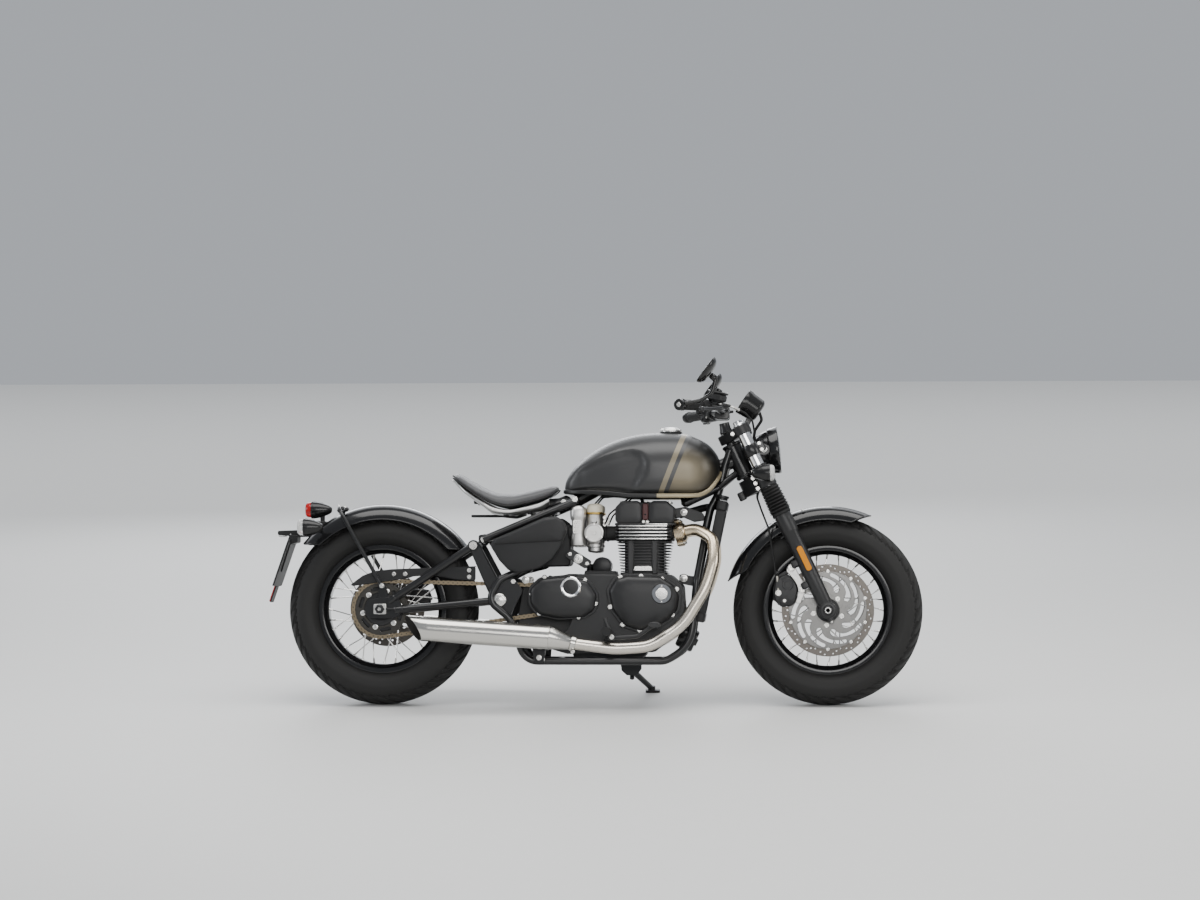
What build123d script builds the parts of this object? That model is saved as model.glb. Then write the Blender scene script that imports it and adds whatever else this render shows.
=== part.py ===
from build123d import *
import os
from math import sin, cos, radians, sqrt

# A bobber motorcycle, parked leaning to its left on its side stand.
# Everything is drawn upright first: +X forward, +Y to the bike's left, +Z up, X = 0 midway between
# the axles, Z = 0 on the ground. PARKED then leans each finished piece over by LEAN_DEG.
os.makedirs("parts", exist_ok=True)

# ---------------------------------------------------------------- driving dimensions (mm, degrees)
WHEELBASE = 1500.0
RAKE_DEG = 25.4                 # steering axis, back from the vertical
FORK_OFFSET = 53.0              # fork legs ahead of the steering axis
FORK_Y = 108.0                  # half the distance between the fork legs
LEAN_DEG = 8.0
SHIFT_X, SHIFT_Y, SHIFT_Z = 36.0, -153.4, 0.859

FRONT_X, REAR_X = WHEELBASE / 2, -WHEELBASE / 2
FRONT_R, REAR_R = 318.0, 322.0  # 130/90-16 and 150/80-16 tyres
AXLE_R, AXLE_BORE_R = 10.0, 6.0   # both axles are hollow
BORE_R = AXLE_R + 0.06
DISC_Y0, DISC_T = 66.0, 4.5
INDICATOR_Y = 176.0
PIVOT = Vector(85, 137, 112)             # the side stand's pivot
PIVOT_AXIS = Vector(0, 0.62, 0.784602)
CHAIN_Y = -92.0
CHAIN_PITCH_REAR, CHAIN_PITCH_FRONT = 94.1, 45.0
FRONT_SPROCKET = (-170.0, 356.0)

STEER = radians(RAKE_DEG)
UP = Vector(-sin(STEER), 0, cos(STEER))          # along the fork, upwards
AHEAD = Vector(cos(STEER), 0, sin(STEER))        # square to it, forwards
FRONT_AXLE = Vector(FRONT_X, 0, FRONT_R)
REAR_AXLE = Vector(REAR_X, 0, REAR_R)
STEER_FOOT = FRONT_AXLE - AHEAD * FORK_OFFSET    # the steering axis passes here
LEAN = radians(LEAN_DEG)
WORLD_UP = Vector(0, -sin(LEAN), cos(LEAN))      # the real vertical, in the upright bike's axes
PARKED = Location((SHIFT_X, SHIFT_Y, SHIFT_Z), (-LEAN_DEG, 0, 0))
BOTH = (-1, 1)                                   # right side, left side


def keep(piece, name):
    """Leans a finished piece with the parked bike and writes it."""
    parked = piece.moved(PARKED)
    parked.label = name
    export_step(parked, f"parts/{name}.step")
    print(name, len(parked.solids()), round(parked.volume), parked.is_valid, flush=True)


def fork_point(t, ahead=0.0, y=0.0):
    """t mm up the fork legs' line from the axle, ahead of it by so much, at lateral y."""
    return FRONT_AXLE + UP * t + AHEAD * ahead + Vector(0, y, 0)


def head_point(t, ahead=0.0, y=0.0):
    """The same, measured from the steering axis."""
    return STEER_FOOT + UP * t + AHEAD * ahead + Vector(0, y, 0)


def fork_plane(t, ahead=0.0, y=0.0):
    """A plane square to the fork: local x forwards, local y to the left."""
    return Plane(origin=fork_point(t, ahead, y), x_dir=AHEAD, z_dir=UP)


def across(x, z, y=0.0):
    """A plane facing the bike's left: local x is forwards, local y is up, z_dir is -Y."""
    return Plane(origin=(x, y, z), x_dir=(1, 0, 0), z_dir=(0, -1, 0))


def add_tube(points, radius, bends=None):
    """A round tube along straight runs joined by tangent arcs, into the open part."""
    with BuildLine() as run:
        if bends is None or len(points) == 2:
            Polyline(*points)
        else:
            FilletPolyline(*points, radius=bends)
    route = run.wire()
    with BuildSketch(Plane(origin=route @ 0, z_dir=route % 0)) as ring:
        Circle(radius)
    sweep(sections=ring.sketch, path=route)


def add_rod(start, end, radius, end_radius=None):
    """A straight round rod or cone between two points, into the open part."""
    start, end = Vector(*start), Vector(*end)
    span = end - start
    with BuildSketch(Plane(origin=start, z_dir=span)) as near:
        Circle(radius)
    if end_radius is None:
        extrude(near.sketch, amount=span.length)
    else:
        with BuildSketch(Plane(origin=end, z_dir=span)) as far:
            Circle(end_radius)
        loft([near.sketch.face(), far.sketch.face()])


def add_plate(points, y_low, y_high, corner=0.0):
    """A flat plate or block with the given outline in X and Z, between two lateral places."""
    with BuildSketch(across(0, 0, y_high)) as outline:
        with BuildLine():
            Polyline(*points, close=True)
        make_face()
        if corner:
            fillet(outline.vertices(), corner)
    extrude(outline.sketch, amount=y_high - y_low)


def carve(*pieces):
    """Takes what the other pieces fill out of the open part, so that they meet face to face."""
    for piece in pieces:
        add(piece.part, mode=Mode.SUBTRACT)


def tube_runs(points, radius, bends):
    """A bent tube as separate solids, one for each straight run and each bend, that meet face to face."""
    with BuildLine() as run:
        FilletPolyline(*points, radius=bends)
    pieces = []
    for edge in run.wire().edges():
        with BuildPart() as piece:
            with BuildSketch(Plane(origin=edge @ 0, z_dir=edge % 0)) as ring:
                Circle(radius)
            sweep(sections=ring.sketch, path=edge)
        pieces.append(piece.part)
    return pieces


def rod_piece(start, end, radius):
    with BuildPart() as piece:
        add_rod(start, end, radius)
    return piece.part


def plate_piece(points, y_low, y_high, corner=0.0):
    with BuildPart() as piece:
        add_plate(points, y_low, y_high, corner)
    return piece.part


def one_node(pieces, *neighbours):
    """Separate solids for one node: each piece gives way to the neighbours and to the pieces before it."""
    made = []
    for piece in pieces:
        box = piece.bounding_box()
        for other in [*[n.part for n in neighbours], *made]:
            far = other.bounding_box()
            apart = (box.min.X > far.max.X or far.min.X > box.max.X or box.min.Y > far.max.Y or far.min.Y > box.max.Y
                     or box.min.Z > far.max.Z or far.min.Z > box.max.Z)
            if not apart:
                piece = Part() + (piece - other)
        made.extend(Part() + solid for solid in piece.solids())
    return Compound(children=made)


class Node:
    """Holds a finished compound where the other pieces look for their neighbour's part."""

    def __init__(self, part):
        self.part = part


def spin_about(centre):
    return Axis(tuple(centre), (0, 1, 0))


def wheel_plane(centre, angle_deg=0.0):
    """Local x is the wheel's radius at that angle above the forward direction, local y is +Y."""
    a = radians(angle_deg)
    return Plane(origin=tuple(centre), x_dir=(cos(a), 0, sin(a)), z_dir=(-sin(a), 0, cos(a)))


# ---------------------------------------------------------------- wheels
# name, axle, tyre radius, half width, shoulder half width, bead outer half width, hub flange half width, rim spoke half width, hub flange radius
WHEELS = [
    ("front", FRONT_AXLE, FRONT_R, 65.0, 58.0, 37.0, 34.0, 8.0, 56.0),
    ("rear", REAR_AXLE, REAR_R, 75.0, 68.0, 49.0, 38.0, 12.0, 62.0),
]
BEAD_R, SHOULDER_R, FLANGE_R = 205.0, 290.0, 216.0

with BuildPart() as front_hub:
    with BuildSketch(wheel_plane(FRONT_AXLE)):
        with BuildLine():
            Polyline((BORE_R, -66), (58, -66), (58, -61), (36, -58), (34, -42), (56, -40), (56, -28), (27, -24),
                     (27, 24), (56, 28), (56, 40), (34, 42), (36, 58), (58, 61), (58, 66), (BORE_R, 66), close=True)
        make_face()
    revolve(axis=spin_about(FRONT_AXLE))
keep(front_hub.part, "front_hub")

with BuildPart() as rear_hub:
    with BuildSketch(wheel_plane(REAR_AXLE)):
        with BuildLine():
            Polyline((BORE_R, -88.5), (76, -88.5), (76, -76), (44, -66), (40, -46), (62, -44), (62, -32), (36, -28),
                     (36, 28), (62, 32), (62, 44), (40, 46), (40, 76), (52, 80), (52, 88), (BORE_R, 88), close=True)
        make_face()
    revolve(axis=spin_about(REAR_AXLE))
keep(rear_hub.part, "rear_hub")

for name, axle, outer_r, half, shoulder, bead, hub_flange, rim_spoke, hub_r in WHEELS:
    with BuildPart() as tyre:
        with BuildSketch(wheel_plane(axle)):
            with BuildLine():
                Polyline((BEAD_R, -bead + 11), (BEAD_R, -bead), (FLANGE_R + 1, -bead))
                ThreePointArc((FLANGE_R + 1, -bead), (BEAD_R + 47, -half), (SHOULDER_R, -shoulder))
                ThreePointArc((SHOULDER_R, -shoulder), (outer_r, 0), (SHOULDER_R, shoulder))
                ThreePointArc((SHOULDER_R, shoulder), (BEAD_R + 47, half), (FLANGE_R + 1, bead))
                Polyline((FLANGE_R + 1, bead), (BEAD_R, bead), (BEAD_R, bead - 11),
                         (BEAD_R + 17, bead - 7), (BEAD_R + 45, half - 12), (SHOULDER_R - 5, shoulder - 10))
                ThreePointArc((SHOULDER_R - 5, shoulder - 10), (outer_r - 12, 0), (SHOULDER_R - 5, -shoulder + 10))
                Polyline((SHOULDER_R - 5, -shoulder + 10), (BEAD_R + 45, -half + 12),
                         (BEAD_R + 17, -bead + 7), (BEAD_R, -bead + 11))
            make_face()
        revolve(axis=spin_about(axle))
    keep(tyre.part, f"{name}_tyre")

    rim_side = [(bead + 4, FLANGE_R), (bead + 0.3, FLANGE_R), (bead + 0.3, BEAD_R - 0.4), (bead - 15, BEAD_R - 0.4), (bead - 23, 195.0)]
    rim_under = [(bead + 4, 201.0), (bead - 11, 198.0), (bead - 20, 187.0)]
    with BuildPart() as rim:
        with BuildSketch(wheel_plane(axle)):
            with BuildLine():
                Polyline(*[(r, y) for y, r in rim_side], *[(r, -y) for y, r in rim_side[::-1]],
                         *[(r, -y) for y, r in rim_under], *[(r, y) for y, r in rim_under[::-1]], close=True)
            make_face()
        revolve(axis=spin_about(axle))
    keep(rim.part, f"{name}_rim")

    # 32 laced spokes: two sides, half leaning forwards and half back, each group a little inboard or outboard
    with BuildPart() as spokes:
        for side in BOTH:
            for k in range(16):
                lead = 1 if k % 2 else -1
                hub_a = radians(22.5 * k + (11.25 if side > 0 else 0))
                rim_a = hub_a + lead * radians(45)
                start = axle + Vector((hub_r - 6) * cos(hub_a), side * (hub_flange + lead * 3.2), (hub_r - 6) * sin(hub_a))
                end = axle + Vector(189.5 * cos(rim_a), side * (rim_spoke + lead * 2.6), 189.5 * sin(rim_a))
                add_rod(start, end, 1.8)
        carve(rim, front_hub if name == "front" else rear_hub)
    keep(spokes.part, f"{name}_spokes")

# brake discs: axle, side, inner face, outer radius, bore radius, window ring radius
with BuildPart() as front_discs:
    for side in BOTH:
        with BuildSketch(Plane(origin=(FRONT_X, side * DISC_Y0, FRONT_R), x_dir=(1, 0, 0), z_dir=(0, side, 0))):
            Circle(155)
            Circle(38, mode=Mode.SUBTRACT)
            with PolarLocations(101, 10):
                SlotOverall(44, 17, mode=Mode.SUBTRACT)
        extrude(amount=DISC_T)
keep(front_discs.part, "front_discs")

with BuildPart() as rear_disc:
    with BuildSketch(Plane(origin=(REAR_X, 88, REAR_R), x_dir=(1, 0, 0), z_dir=(0, 1, 0))):
        Circle(127.5)
        Circle(36, mode=Mode.SUBTRACT)
        with PolarLocations(84, 8):
            SlotOverall(34, 16, mode=Mode.SUBTRACT)
    extrude(amount=5)
keep(rear_disc.part, "rear_disc")

with BuildPart() as sprocket:
    with BuildSketch(Plane(origin=(REAR_X, -88.5, REAR_R), x_dir=(1, 0, 0), z_dir=(0, -1, 0))):
        Circle(CHAIN_PITCH_REAR - 13)
        Circle(30, mode=Mode.SUBTRACT)
    extrude(amount=7)
keep(sprocket.part, "rear_sprocket")

# ---------------------------------------------------------------- front axle, fork and steering
with BuildPart() as front_axle:
    add_rod((FRONT_X, -140, FRONT_R), (FRONT_X, 140, FRONT_R), AXLE_R)
    for side in BOTH:
        add_rod((FRONT_X, side * 67, FRONT_R), (FRONT_X, side * 78, FRONT_R), 16)
        add_rod((FRONT_X, side * 134.5, FRONT_R), (FRONT_X, side * 140, FRONT_R), 15)
    with BuildSketch(across(FRONT_X, FRONT_R, 160)):
        Circle(AXLE_BORE_R)
    extrude(amount=320, mode=Mode.SUBTRACT)
keep(front_axle.part, "front_axle")

SLIDER_TOP, GAITER_TOP, LOWER_YOKE, LOWER_YOKE_TOP = 360.0, 458.0, 458.0, 515.0
UPPER_YOKE, UPPER_YOKE_TOP, TUBE_TOP = 652.0, 684.0, 690.0
with BuildPart() as fork_sliders:
    for side in BOTH:
        y = side * FORK_Y
        with BuildSketch(fork_plane(0, 0, y)):
            Circle(24)
        with BuildSketch(fork_plane(150, 0, y)):
            Circle(26)
        loft()
        with BuildSketch(fork_plane(150, 0, y)):
            Circle(26)
        extrude(amount=140)
        with BuildSketch(fork_plane(290, 0, y)):
            Circle(29)
        extrude(amount=SLIDER_TOP - 290)
        add_rod((FRONT_X, y - side * 26, FRONT_R), (FRONT_X, y + side * 26.5, FRONT_R), 29)
        # lugs behind the leg for the caliper
        with BuildSketch(fork_plane(95, -34, y)):
            Rectangle(50, 20)
        extrude(amount=26)
        with BuildSketch(fork_plane(175, -34, y)):
            Rectangle(44, 20)
        extrude(amount=24)
    with BuildSketch(Plane(origin=(FRONT_X, 140, FRONT_R), x_dir=(1, 0, 0), z_dir=(0, -1, 0))):
        Circle(AXLE_R)
    extrude(amount=280, mode=Mode.SUBTRACT)
keep(fork_sliders.part, "fork_sliders")

with BuildPart() as fork_gaiters:
    for side in BOTH:
        for k in range(9):
            t = SLIDER_TOP + 1 + k * (GAITER_TOP - SLIDER_TOP - 2) / 9
            pitch = (GAITER_TOP - SLIDER_TOP - 2) / 9
            wide = 36.5 - 0.5 * k
            with BuildSketch(fork_plane(t, 0, side * FORK_Y)):
                Circle(wide - 6)
            with BuildSketch(fork_plane(t + pitch / 2, 0, side * FORK_Y)):
                Circle(wide)
            loft()
            with BuildSketch(fork_plane(t + pitch / 2, 0, side * FORK_Y)):
                Circle(wide)
            with BuildSketch(fork_plane(t + pitch, 0, side * FORK_Y)):
                Circle(wide - 6.5)
            loft()
        with BuildSketch(fork_plane(SLIDER_TOP + 0.5, 0, side * FORK_Y)):
            Circle(21.5)
        extrude(amount=GAITER_TOP - SLIDER_TOP, mode=Mode.SUBTRACT)
keep(fork_gaiters.part, "fork_gaiters")

with BuildPart() as fork_tubes:
    for side in BOTH:
        with BuildSketch(fork_plane(SLIDER_TOP, 0, side * FORK_Y)):
            Circle(21.5)
        extrude(amount=TUBE_TOP - SLIDER_TOP)
        with BuildSketch(fork_plane(TUBE_TOP, 0, side * FORK_Y)):
            Circle(19)
        extrude(amount=5)
keep(fork_tubes.part, "fork_tubes")

# yokes: bottom height, top height, clamp radius, stem boss radius
YOKES = [(LOWER_YOKE, LOWER_YOKE_TOP, 31.0, 34.0), (UPPER_YOKE, UPPER_YOKE_TOP, 30.0, 32.0)]
STEM_TOP = 700.0
with BuildPart() as triple_clamps:
    for low, high, clamp_r, boss_r in YOKES:
        with BuildSketch(fork_plane(low)):
            with Locations((0, FORK_Y), (0, -FORK_Y)):
                Circle(clamp_r)
            with Locations((-FORK_OFFSET, 0)):
                Circle(boss_r)
            with BuildLine():
                Polyline((22, -FORK_Y), (8, -40), (8, 40), (22, FORK_Y), (-24, FORK_Y), (-FORK_OFFSET - 26, 24),
                         (-FORK_OFFSET - 26, -24), (-24, -FORK_Y), close=True)
            make_face()
        extrude(amount=high - low)
    with BuildSketch(fork_plane(LOWER_YOKE, -FORK_OFFSET)):
        Circle(15)
    extrude(amount=STEM_TOP - LOWER_YOKE)
    with BuildSketch(fork_plane(UPPER_YOKE_TOP, -FORK_OFFSET)):
        Circle(17)
    extrude(amount=STEM_TOP - UPPER_YOKE_TOP)
    for side in BOTH:
        with BuildSketch(fork_plane(LOWER_YOKE - 5, 0, side * FORK_Y)):
            Circle(21.5)
        extrude(amount=TUBE_TOP - LOWER_YOKE + 20, mode=Mode.SUBTRACT)

# the headlight's brackets: a collar round each fork tube with an ear to the bowl
with BuildPart() as lamp_brackets:
    for side in BOTH:
        with BuildSketch(fork_plane(572, 0, side * FORK_Y)):
            Circle(27)
        extrude(amount=40)
        with BuildSketch(fork_plane(574, 0, 0)):
            with Locations((34, side * 88)):
                Rectangle(30, 16)
        extrude(amount=36)
        add_plate([(506, 838), (545, 840), (545, 872), (494, 876)], *sorted((side * 76.5, side * 82)))
    carve(fork_tubes)
keep(lamp_brackets.part, "lamp_brackets")
keep(triple_clamps.part, "triple_clamps")

# handlebar: centre, bend and end points for one side (the other is its mirror)
BAR_R, GRIP_R = 12.7, 17.0
BAR_Z = 986.0
BAR_END = Vector(272, -400, 990)
BAR_BEND = Vector(378, -190, 996)
BAR_INNER = Vector(396, -90, BAR_Z)
GRIP_RUN = (BAR_END - BAR_BEND).normalized()
RISER_Y = 46.0
with BuildPart() as handlebar:
    half = [BAR_END, BAR_BEND, BAR_INNER]
    add_tube([*[tuple(p) for p in half], *[(p.X, -p.Y, p.Z) for p in half[::-1]]], BAR_R, (60, 60, 60, 60))
    for side in BOTH:
        with BuildSketch(Plane(origin=tuple(head_point(UPPER_YOKE_TOP, 2, side * RISER_Y)), x_dir=AHEAD, z_dir=UP)):
            Circle(22)
        with BuildSketch(Plane(origin=(398, side * RISER_Y, 966), x_dir=(1, 0, 0), z_dir=(0, 0, 1))):
            Circle(17)
        loft()
        add_rod((396, side * (RISER_Y - 19), BAR_Z), (396, side * (RISER_Y + 19), BAR_Z), 24)
keep(handlebar.part, "handlebar")


def bar_point(distance, up=0.0, ahead=0.0, side=-1):
    """A point that far in from the bar's end along the grip, offset square to it."""
    p = BAR_END - GRIP_RUN * distance
    out = Vector(-GRIP_RUN.Y, GRIP_RUN.X, 0).normalized()     # forwards, square to the grip
    p = p + out * (ahead if out.X > 0 else -ahead) + Vector(0, 0, up)
    return (p.X, p.Y if side < 0 else -p.Y, p.Z)


with BuildPart() as grips:
    for side in BOTH:
        start, end = Vector(*bar_point(-14, side=side)), Vector(*bar_point(2, side=side))
        add_rod(bar_point(4, side=side), bar_point(126, side=side), GRIP_R)
        add_rod(bar_point(4, side=side), bar_point(-1, side=side), 19)
        with BuildSketch(Plane(origin=bar_point(-10, side=side), z_dir=Vector(*bar_point(130, side=side)) - Vector(*bar_point(-10, side=side)))):
            Circle(BAR_R)
        extrude(amount=160, mode=Mode.SUBTRACT)
keep(grips.part, "grips")

# hand controls: switch housing on the bar, reservoir on its perch, lever along the front of the grip
with BuildPart() as hand_controls:
    for side in BOTH:
        add_rod(bar_point(130, side=side), bar_point(168, side=side), 22)
        add_rod(bar_point(150, up=0, ahead=0, side=side), bar_point(150, up=-34, ahead=-6, side=side), 15)
        add_rod(bar_point(170, side=side), bar_point(192, side=side), 20)
        add_rod(bar_point(181, side=side), bar_point(176, up=-8, ahead=44, side=side), 13)
        add_tube([bar_point(180, up=-8, ahead=46, side=side), bar_point(140, up=-12, ahead=60, side=side),
                  bar_point(60, up=-14, ahead=58, side=side), bar_point(14, up=-16, ahead=66, side=side)], 6.5, (28, 60))
        with BuildSketch(Plane(origin=bar_point(12, up=-16, ahead=66, side=side), z_dir=(0, 1, 0))):
            Circle(9)
        extrude(amount=8, both=True)
        if side < 0:
            with BuildSketch(Plane(origin=bar_point(186, up=14, ahead=30, side=side), x_dir=(1, -0.45, -0.18), z_dir=(0.18, 0, 1))):
                RectangleRounded(62, 46, 8)
            extrude(amount=34)
        else:
            add_rod(bar_point(186, up=0, ahead=10, side=side), bar_point(186, up=6, ahead=60, side=side), 8)
        with BuildSketch(Plane(origin=bar_point(100, side=side), z_dir=Vector(*bar_point(240, side=side)) - Vector(*bar_point(100, side=side)))):
            Circle(BAR_R)
        extrude(amount=100, mode=Mode.SUBTRACT)
keep(hand_controls.part, "hand_controls")

# bar-end mirrors: clamp, curved arm, and an oval head that faces up and back
MIRROR_C, MIRROR_Y = (356.0, 1100.0), 408.0
MIRROR_N = Vector(-0.80, 0, 0.60)
with BuildPart() as mirrors:
    for side in BOTH:
        end = Vector(*bar_point(-2, side=side))
        tip = Vector(*bar_point(-20, side=side))
        add_rod(tuple(end), tuple(tip), 19)
        y = tip.Y - side * 9
        add_tube([(tip.X + 2, y, 991), (330, y, 1001), (372, y, 1026), (385, y - side * 2, 1078)], 6.5, (50, 34))
        add_rod((385, y - side * 2, 1072), (360, y - side * 2, 1092), 10)
        centre = Vector(MIRROR_C[0], side * MIRROR_Y, MIRROR_C[1])
        with BuildSketch(Plane(origin=centre, x_dir=(0, 1, 0), z_dir=MIRROR_N)):
            RectangleRounded(124, 100, 49)
        extrude(amount=7)
        with BuildSketch(Plane(origin=centre, x_dir=(0, 1, 0), z_dir=-MIRROR_N)):
            RectangleRounded(100, 78, 38)
        extrude(amount=9)
    carve(grips, handlebar)
keep(mirrors.part, "mirrors")

# instrument: one round clock on an arm from the upper yoke, facing up and back
CLOCK_BACK, CLOCK_FACE = Vector(515, 0, 990), Vector(466, 0, 1023)
with BuildPart() as instrument:
    add_rod(tuple(CLOCK_BACK), tuple(CLOCK_FACE), 41, 45)
    with BuildSketch(Plane(origin=CLOCK_BACK, z_dir=CLOCK_BACK - CLOCK_FACE)) as back:
        Circle(41)
    extrude(amount=10, taper=45)
    add_plate([(452, 925), (478, 925), (508, 985), (488, 985)], -14, 14)
    with BuildSketch(fork_plane(UPPER_YOKE_TOP - 6, -8)):
        Rectangle(30, 60)
    extrude(amount=14)
    with BuildSketch(fork_plane(UPPER_YOKE - 1, 0, 0)):
        Rectangle(200, 200)
    extrude(amount=UPPER_YOKE_TOP - UPPER_YOKE + 1, mode=Mode.SUBTRACT)
keep(instrument.part, "instrument")

# headlight: bowl and rim turned about its own axis, glass set into the rim, two ears back to the yokes
LAMP_C, LAMP_DIR = Vector(578, 0, 857), Vector(0.9938, 0, 0.1118)
with BuildPart() as headlight:
    with BuildSketch(Plane(origin=LAMP_C, x_dir=LAMP_DIR, z_dir=(0, -1, 0))):
        with BuildLine():
            Polyline((-86, 0), (-86, 22))
            ThreePointArc((-86, 22), (-64, 52), (-26, 70))
            Polyline((-26, 70), (-26, 76), (-4, 77), (2, 79), (9, 76), (9, 70), (0, 70), (-12, 64), (-12, 0), (-86, 0))
        make_face()
    revolve(axis=Axis(LAMP_C, LAMP_DIR))
    for side in BOTH:
        with BuildSketch(Plane(origin=tuple(LAMP_C - LAMP_DIR * 42 + Vector(0, side * 60, 0)), x_dir=(1, 0, 0), z_dir=(0, side, 0))):
            Circle(17)
        extrude(amount=16)
keep(headlight.part, "headlight")

with BuildPart() as headlight_glass:
    with BuildSketch(Plane(origin=LAMP_C, x_dir=LAMP_DIR, z_dir=(0, -1, 0))):
        with BuildLine():
            Polyline((-2, 0), (-2, 69.7), (2, 69.7), (9, 44), (12, 20), (12, 0), close=True)
        make_face()
    revolve(axis=Axis(LAMP_C, LAMP_DIR))
    carve(headlight)
keep(headlight_glass.part, "headlight_glass")

# lamp ears and the two front indicators, each a bullet with its lens to the front
with BuildPart() as front_indicators:
    for side in BOTH:
        add_rod((500, side * INDICATOR_Y, 775), (557, side * INDICATOR_Y, 775), 15, 29)
        add_rod((557, side * INDICATOR_Y, 775), (574, side * INDICATOR_Y, 775), 31, 27)
        add_rod((513, side * (INDICATOR_Y - 10), 791), tuple(fork_point(528, 0, side * FORK_Y)), 8)
        with BuildSketch(fork_plane(517, 0, side * FORK_Y)):
            Circle(27)
        extrude(amount=20)
    carve(fork_tubes)
keep(front_indicators.part, "front_indicators")

# front calipers: a block behind each leg, with a slot that clears the disc by 5 mm each side
CALIPER_FRONT = [(628, 470), (668, 452), (672, 400), (640, 345), (600, 330), (578, 352), (588, 405), (604, 450)]
with BuildPart() as front_calipers:
    for side in BOTH:
        add_plate(CALIPER_FRONT, *sorted((side * 46, side * 98)), corner=9)
        with BuildSketch(Plane(origin=(FRONT_X, side * (DISC_Y0 - 5), FRONT_R), x_dir=(1, 0, 0), z_dir=(0, side, 0))):
            Circle(161)
        extrude(amount=DISC_T + 10, mode=Mode.SUBTRACT)
    carve(fork_sliders)
keep(front_calipers.part, "front_calipers")

# fenders: name, axle, outer radius, half width, skirt depth, high angle, swept angle
FENDERS = [
    ("front_fender", FRONT_AXLE, 350.0, 75.5, 46.0, 164.0, 99.0),
    ("rear_fender", REAR_AXLE, 354.0, 88.0, 52.0, 141.0, 106.0),
]
for name, axle, outer, half, skirt, high, sweep_deg in FENDERS:
    shell = [(outer - skirt, half), (outer - skirt * 0.55, half - 1), (outer - 12, half - 20), (outer - 2, half - 48), (outer, 0)]
    inner = [(r - 3.2 if i > 1 else r, y - (3.2 if i < 3 else 0)) for i, (r, y) in enumerate(shell)]
    with BuildPart() as fender:
        with BuildSketch(wheel_plane(axle, high)):
            with BuildLine():
                Polyline(*shell, *[(r, -y) for r, y in shell[-2::-1]], *[(r, -y) for r, y in inner],
                         *inner[-2::-1], close=True)
            make_face()
        revolve(axis=spin_about(axle), revolution_arc=sweep_deg)
        if name == "front_fender":
            for side in BOTH:
                with BuildSketch(fork_plane(280, -6, side * 74)):
                    Rectangle(34, 9)
                extrude(amount=60)
            carve(fork_sliders)
            front_fender = fender
        else:
            # its stay: one hoop over the top, down to the swinging arm's tabs
            add_tube([(-744, -123, 398), (-896, -98, 662), (-896, 98, 662), (-744, 123, 398)], 6.5, (40, 40))
            rear_fender = fender
    keep(fender.part, name)

# brake hoses that stay on the fork: from the reservoir down to a splitter on the lower yoke, then to each caliper
HOSE_R = 3.2
HOSE_MAIN = [(452, -206, 985), (476, -172, 974), (500, -120, 950), (507, -70, 905), (508, -62, 850), (524, -60, 796)]
HOSE_LEG = [(524, 52, 735), (512, 62, 700), (528, 78, 654), (553, 94, 590), (571, 96, 480), (578, 93, 410), (586, 90, 378)]
HOSE_BENDS = (40, 50, 90, 90)
HOSE_LEG_BENDS = (34, 60, 80, 90, 60)
with BuildPart() as brake_hoses:
    add_tube(HOSE_MAIN, HOSE_R, HOSE_BENDS)
    for side in BOTH:
        add_tube([(x, side * y, z) for x, y, z in HOSE_LEG], HOSE_R, HOSE_LEG_BENDS)
    carve(triple_clamps, front_calipers, fork_sliders)
keep(brake_hoses.part, "brake_hoses")
print("hose bend radii", HOSE_BENDS, HOSE_LEG_BENDS)

# ---------------------------------------------------------------- frame
HEAD_LOW, HEAD_HIGH = LOWER_YOKE_TOP + 6, UPPER_YOKE - 6
TUBE_R = 14.0
RAIL = [(-96, 98, 683), (-404, 111, 554)]
CRADLE = [(422, 20, 856), (404, 22, 800), (384, 28, 712), (356, 36, 660), (342, 44, 600), (334, 56, 540), (312, 98, 420),
          (292, 116, 200), (208, 118, 148), (-262, 126, 148), (-310, 147, 290), (-384, 149, 352), (-346, 143, 420), (-262, 118, 460),
          (-196, 104, 620)]
CRADLE_BENDS = (90, 90, 60, 60, 60, 60, 120, 60, 60, 90, 40, 36, 30, 30)[:len(CRADLE) - 2]
with BuildPart() as frame_backbone:
    with BuildSketch(Plane(origin=tuple(head_point(HEAD_LOW)), x_dir=AHEAD, z_dir=UP)):
        Circle(31)
    extrude(amount=HEAD_HIGH - HEAD_LOW)
    add_tube([tuple(head_point(590)), (260, 0, 746), (0, 0, 742), (-96, 0, 690)], 24, (150, 60))
    add_rod((-96, -101, 690), (-96, 101, 690), 11)
    add_rod((-168, -101, 651), (-168, 101, 651), 10)
    add_rod((-404, -111, 556), (-404, 111, 556), 10)
    for side in BOTH:
        add_tube([(x, side * y, z) for x, y, z in RAIL], TUBE_R - 1)
        # lower head tube to the down tube, and on along the tank's underside to the backbone
        add_rod(tuple(head_point(548, -26, side * 14)), (384, side * 40, 730), 11)
        add_rod((384, side * 40, 730), (270, side * 60, 676), 11)
        add_rod((270, side * 60, 676), (262, side * 10, 728), 11)
    with BuildSketch(Plane(origin=tuple(head_point(HEAD_LOW - 10)), x_dir=AHEAD, z_dir=UP)):
        Circle(18.5)
    extrude(amount=HEAD_HIGH - HEAD_LOW + 20, mode=Mode.SUBTRACT)
keep(frame_backbone.part, "frame_backbone")

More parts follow.
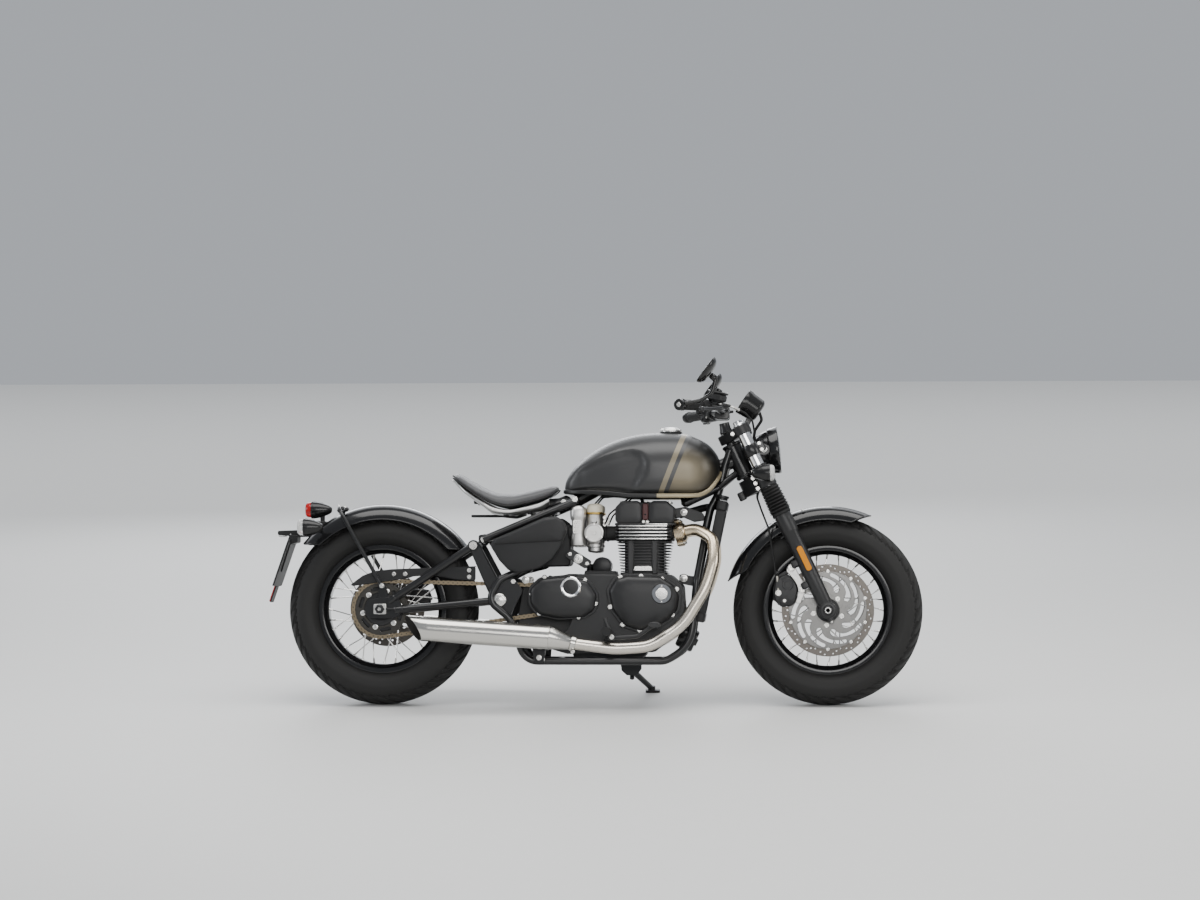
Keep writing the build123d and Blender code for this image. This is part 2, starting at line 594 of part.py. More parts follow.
PIVOT_X, PIVOT_Z = -346.0, 352.0
with BuildPart() as head_room:
    with BuildSketch(Plane(origin=tuple(head_point(HEAD_LOW - 5)), x_dir=AHEAD, z_dir=UP)):
        Circle(31)
    extrude(amount=HEAD_HIGH - HEAD_LOW + 10)
cradle_pieces = []
for side in BOTH:
    cradle_pieces += tube_runs([(x, side * y, z) for x, y, z in CRADLE], TUBE_R - 1.5, CRADLE_BENDS)
cradle_pieces += [rod_piece((-150, -126, 148), (-150, 126, 148), 12), rod_piece((196, -116, 150), (196, 116, 150), 12),
                  rod_piece((PIVOT_X, -152, PIVOT_Z), (PIVOT_X, 152, PIVOT_Z), 11)]
for side in BOTH:
    # the swinging arm's pivot plate, and the hanger for the silencer
    cradle_pieces.append(plate_piece([(-362, 404), (-300, 428), (-268, 384), (-316, 286), (-362, 338)], *sorted((side * 136, side * 146)), corner=12))
    cradle_pieces.append(plate_piece([(-236, 200), (-190, 200), (-196, 140), (-230, 140)], *sorted((side * 140, side * 148))))
# the side stand's pin, and its bracket under the left tube
cradle_pieces += [rod_piece(PIVOT - PIVOT_AXIS * 34, PIVOT + PIVOT_AXIS * 13, 8),
                  plate_piece([(44, 148), (50, 112), (68, 96), (102, 96), (118, 118), (118, 148)], 100, 116)]
frame_cradle = Node(one_node(cradle_pieces, head_room, frame_backbone))
keep(frame_cradle.part, "frame_cradle")

# ---------------------------------------------------------------- engine
CASE = [(-290, 300), (-272, 404), (-120, 440), (32, 437), (226, 437), (266, 400), (272, 320), (236, 232), (168, 178),
        (-120, 172), (-230, 204), (-284, 250)]
with BuildPart() as crankcase:
    add_plate(CASE, -128, 128, corner=16)
    with BuildSketch(across(*FRONT_SPROCKET, CHAIN_Y + 14)):
        Circle(CHAIN_PITCH_FRONT + 16)
        with Locations((-110, 0)):
            Rectangle(220, 144)
    extrude(amount=60, mode=Mode.SUBTRACT)
    add_rod((FRONT_SPROCKET[0], -75, FRONT_SPROCKET[1]), (FRONT_SPROCKET[0], -110, FRONT_SPROCKET[1]), 30)
keep(crankcase.part, "crankcase")

# cylinder block and head: a plain core with a row of cooling fins
BLOCK_FINS = [(452 + 12.5 * k, 60 - 1.2 * k, 212 + 1.6 * k, 112 + 1.2 * k) for k in range(8)]   # z, x low, x high, half width
with BuildPart() as cylinder_block:
    with BuildSketch(Plane.XY.offset(437.0)):
        with Locations((136, 0)):
            RectangleRounded(130, 200, 18)
    extrude(amount=115)
    for z, x0, x1, half in BLOCK_FINS:
        with BuildSketch(Plane.XY.offset(z)):
            with Locations(((x0 + x1) / 2, 0)):
                RectangleRounded(x1 - x0, 2 * half, 14)
        extrude(amount=4.5)
keep(cylinder_block.part, "cylinder_block")

HEAD_FINS = [552.5 + 11.6 * k for k in range(5)]
with BuildPart() as cylinder_head:
    with BuildSketch(Plane.XY.offset(552.0)):
        with Locations((134, 0)):
            RectangleRounded(162, 228, 16)
    extrude(amount=55)
    for z in HEAD_FINS:
        with BuildSketch(Plane.XY.offset(z)):
            with Locations((133, 0)):
                RectangleRounded(184, 256, 16)
        extrude(amount=5)
    for side in BOTH:
        add_rod((215, side * 64, 578), (244, side * 66, 578), 28)
keep(cylinder_head.part, "cylinder_head")

COVER = [(40, 607), (40, 662), (62, 682), (212, 682), (240, 660), (236, 607)]
with BuildPart() as cam_cover:
    for side in BOTH:
        add_plate(COVER, *sorted((side * 26, side * 124)), corner=12)
    add_plate([(56, 607), (56, 650), (222, 650), (222, 607)], -26, 26)
    carve(cylinder_head, frame_backbone)
keep(cam_cover.part, "cam_cover")

# right: clutch cover and the oval sprocket cover; left: alternator cover and its oval twin
ROUND_COVER = [(10, 386), (34, 428), (74, 440), (196, 437), (244, 406), (264, 366), (256, 316), (228, 284), (176, 252),
               (122, 243), (66, 262), (24, 318)]
OVAL_COVER = [(-252, 392), (-214, 428), (-120, 437), (-44, 418), (-12, 370), (-22, 314), (-62, 290), (-150, 286), (-222, 300), (-250, 338)]
with BuildPart() as engine_covers:
    for side in BOTH:
        add_plate(ROUND_COVER, *sorted((side * 128, side * 168)), corner=18)
        add_plate(OVAL_COVER, *sorted((side * 128, side * 160)), corner=22)
keep(engine_covers.part, "engine_covers")

# throttle bodies: an inlet stub to the head, an upright body with a round cap, and the box behind it
throttle_pieces = []
for side in BOTH:
    throttle_pieces += [
        rod_piece((-31, side * 66, 527), (-31, side * 66, 672), 27),
        rod_piece((-31, side * 70, 577), (-31, side * 122, 577), 33),
        plate_piece([(-112, 540), (-112, 650), (-102, 658), (-70, 658), (-60, 650), (-60, 540)], *sorted((side * 44, side * 118)), corner=5),
        rod_piece((-40, side * 66, 577), (52, side * 66, 577), 24),
    ]
# the air box behind them
throttle_pieces.append(plate_piece([(-330, 462), (-330, 512), (-214, 578), (-120, 604), (-120, 462)], -84, 84, corner=10))
throttle_bodies = Node(one_node(throttle_pieces, cylinder_head))
keep(throttle_bodies.part, "throttle_bodies")

PANEL = [(-378, 536), (-364, 556), (-196, 628), (-154, 632), (-128, 614), (-118, 586), (-142, 526), (-170, 486), (-210, 458),
         (-278, 441), (-316, 452), (-346, 484)]
with BuildPart() as side_panels:
    for side in BOTH:
        add_plate(PANEL, *sorted((side * 146, side * 164)), corner=9)
        for x, z in ((-308, 500), (-172, 560), (-236, 484)):
            add_rod((x, side * 84, z), (x, side * 146, z), 7)
    carve(frame_cradle)
keep(side_panels.part, "side_panels")

RAD_TOP, RAD_LOW = Vector(400, 0, 684), Vector(317, 0, 280)
RAD_RUN = (RAD_LOW - RAD_TOP).normalized()
with BuildPart() as radiator:
    with BuildSketch(Plane(origin=RAD_TOP, x_dir=(0, 1, 0), z_dir=RAD_RUN)):
        Rectangle(154, 30)
    extrude(amount=(RAD_LOW - RAD_TOP).length)
    for at, tall in ((RAD_TOP, 34), (RAD_LOW - RAD_RUN * 34, 34)):
        with BuildSketch(Plane(origin=at, x_dir=(0, 1, 0), z_dir=RAD_RUN)):
            RectangleRounded(170, 36, 8)
        extrude(amount=tall)
    carve(frame_cradle)
keep(radiator.part, "radiator")

# ---------------------------------------------------------------- exhausts
HEADER_R, MUFFLER_R = 20.0, 41.0
SLASH_UP, SLASH_OUT = 0.573, 0.49    # how far the silencers' end cut runs forward for each mm down and outward
HEADER = [(244.5, 66, 578), (310, 76, 592), (368, 116, 556), (370, 150, 484), (344, 170, 392), (268, 176, 268), (158, 182, 197),
          (40, 190, 190), (-96, 203, 208)]
HEADER_BENDS = (48, 48, 60, 160, 120, 120, 200)
MUFFLER_FRONT, MUFFLER_TAIL = Vector(-96, 203, 208), Vector(-700, 214, 264)
with BuildPart() as exhaust_headers:
    for side in BOTH:
        add_tube([(x, side * y, z) for x, y, z in HEADER], HEADER_R, HEADER_BENDS)
        add_rod((245.5, side * 66, 578.3), (256, side * 67.6, 580.5), 28)
    carve(cylinder_head)
keep(exhaust_headers.part, "exhaust_headers")

with BuildPart() as mufflers:
    for side in BOTH:
        front = Vector(MUFFLER_FRONT.X, side * MUFFLER_FRONT.Y, MUFFLER_FRONT.Z)
        tail = Vector(MUFFLER_TAIL.X, side * MUFFLER_TAIL.Y, MUFFLER_TAIL.Z)
        run = (tail - front).normalized()
        neck = Vector(-176, front.Y + (tail.Y - front.Y) * 80 / 604, 228)
        body = (tail - neck).normalized()
        add_rod(tuple(front), tuple(neck), 23, MUFFLER_R)
        with BuildSketch(Plane(origin=neck, z_dir=body)):
            Circle(MUFFLER_R)
        extrude(amount=(tail - neck).length)
        # the slash-cut end: open for its last stretch
        with BuildSketch(Plane(origin=tail, z_dir=-body)):
            Circle(MUFFLER_R - 2.5)
        extrude(amount=490, mode=Mode.SUBTRACT)
    # cut both ends on the slant, the top and the inner side furthest back
    for side in BOTH:
        with BuildSketch(Plane(origin=(-629, side * 214, 265), z_dir=(-1, SLASH_OUT * side, -SLASH_UP))):
            Rectangle(260, 260)
        extrude(amount=170, mode=Mode.SUBTRACT)
    carve(exhaust_headers)
keep(mufflers.part, "mufflers")

# ---------------------------------------------------------------- tank and seat
# tank sections: x, bottom z, top z, half width, top corner radius
TANK = [(-134, 716, 744, 44, 12), (-104, 713, 796, 84, 36), (-30, 711, 858, 116, 66), (66, 703, 899, 134, 88),
        (180, 699, 916, 142, 100), (274, 698, 911, 140, 98), (344, 712, 880, 116, 76), (384, 748, 826, 60, 30)]
TUNNEL = [(-200, 680), (-200, 756), (40, 778), (250, 784), (330, 830), (420, 850), (420, 680)]
TANK_WALL = 4.0


def tank_loft(sections, inset):
    """The tank's form through its sections, drawn in by the inset, into the open part."""
    profiles = []
    for x, low, high, half, top_r in sections:
        with BuildSketch(Plane(origin=(x, 0, 0), x_dir=(0, 1, 0), z_dir=(1, 0, 0))) as section:
            with BuildLine():
                Polyline((-half + inset, low + inset), (half - inset, low + inset), (half - inset, high - inset),
                         (-half + inset, high - inset), close=True)
            make_face()
            fillet(section.vertices().group_by(Axis.Y)[-1], top_r - inset)
            fillet(section.vertices().group_by(Axis.Y)[0], 9 - inset)
        profiles.append(section.sketch.face())
    loft(profiles)


with BuildPart() as tank_form:
    tank_loft(TANK, 0)

with BuildPart() as tank_void:
    tank_loft(TANK[1:-1], TANK_WALL)


def between(shape, y_low, y_high):
    """What of a shape lies between two lateral places."""
    return shape & Pos(130, (y_low + y_high) / 2, 800) * Box(700, y_high - y_low, 400)


# one lobe beside the tunnel, closed round its own space, and its mirror image
TUNNEL_HALF = 44.0
lobe = between(tank_form.part, TUNNEL_HALF, 160)
for piece in (frame_backbone.part, *[solid for solid in frame_cradle.part.solids() if solid.bounding_box().max.X > -150]):
    lobe = lobe - piece
lobe = lobe - between(tank_void.part, TUNNEL_HALF + TANK_WALL, 160)
lobes = [lobe, mirror(lobe, about=Plane.XZ)]

# the bridge over the backbone and the tubes to the headstock
bridge_form = between(tank_form.part, -TUNNEL_HALF, TUNNEL_HALF)
bridge_void = between(tank_void.part, -TUNNEL_HALF + TANK_WALL, TUNNEL_HALF - TANK_WALL)
with BuildPart() as bridge:
    add(bridge_form)
    with BuildSketch(across(0, 0, 60)):
        with BuildLine():
            Polyline(*TUNNEL, close=True)
        make_face()
    extrude(amount=120, mode=Mode.SUBTRACT)
    carve(frame_backbone)
with BuildPart() as bridge_room:
    add(bridge_void)
    with BuildSketch(across(0, 0, 60)):
        with BuildLine():
            Polyline(*[(x, z + (8 if z > 700 else 0)) for x, z in TUNNEL], close=True)
        make_face()
    extrude(amount=120, mode=Mode.SUBTRACT)
tank_pieces = [*lobes, bridge.part - bridge_room.part]
fuel_tank = Node(Compound(children=[Part() + solid for piece in tank_pieces for solid in piece.solids()]))
keep(fuel_tank.part, "fuel_tank")

CAP_C = (222.0, 916.5)
with BuildPart() as fuel_cap:
    add_rod((CAP_C[0], 0, CAP_C[1] + 1.5), (CAP_C[0], 0, CAP_C[1] + 9), 34)
    add_rod((CAP_C[0], 0, CAP_C[1] + 9), (CAP_C[0], 0, CAP_C[1] + 18), 33, 24)
keep(fuel_cap.part, "fuel_cap")

# seat outlines in X and Z, and one plan for both
PAD = [(-512, 762), (-500, 782), (-448, 754), (-409, 733), (-358, 714), (-310, 713), (-262, 722), (-200, 736), (-166, 740),
       (-154, 728), (-176, 700), (-215, 684), (-270, 668), (-322, 658), (-356, 664), (-409, 688), (-464, 724)]
PAN = [(-519, 756), (-512, 759), (-464, 721), (-409, 685), (-356, 661), (-322, 655), (-270, 665), (-215, 681), (-190, 690),
       (-186, 672), (-218, 652), (-268, 642), (-323, 636), (-368, 637), (-406, 662), (-473, 712)]
SEAT_PLAN = [(-524, 0), (-516, 60), (-486, 108), (-440, 132), (-380, 138), (-310, 124), (-250, 98), (-190, 74), (-158, 54), (-150, 0)]
for outline, name, grow in ((PAD, "seat_pad", 0.0), (PAN, "seat_pan", 3.0)):
    with BuildPart() as seat:
        add_plate(outline, -150, 150)
        with BuildSketch(Plane.XY.offset(560)):
            with BuildLine():
                plan = [(x, y + (grow if y else 0)) for x, y in SEAT_PLAN]
                Polyline(*plan, *[(x, -y) for x, y in plan[-2:0:-1]], close=True)
            make_face()
        extrude(amount=300, mode=Mode.INTERSECT)
        if name == "seat_pan":
            # the mounting tongue forward to the frame, and the flat strut under the pan
            add_plate([(-204, 686), (-204, 664), (-150, 668), (-122, 690), (-126, 697), (-186, 691)], -30, 30)
            add_plate([(-450, 633), (-450, 639), (-340, 639), (-300, 634), (-300, 628), (-350, 633)], -22, 22)
            carve(seat_pad)
        else:
            seat_pad = seat
    keep(seat.part, name)

# ---------------------------------------------------------------- rear suspension and drive
ARM_Y, ARM_R = 118.0, 13.0
arm_pieces = [rod_piece((PIVOT_X, -ARM_Y - 13, PIVOT_Z), (PIVOT_X, ARM_Y + 13, PIVOT_Z), 21)]
for side in BOTH:
    y = side * ARM_Y
    # the axle's end plate, the corner boss and the three tubes of the triangle, and the tab for the fender stay
    arm_pieces += [
        plate_piece([(-806, 322), (-790, 352), (-742, 362), (-690, 362), (-672, 322), (-690, 296), (-742, 290), (-790, 294)],
                    *sorted((side * 112, side * 126)), corner=8),
        rod_piece((-436, y - ARM_R, 535), (-436, y + ARM_R, 535), 17),
        rod_piece((-722, y, 346), (-436, y, 535), ARM_R),
        rod_piece((-436, y, 535), (PIVOT_X, y, PIVOT_Z + 8), ARM_R + 2),
        rod_piece((-700, y, 318), (PIVOT_X, y, PIVOT_Z), ARM_R),
        plate_piece([(-756, 358), (-752, 410), (-734, 410), (-724, 358)], *sorted((side * 112, side * 118))),
    ]
arm_pieces.append(rod_piece((-436, -ARM_Y, 535), (-436, ARM_Y, 535), 12))
axle_room = Node(rod_piece((REAR_X, -200, REAR_R), (REAR_X, 200, REAR_R), AXLE_R))
swingarm = Node(one_node(arm_pieces, axle_room, frame_cradle, frame_backbone, rear_fender))
keep(swingarm.part, "swingarm")

SHOCK_LOW, SHOCK_HIGH = Vector(-412, 0, 547), Vector(-180, 0, 642)
SHOCK_RUN = (SHOCK_HIGH - SHOCK_LOW).normalized()
with BuildPart() as rear_shock:
    add_rod(tuple(SHOCK_LOW + SHOCK_RUN * 4), tuple(SHOCK_HIGH - SHOCK_RUN * 4), 11)
    for at in (26, 54, 82, 110, 138):
        add_rod(tuple(SHOCK_LOW + SHOCK_RUN * at), tuple(SHOCK_LOW + SHOCK_RUN * (at + 14)), 23)
    add_rod(tuple(SHOCK_LOW + SHOCK_RUN * 160), tuple(SHOCK_LOW + SHOCK_RUN * 222), 22)
    carve(swingarm, frame_backbone)
keep(rear_shock.part, "rear_shock")

with BuildPart() as rear_axle:
    add_rod((REAR_X, -146, REAR_R), (REAR_X, 146, REAR_R), AXLE_R)
    add_rod((REAR_X, -96.5, REAR_R), (REAR_X, -111.8, REAR_R), 15)
    add_rod((REAR_X, 89, REAR_R), (REAR_X, 111.8, REAR_R), 15)
    for side in BOTH:
        with BuildSketch(Plane(origin=(REAR_X, side * 126.2, REAR_R), x_dir=(1, 0, 0), z_dir=(0, side, 0))):
            Rectangle(40, 34)
        extrude(amount=6)
        with BuildSketch(Plane(origin=(REAR_X, side * 132, REAR_R), x_dir=(1, 0, 0), z_dir=(0, side, 0))):
            RegularPolygon(15, 6)
        extrude(amount=9)
    with BuildSketch(across(REAR_X, REAR_R, 160)):
        Circle(AXLE_BORE_R)
    extrude(amount=320, mode=Mode.SUBTRACT)
keep(rear_axle.part, "rear_axle")

# final drive chain: one closed loop round both sprockets
with BuildPart() as drive_chain:
    with BuildSketch(across(0, 0, CHAIN_Y + 8.5)):
        for grow, mode in ((8.0, Mode.ADD), (-8.0, Mode.SUBTRACT)):
            r1, r2 = CHAIN_PITCH_REAR + grow, CHAIN_PITCH_FRONT + grow
            a = Vector(REAR_X, REAR_R)
            b = Vector(*FRONT_SPROCKET)
            d = (b - a).length
            e = (b - a).normalized()
            n = Vector(-e.Y, e.X)
            k = (r1 - r2) / d
            m = sqrt(1 - k * k)
            up, down = e * k + n * m, e * k - n * m
            with BuildLine():
                Line(a + up * r1, b + up * r2)
                ThreePointArc(b + up * r2, b + e * r2, b + down * r2)
                Line(b + down * r2, a + down * r1)
                ThreePointArc(a + down * r1, a - e * r1, a + up * r1)
            make_face(mode=mode)
    extrude(amount=17)
keep(drive_chain.part, "drive_chain")

GUARD = [(-852, 404), (-812, 434), (-770, 450), (-712, 456), (-430, 466), (-430, 414), (-545, 408), (-640, 436), (-700, 444), (-760, 440), (-815, 410), (-846, 398)]
with BuildPart() as chain_guard:
    add_plate(GUARD, -104.2, -101.8)
    add_plate([(-852, 404), (-812, 434), (-770, 450), (-712, 456), (-430, 466), (-430, 463), (-712, 453), (-769, 447), (-810, 431), (-850, 401)], -103, -82)
keep(chain_guard.part, "chain_guard")

# rear lamps: tail lamp on the centre line, an indicator each side, each a bullet with its lens to the rear
with BuildPart() as rear_lights:
    add_rod((-999, 0, 658), (-930, 0, 658), 29, 12)
    add_rod((-1020, 0, 658), (-999, 0, 658), 28, 30)
    for side in BOTH:
        add_rod((-1003, side * 150, 596), (-940, side * 150, 596), 30, 12)
        add_rod((-1026, side * 150, 596), (-1003, side * 150, 596), 27, 31)
        add_rod((-978, side * 142, 606), (-978, side * 28, 606), 7)
keep(rear_lights.part, "rear_lights")

# plate holder: block under the lamp, arm to the rear, plate backing with two screw holes, and the reflector
PLATE_TOP, PLATE_LOW = Vector(-1064, 0, 556), Vector(-1118, 0, 398)
PLATE_RUN = (PLATE_LOW - PLATE_TOP).normalized()
PLATE_N = Vector(PLATE_RUN.Z, 0, -PLATE_RUN.X)
PLATE_HOLE_R, PLATE_PCD = 3.25, 146.0
with BuildPart() as plate_holder:
    add_plate([(-1004, 560), (-1004, 620), (-946, 620), (-930, 600), (-940, 560)], -28, 28)
    add_plate([(-1112, 572), (-1112, 588), (-1000, 592), (-1000, 566)], -24, 24)
    add_plate([(-1040, 574), (-1040, 548), (-1068, 540), (-1082, 540), (-1070, 574)], -40, 40)
    with BuildSketch(Plane(origin=PLATE_TOP, x_dir=(0, 1, 0), z_dir=PLATE_RUN)):
        Rectangle(190, 5)
    extrude(amount=166)
    with BuildSketch(Plane(origin=PLATE_LOW - PLATE_RUN * 2, x_dir=(0, 1, 0), z_dir=PLATE_RUN)):
        Rectangle(64, 8)
    extrude(amount=58)
    hole_c = PLATE_TOP + PLATE_RUN * 60
    with BuildSketch(Plane(origin=hole_c + PLATE_N * 20, x_dir=(0, 1, 0), z_dir=-PLATE_N)):
        with Locations((PLATE_PCD / 2, 0), (-PLATE_PCD / 2, 0)):
            Circle(PLATE_HOLE_R)
    extrude(amount=40, mode=Mode.SUBTRACT)
    add_rod((-962, 0, 612), (-962, 0, 650), 8)
    with BuildSketch(across(REAR_X, REAR_R, 60)):
        Circle(350)
    extrude(amount=120, mode=Mode.SUBTRACT)
    carve(rear_fender, rear_lights)
keep(plate_holder.part, "plate_holder")

with BuildPart() as rear_caliper:
    add_plate([(-668, 392), (-616, 388), (-600, 350), (-612, 316), (-660, 320)], 64, 108, corner=8)
    with BuildSketch(Plane(origin=(REAR_X, 83, REAR_R), x_dir=(1, 0, 0), z_dir=(0, 1, 0))):
        Circle(133)
    extrude(amount=15, mode=Mode.SUBTRACT)
    carve(swingarm)
keep(rear_caliper.part, "rear_caliper")

# ---------------------------------------------------------------- rider's feet
with BuildPart() as foot_controls:
    for side in BOTH:
        add_rod((20, side * 129.5, 232), (20, side * 214, 246), 9)
        add_rod((20, side * 212, 246), (20, side * 306, 248), 15)
        add_tube([(10, side * 222, 292), (34, side * 222, 226), (120, side * 222, 232), (172, side * 222, 268)], 7, (24, 40))
        with BuildSketch(Plane(origin=(176, side * 206, 270), x_dir=(1, 0, 0), z_dir=(0, side, 0))):
            Ellipse(21, 10)
        extrude(amount=46)
keep(foot_controls.part, "foot_controls")

# ---------------------------------------------------------------- side stand
# The foot stands flat on the ground of the leaning bike. Folding turns it up and back about PIVOT_AXIS.
FOOT_Y = 252.0
FOOT_GROUND = Vector(146, FOOT_Y, FOOT_Y * sin(LEAN) / cos(LEAN) - SHIFT_Z / cos(LEAN))
with BuildPart() as side_stand:
    ankle = FOOT_GROUND + WORLD_UP * 14
    with BuildSketch(Plane(origin=PIVOT - PIVOT_AXIS * 11, z_dir=PIVOT_AXIS)):
        Circle(17)
    extrude(amount=22)
    add_rod(tuple(PIVOT), tuple(ankle), 11, 9.5)
    with BuildSketch(Plane(origin=FOOT_GROUND + Vector(4, 3, 3 * sin(LEAN) / cos(LEAN)), x_dir=(1, 0, 0), z_dir=WORLD_UP)):
        RectangleRounded(50, 36, 10)
    extrude(amount=9)
    with BuildSketch(Plane(origin=ankle - WORLD_UP * 8, x_dir=(1, 0, 0), z_dir=WORLD_UP)):
        Circle(13)
    extrude(amount=16)
    with BuildSketch(Plane(origin=PIVOT - PIVOT_AXIS * 40, z_dir=PIVOT_AXIS)):
        Circle(8.3)
    extrude(amount=80, mode=Mode.SUBTRACT)
keep(side_stand.part, "side_stand")
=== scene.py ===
import math
import bpy
import bmesh
import numpy as np
from mathutils import Matrix, Vector


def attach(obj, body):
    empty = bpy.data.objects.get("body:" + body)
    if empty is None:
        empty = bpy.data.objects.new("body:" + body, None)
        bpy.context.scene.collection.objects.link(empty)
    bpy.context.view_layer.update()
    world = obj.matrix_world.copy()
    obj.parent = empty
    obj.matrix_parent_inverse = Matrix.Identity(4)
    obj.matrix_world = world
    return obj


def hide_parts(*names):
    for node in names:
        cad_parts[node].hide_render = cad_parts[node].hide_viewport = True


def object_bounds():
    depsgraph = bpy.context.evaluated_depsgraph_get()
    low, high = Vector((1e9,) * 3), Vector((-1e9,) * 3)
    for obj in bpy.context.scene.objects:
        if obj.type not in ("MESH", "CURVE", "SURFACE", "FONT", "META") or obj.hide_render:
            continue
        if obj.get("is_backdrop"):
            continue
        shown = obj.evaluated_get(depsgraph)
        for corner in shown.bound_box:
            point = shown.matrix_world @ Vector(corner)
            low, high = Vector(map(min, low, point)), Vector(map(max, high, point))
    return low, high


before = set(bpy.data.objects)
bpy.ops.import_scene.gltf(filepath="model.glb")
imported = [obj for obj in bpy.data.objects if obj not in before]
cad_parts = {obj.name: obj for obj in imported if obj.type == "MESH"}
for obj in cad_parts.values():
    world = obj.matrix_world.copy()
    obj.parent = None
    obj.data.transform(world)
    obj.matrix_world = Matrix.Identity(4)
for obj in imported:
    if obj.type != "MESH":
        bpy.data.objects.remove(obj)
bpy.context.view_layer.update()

# Pieces are drawn in the upright bike's millimetres: +X forward, +Y to its left, +Z up, X = 0 midway between the axles.
# PARKED leans them over with the parked bike, into the row frame in metres.
LEAN = math.radians(8.0)
PARKED = Matrix.Translation((0.036, -0.1534, 0.000859)) @ Matrix.Rotation(-LEAN, 4, "X") @ Matrix.Scale(0.001, 4)
BOTH = (-1, 1)
RAKE = math.radians(25.4)
UP = Vector((-math.sin(RAKE), 0, math.cos(RAKE)))
AHEAD = Vector((math.cos(RAKE), 0, math.sin(RAKE)))
FRONT_AXLE, REAR_AXLE = Vector((750, 0, 318)), Vector((-750, 0, 322))
YDIR = Vector((0, 1, 0))
ZDIR = Vector((0, 0, 1))
XDIR = Vector((1, 0, 0))
FORK_Y = 108.0


def fork(t, ahead=0.0, y=0.0):
    """A point t mm up the fork legs' line from the front axle."""
    return FRONT_AXLE + UP * t + AHEAD * ahead + Vector((0, y, 0))


def stem(t, ahead=0.0, y=0.0):
    """The same, measured from the steering axis."""
    return fork(t, ahead - 53.0, y)


# ------------------------------------------------------------------ materials
def nodes_of(m):
    return m.node_tree.nodes, m.node_tree.links


def upright(nt):
    """Object coordinates turned back to the upright bike, in metres."""
    coord = nt.nodes.new("ShaderNodeTexCoord")
    turn = nt.nodes.new("ShaderNodeMapping")
    turn.vector_type = "POINT"
    turn.inputs["Location"].default_value = (-0.036, 0.1534 * math.cos(LEAN), 0.1534 * math.sin(LEAN) - 0.00085)
    turn.inputs["Rotation"].default_value = (LEAN, 0, 0)
    nt.links.new(coord.outputs["Object"], turn.inputs["Vector"])
    return turn.outputs["Vector"]


def maths(nt, op, a, b=None, clamp=False):
    n = nt.nodes.new("ShaderNodeMath")
    n.operation = op
    n.use_clamp = clamp
    for k, v in enumerate((a, b)):
        if v is None:
            continue
        if isinstance(v, (int, float)):
            n.inputs[k].default_value = v
        else:
            nt.links.new(v, n.inputs[k])
    return n.outputs[0]


def mixed(nt, fac, a, b):
    n = nt.nodes.new("ShaderNodeMix")
    n.data_type = "RGBA"
    if isinstance(fac, (int, float)):
        n.inputs[0].default_value = fac
    else:
        nt.links.new(fac, n.inputs[0])
    for k, v in ((6, a), (7, b)):
        if isinstance(v, tuple):
            n.inputs[k].default_value = (*v[:3], 1)
        else:
            nt.links.new(v, n.inputs[k])
    return n.outputs[2]


def material(name, colour, rough=0.5, metal=0.0, bump=0.0, scale=300.0, vary=0.12, worn=0.85, coat=0.0, stretch=None,
             transmission=0.0, ior=1.45, glow=0.0, detail=4.0, spec=None, grain=None):
    """A surface whose colour, roughness and relief vary a little with fine noise in the piece's own coordinates."""
    m = bpy.data.materials.new(name)
    m.use_nodes = True
    nt = m.node_tree
    shader = nt.nodes["Principled BSDF"]
    shader.inputs["Metallic"].default_value = metal
    shader.inputs["IOR"].default_value = ior
    if coat:
        shader.inputs["Coat Weight"].default_value = coat
        shader.inputs["Coat Roughness"].default_value = 0.06
    if transmission:
        shader.inputs["Transmission Weight"].default_value = transmission
    if spec is not None:
        shader.inputs["Specular IOR Level"].default_value = spec
    if glow:
        shader.inputs["Emission Color"].default_value = (*colour, 1)
        shader.inputs["Emission Strength"].default_value = glow
    where = upright(nt)
    if stretch:
        squeeze = nt.nodes.new("ShaderNodeMapping")
        squeeze.inputs["Scale"].default_value = stretch
        nt.links.new(where, squeeze.inputs["Vector"])
        where = squeeze.outputs["Vector"]
    noise = nt.nodes.new("ShaderNodeTexNoise")
    noise.inputs["Scale"].default_value = scale
    noise.inputs["Detail"].default_value = detail
    nt.links.new(where, noise.inputs["Vector"])
    broad = nt.nodes.new("ShaderNodeTexNoise")
    broad.inputs["Scale"].default_value = 9.0
    broad.inputs["Detail"].default_value = 3.0
    nt.links.new(where, broad.inputs["Vector"])
    spread = maths(nt, "ADD", maths(nt, "MULTIPLY", noise.outputs["Fac"], 0.5), maths(nt, "MULTIPLY", broad.outputs["Fac"], 0.5))
    rough_out = maths(nt, "ADD", maths(nt, "MULTIPLY", spread, vary * 2), max(0.0, rough - vary), True)
    nt.links.new(rough_out, shader.inputs["Roughness"])
    shade = mixed(nt, spread, tuple(c * worn for c in colour), tuple(min(1.0, c * (2 - worn)) for c in colour))
    nt.links.new(shade, shader.inputs["Base Color"])
    if bump:
        height = noise.outputs["Fac"]
        if grain:
            cells = nt.nodes.new("ShaderNodeTexVoronoi")
            cells.inputs["Scale"].default_value = grain
            nt.links.new(where, cells.inputs["Vector"])
            height = cells.outputs["Distance"]
        relief = nt.nodes.new("ShaderNodeBump")
        relief.inputs["Strength"].default_value = bump
        relief.inputs["Distance"].default_value = 0.0006
        nt.links.new(height, relief.inputs["Height"])
        nt.links.new(relief.outputs["Normal"], shader.inputs["Normal"])
    return m


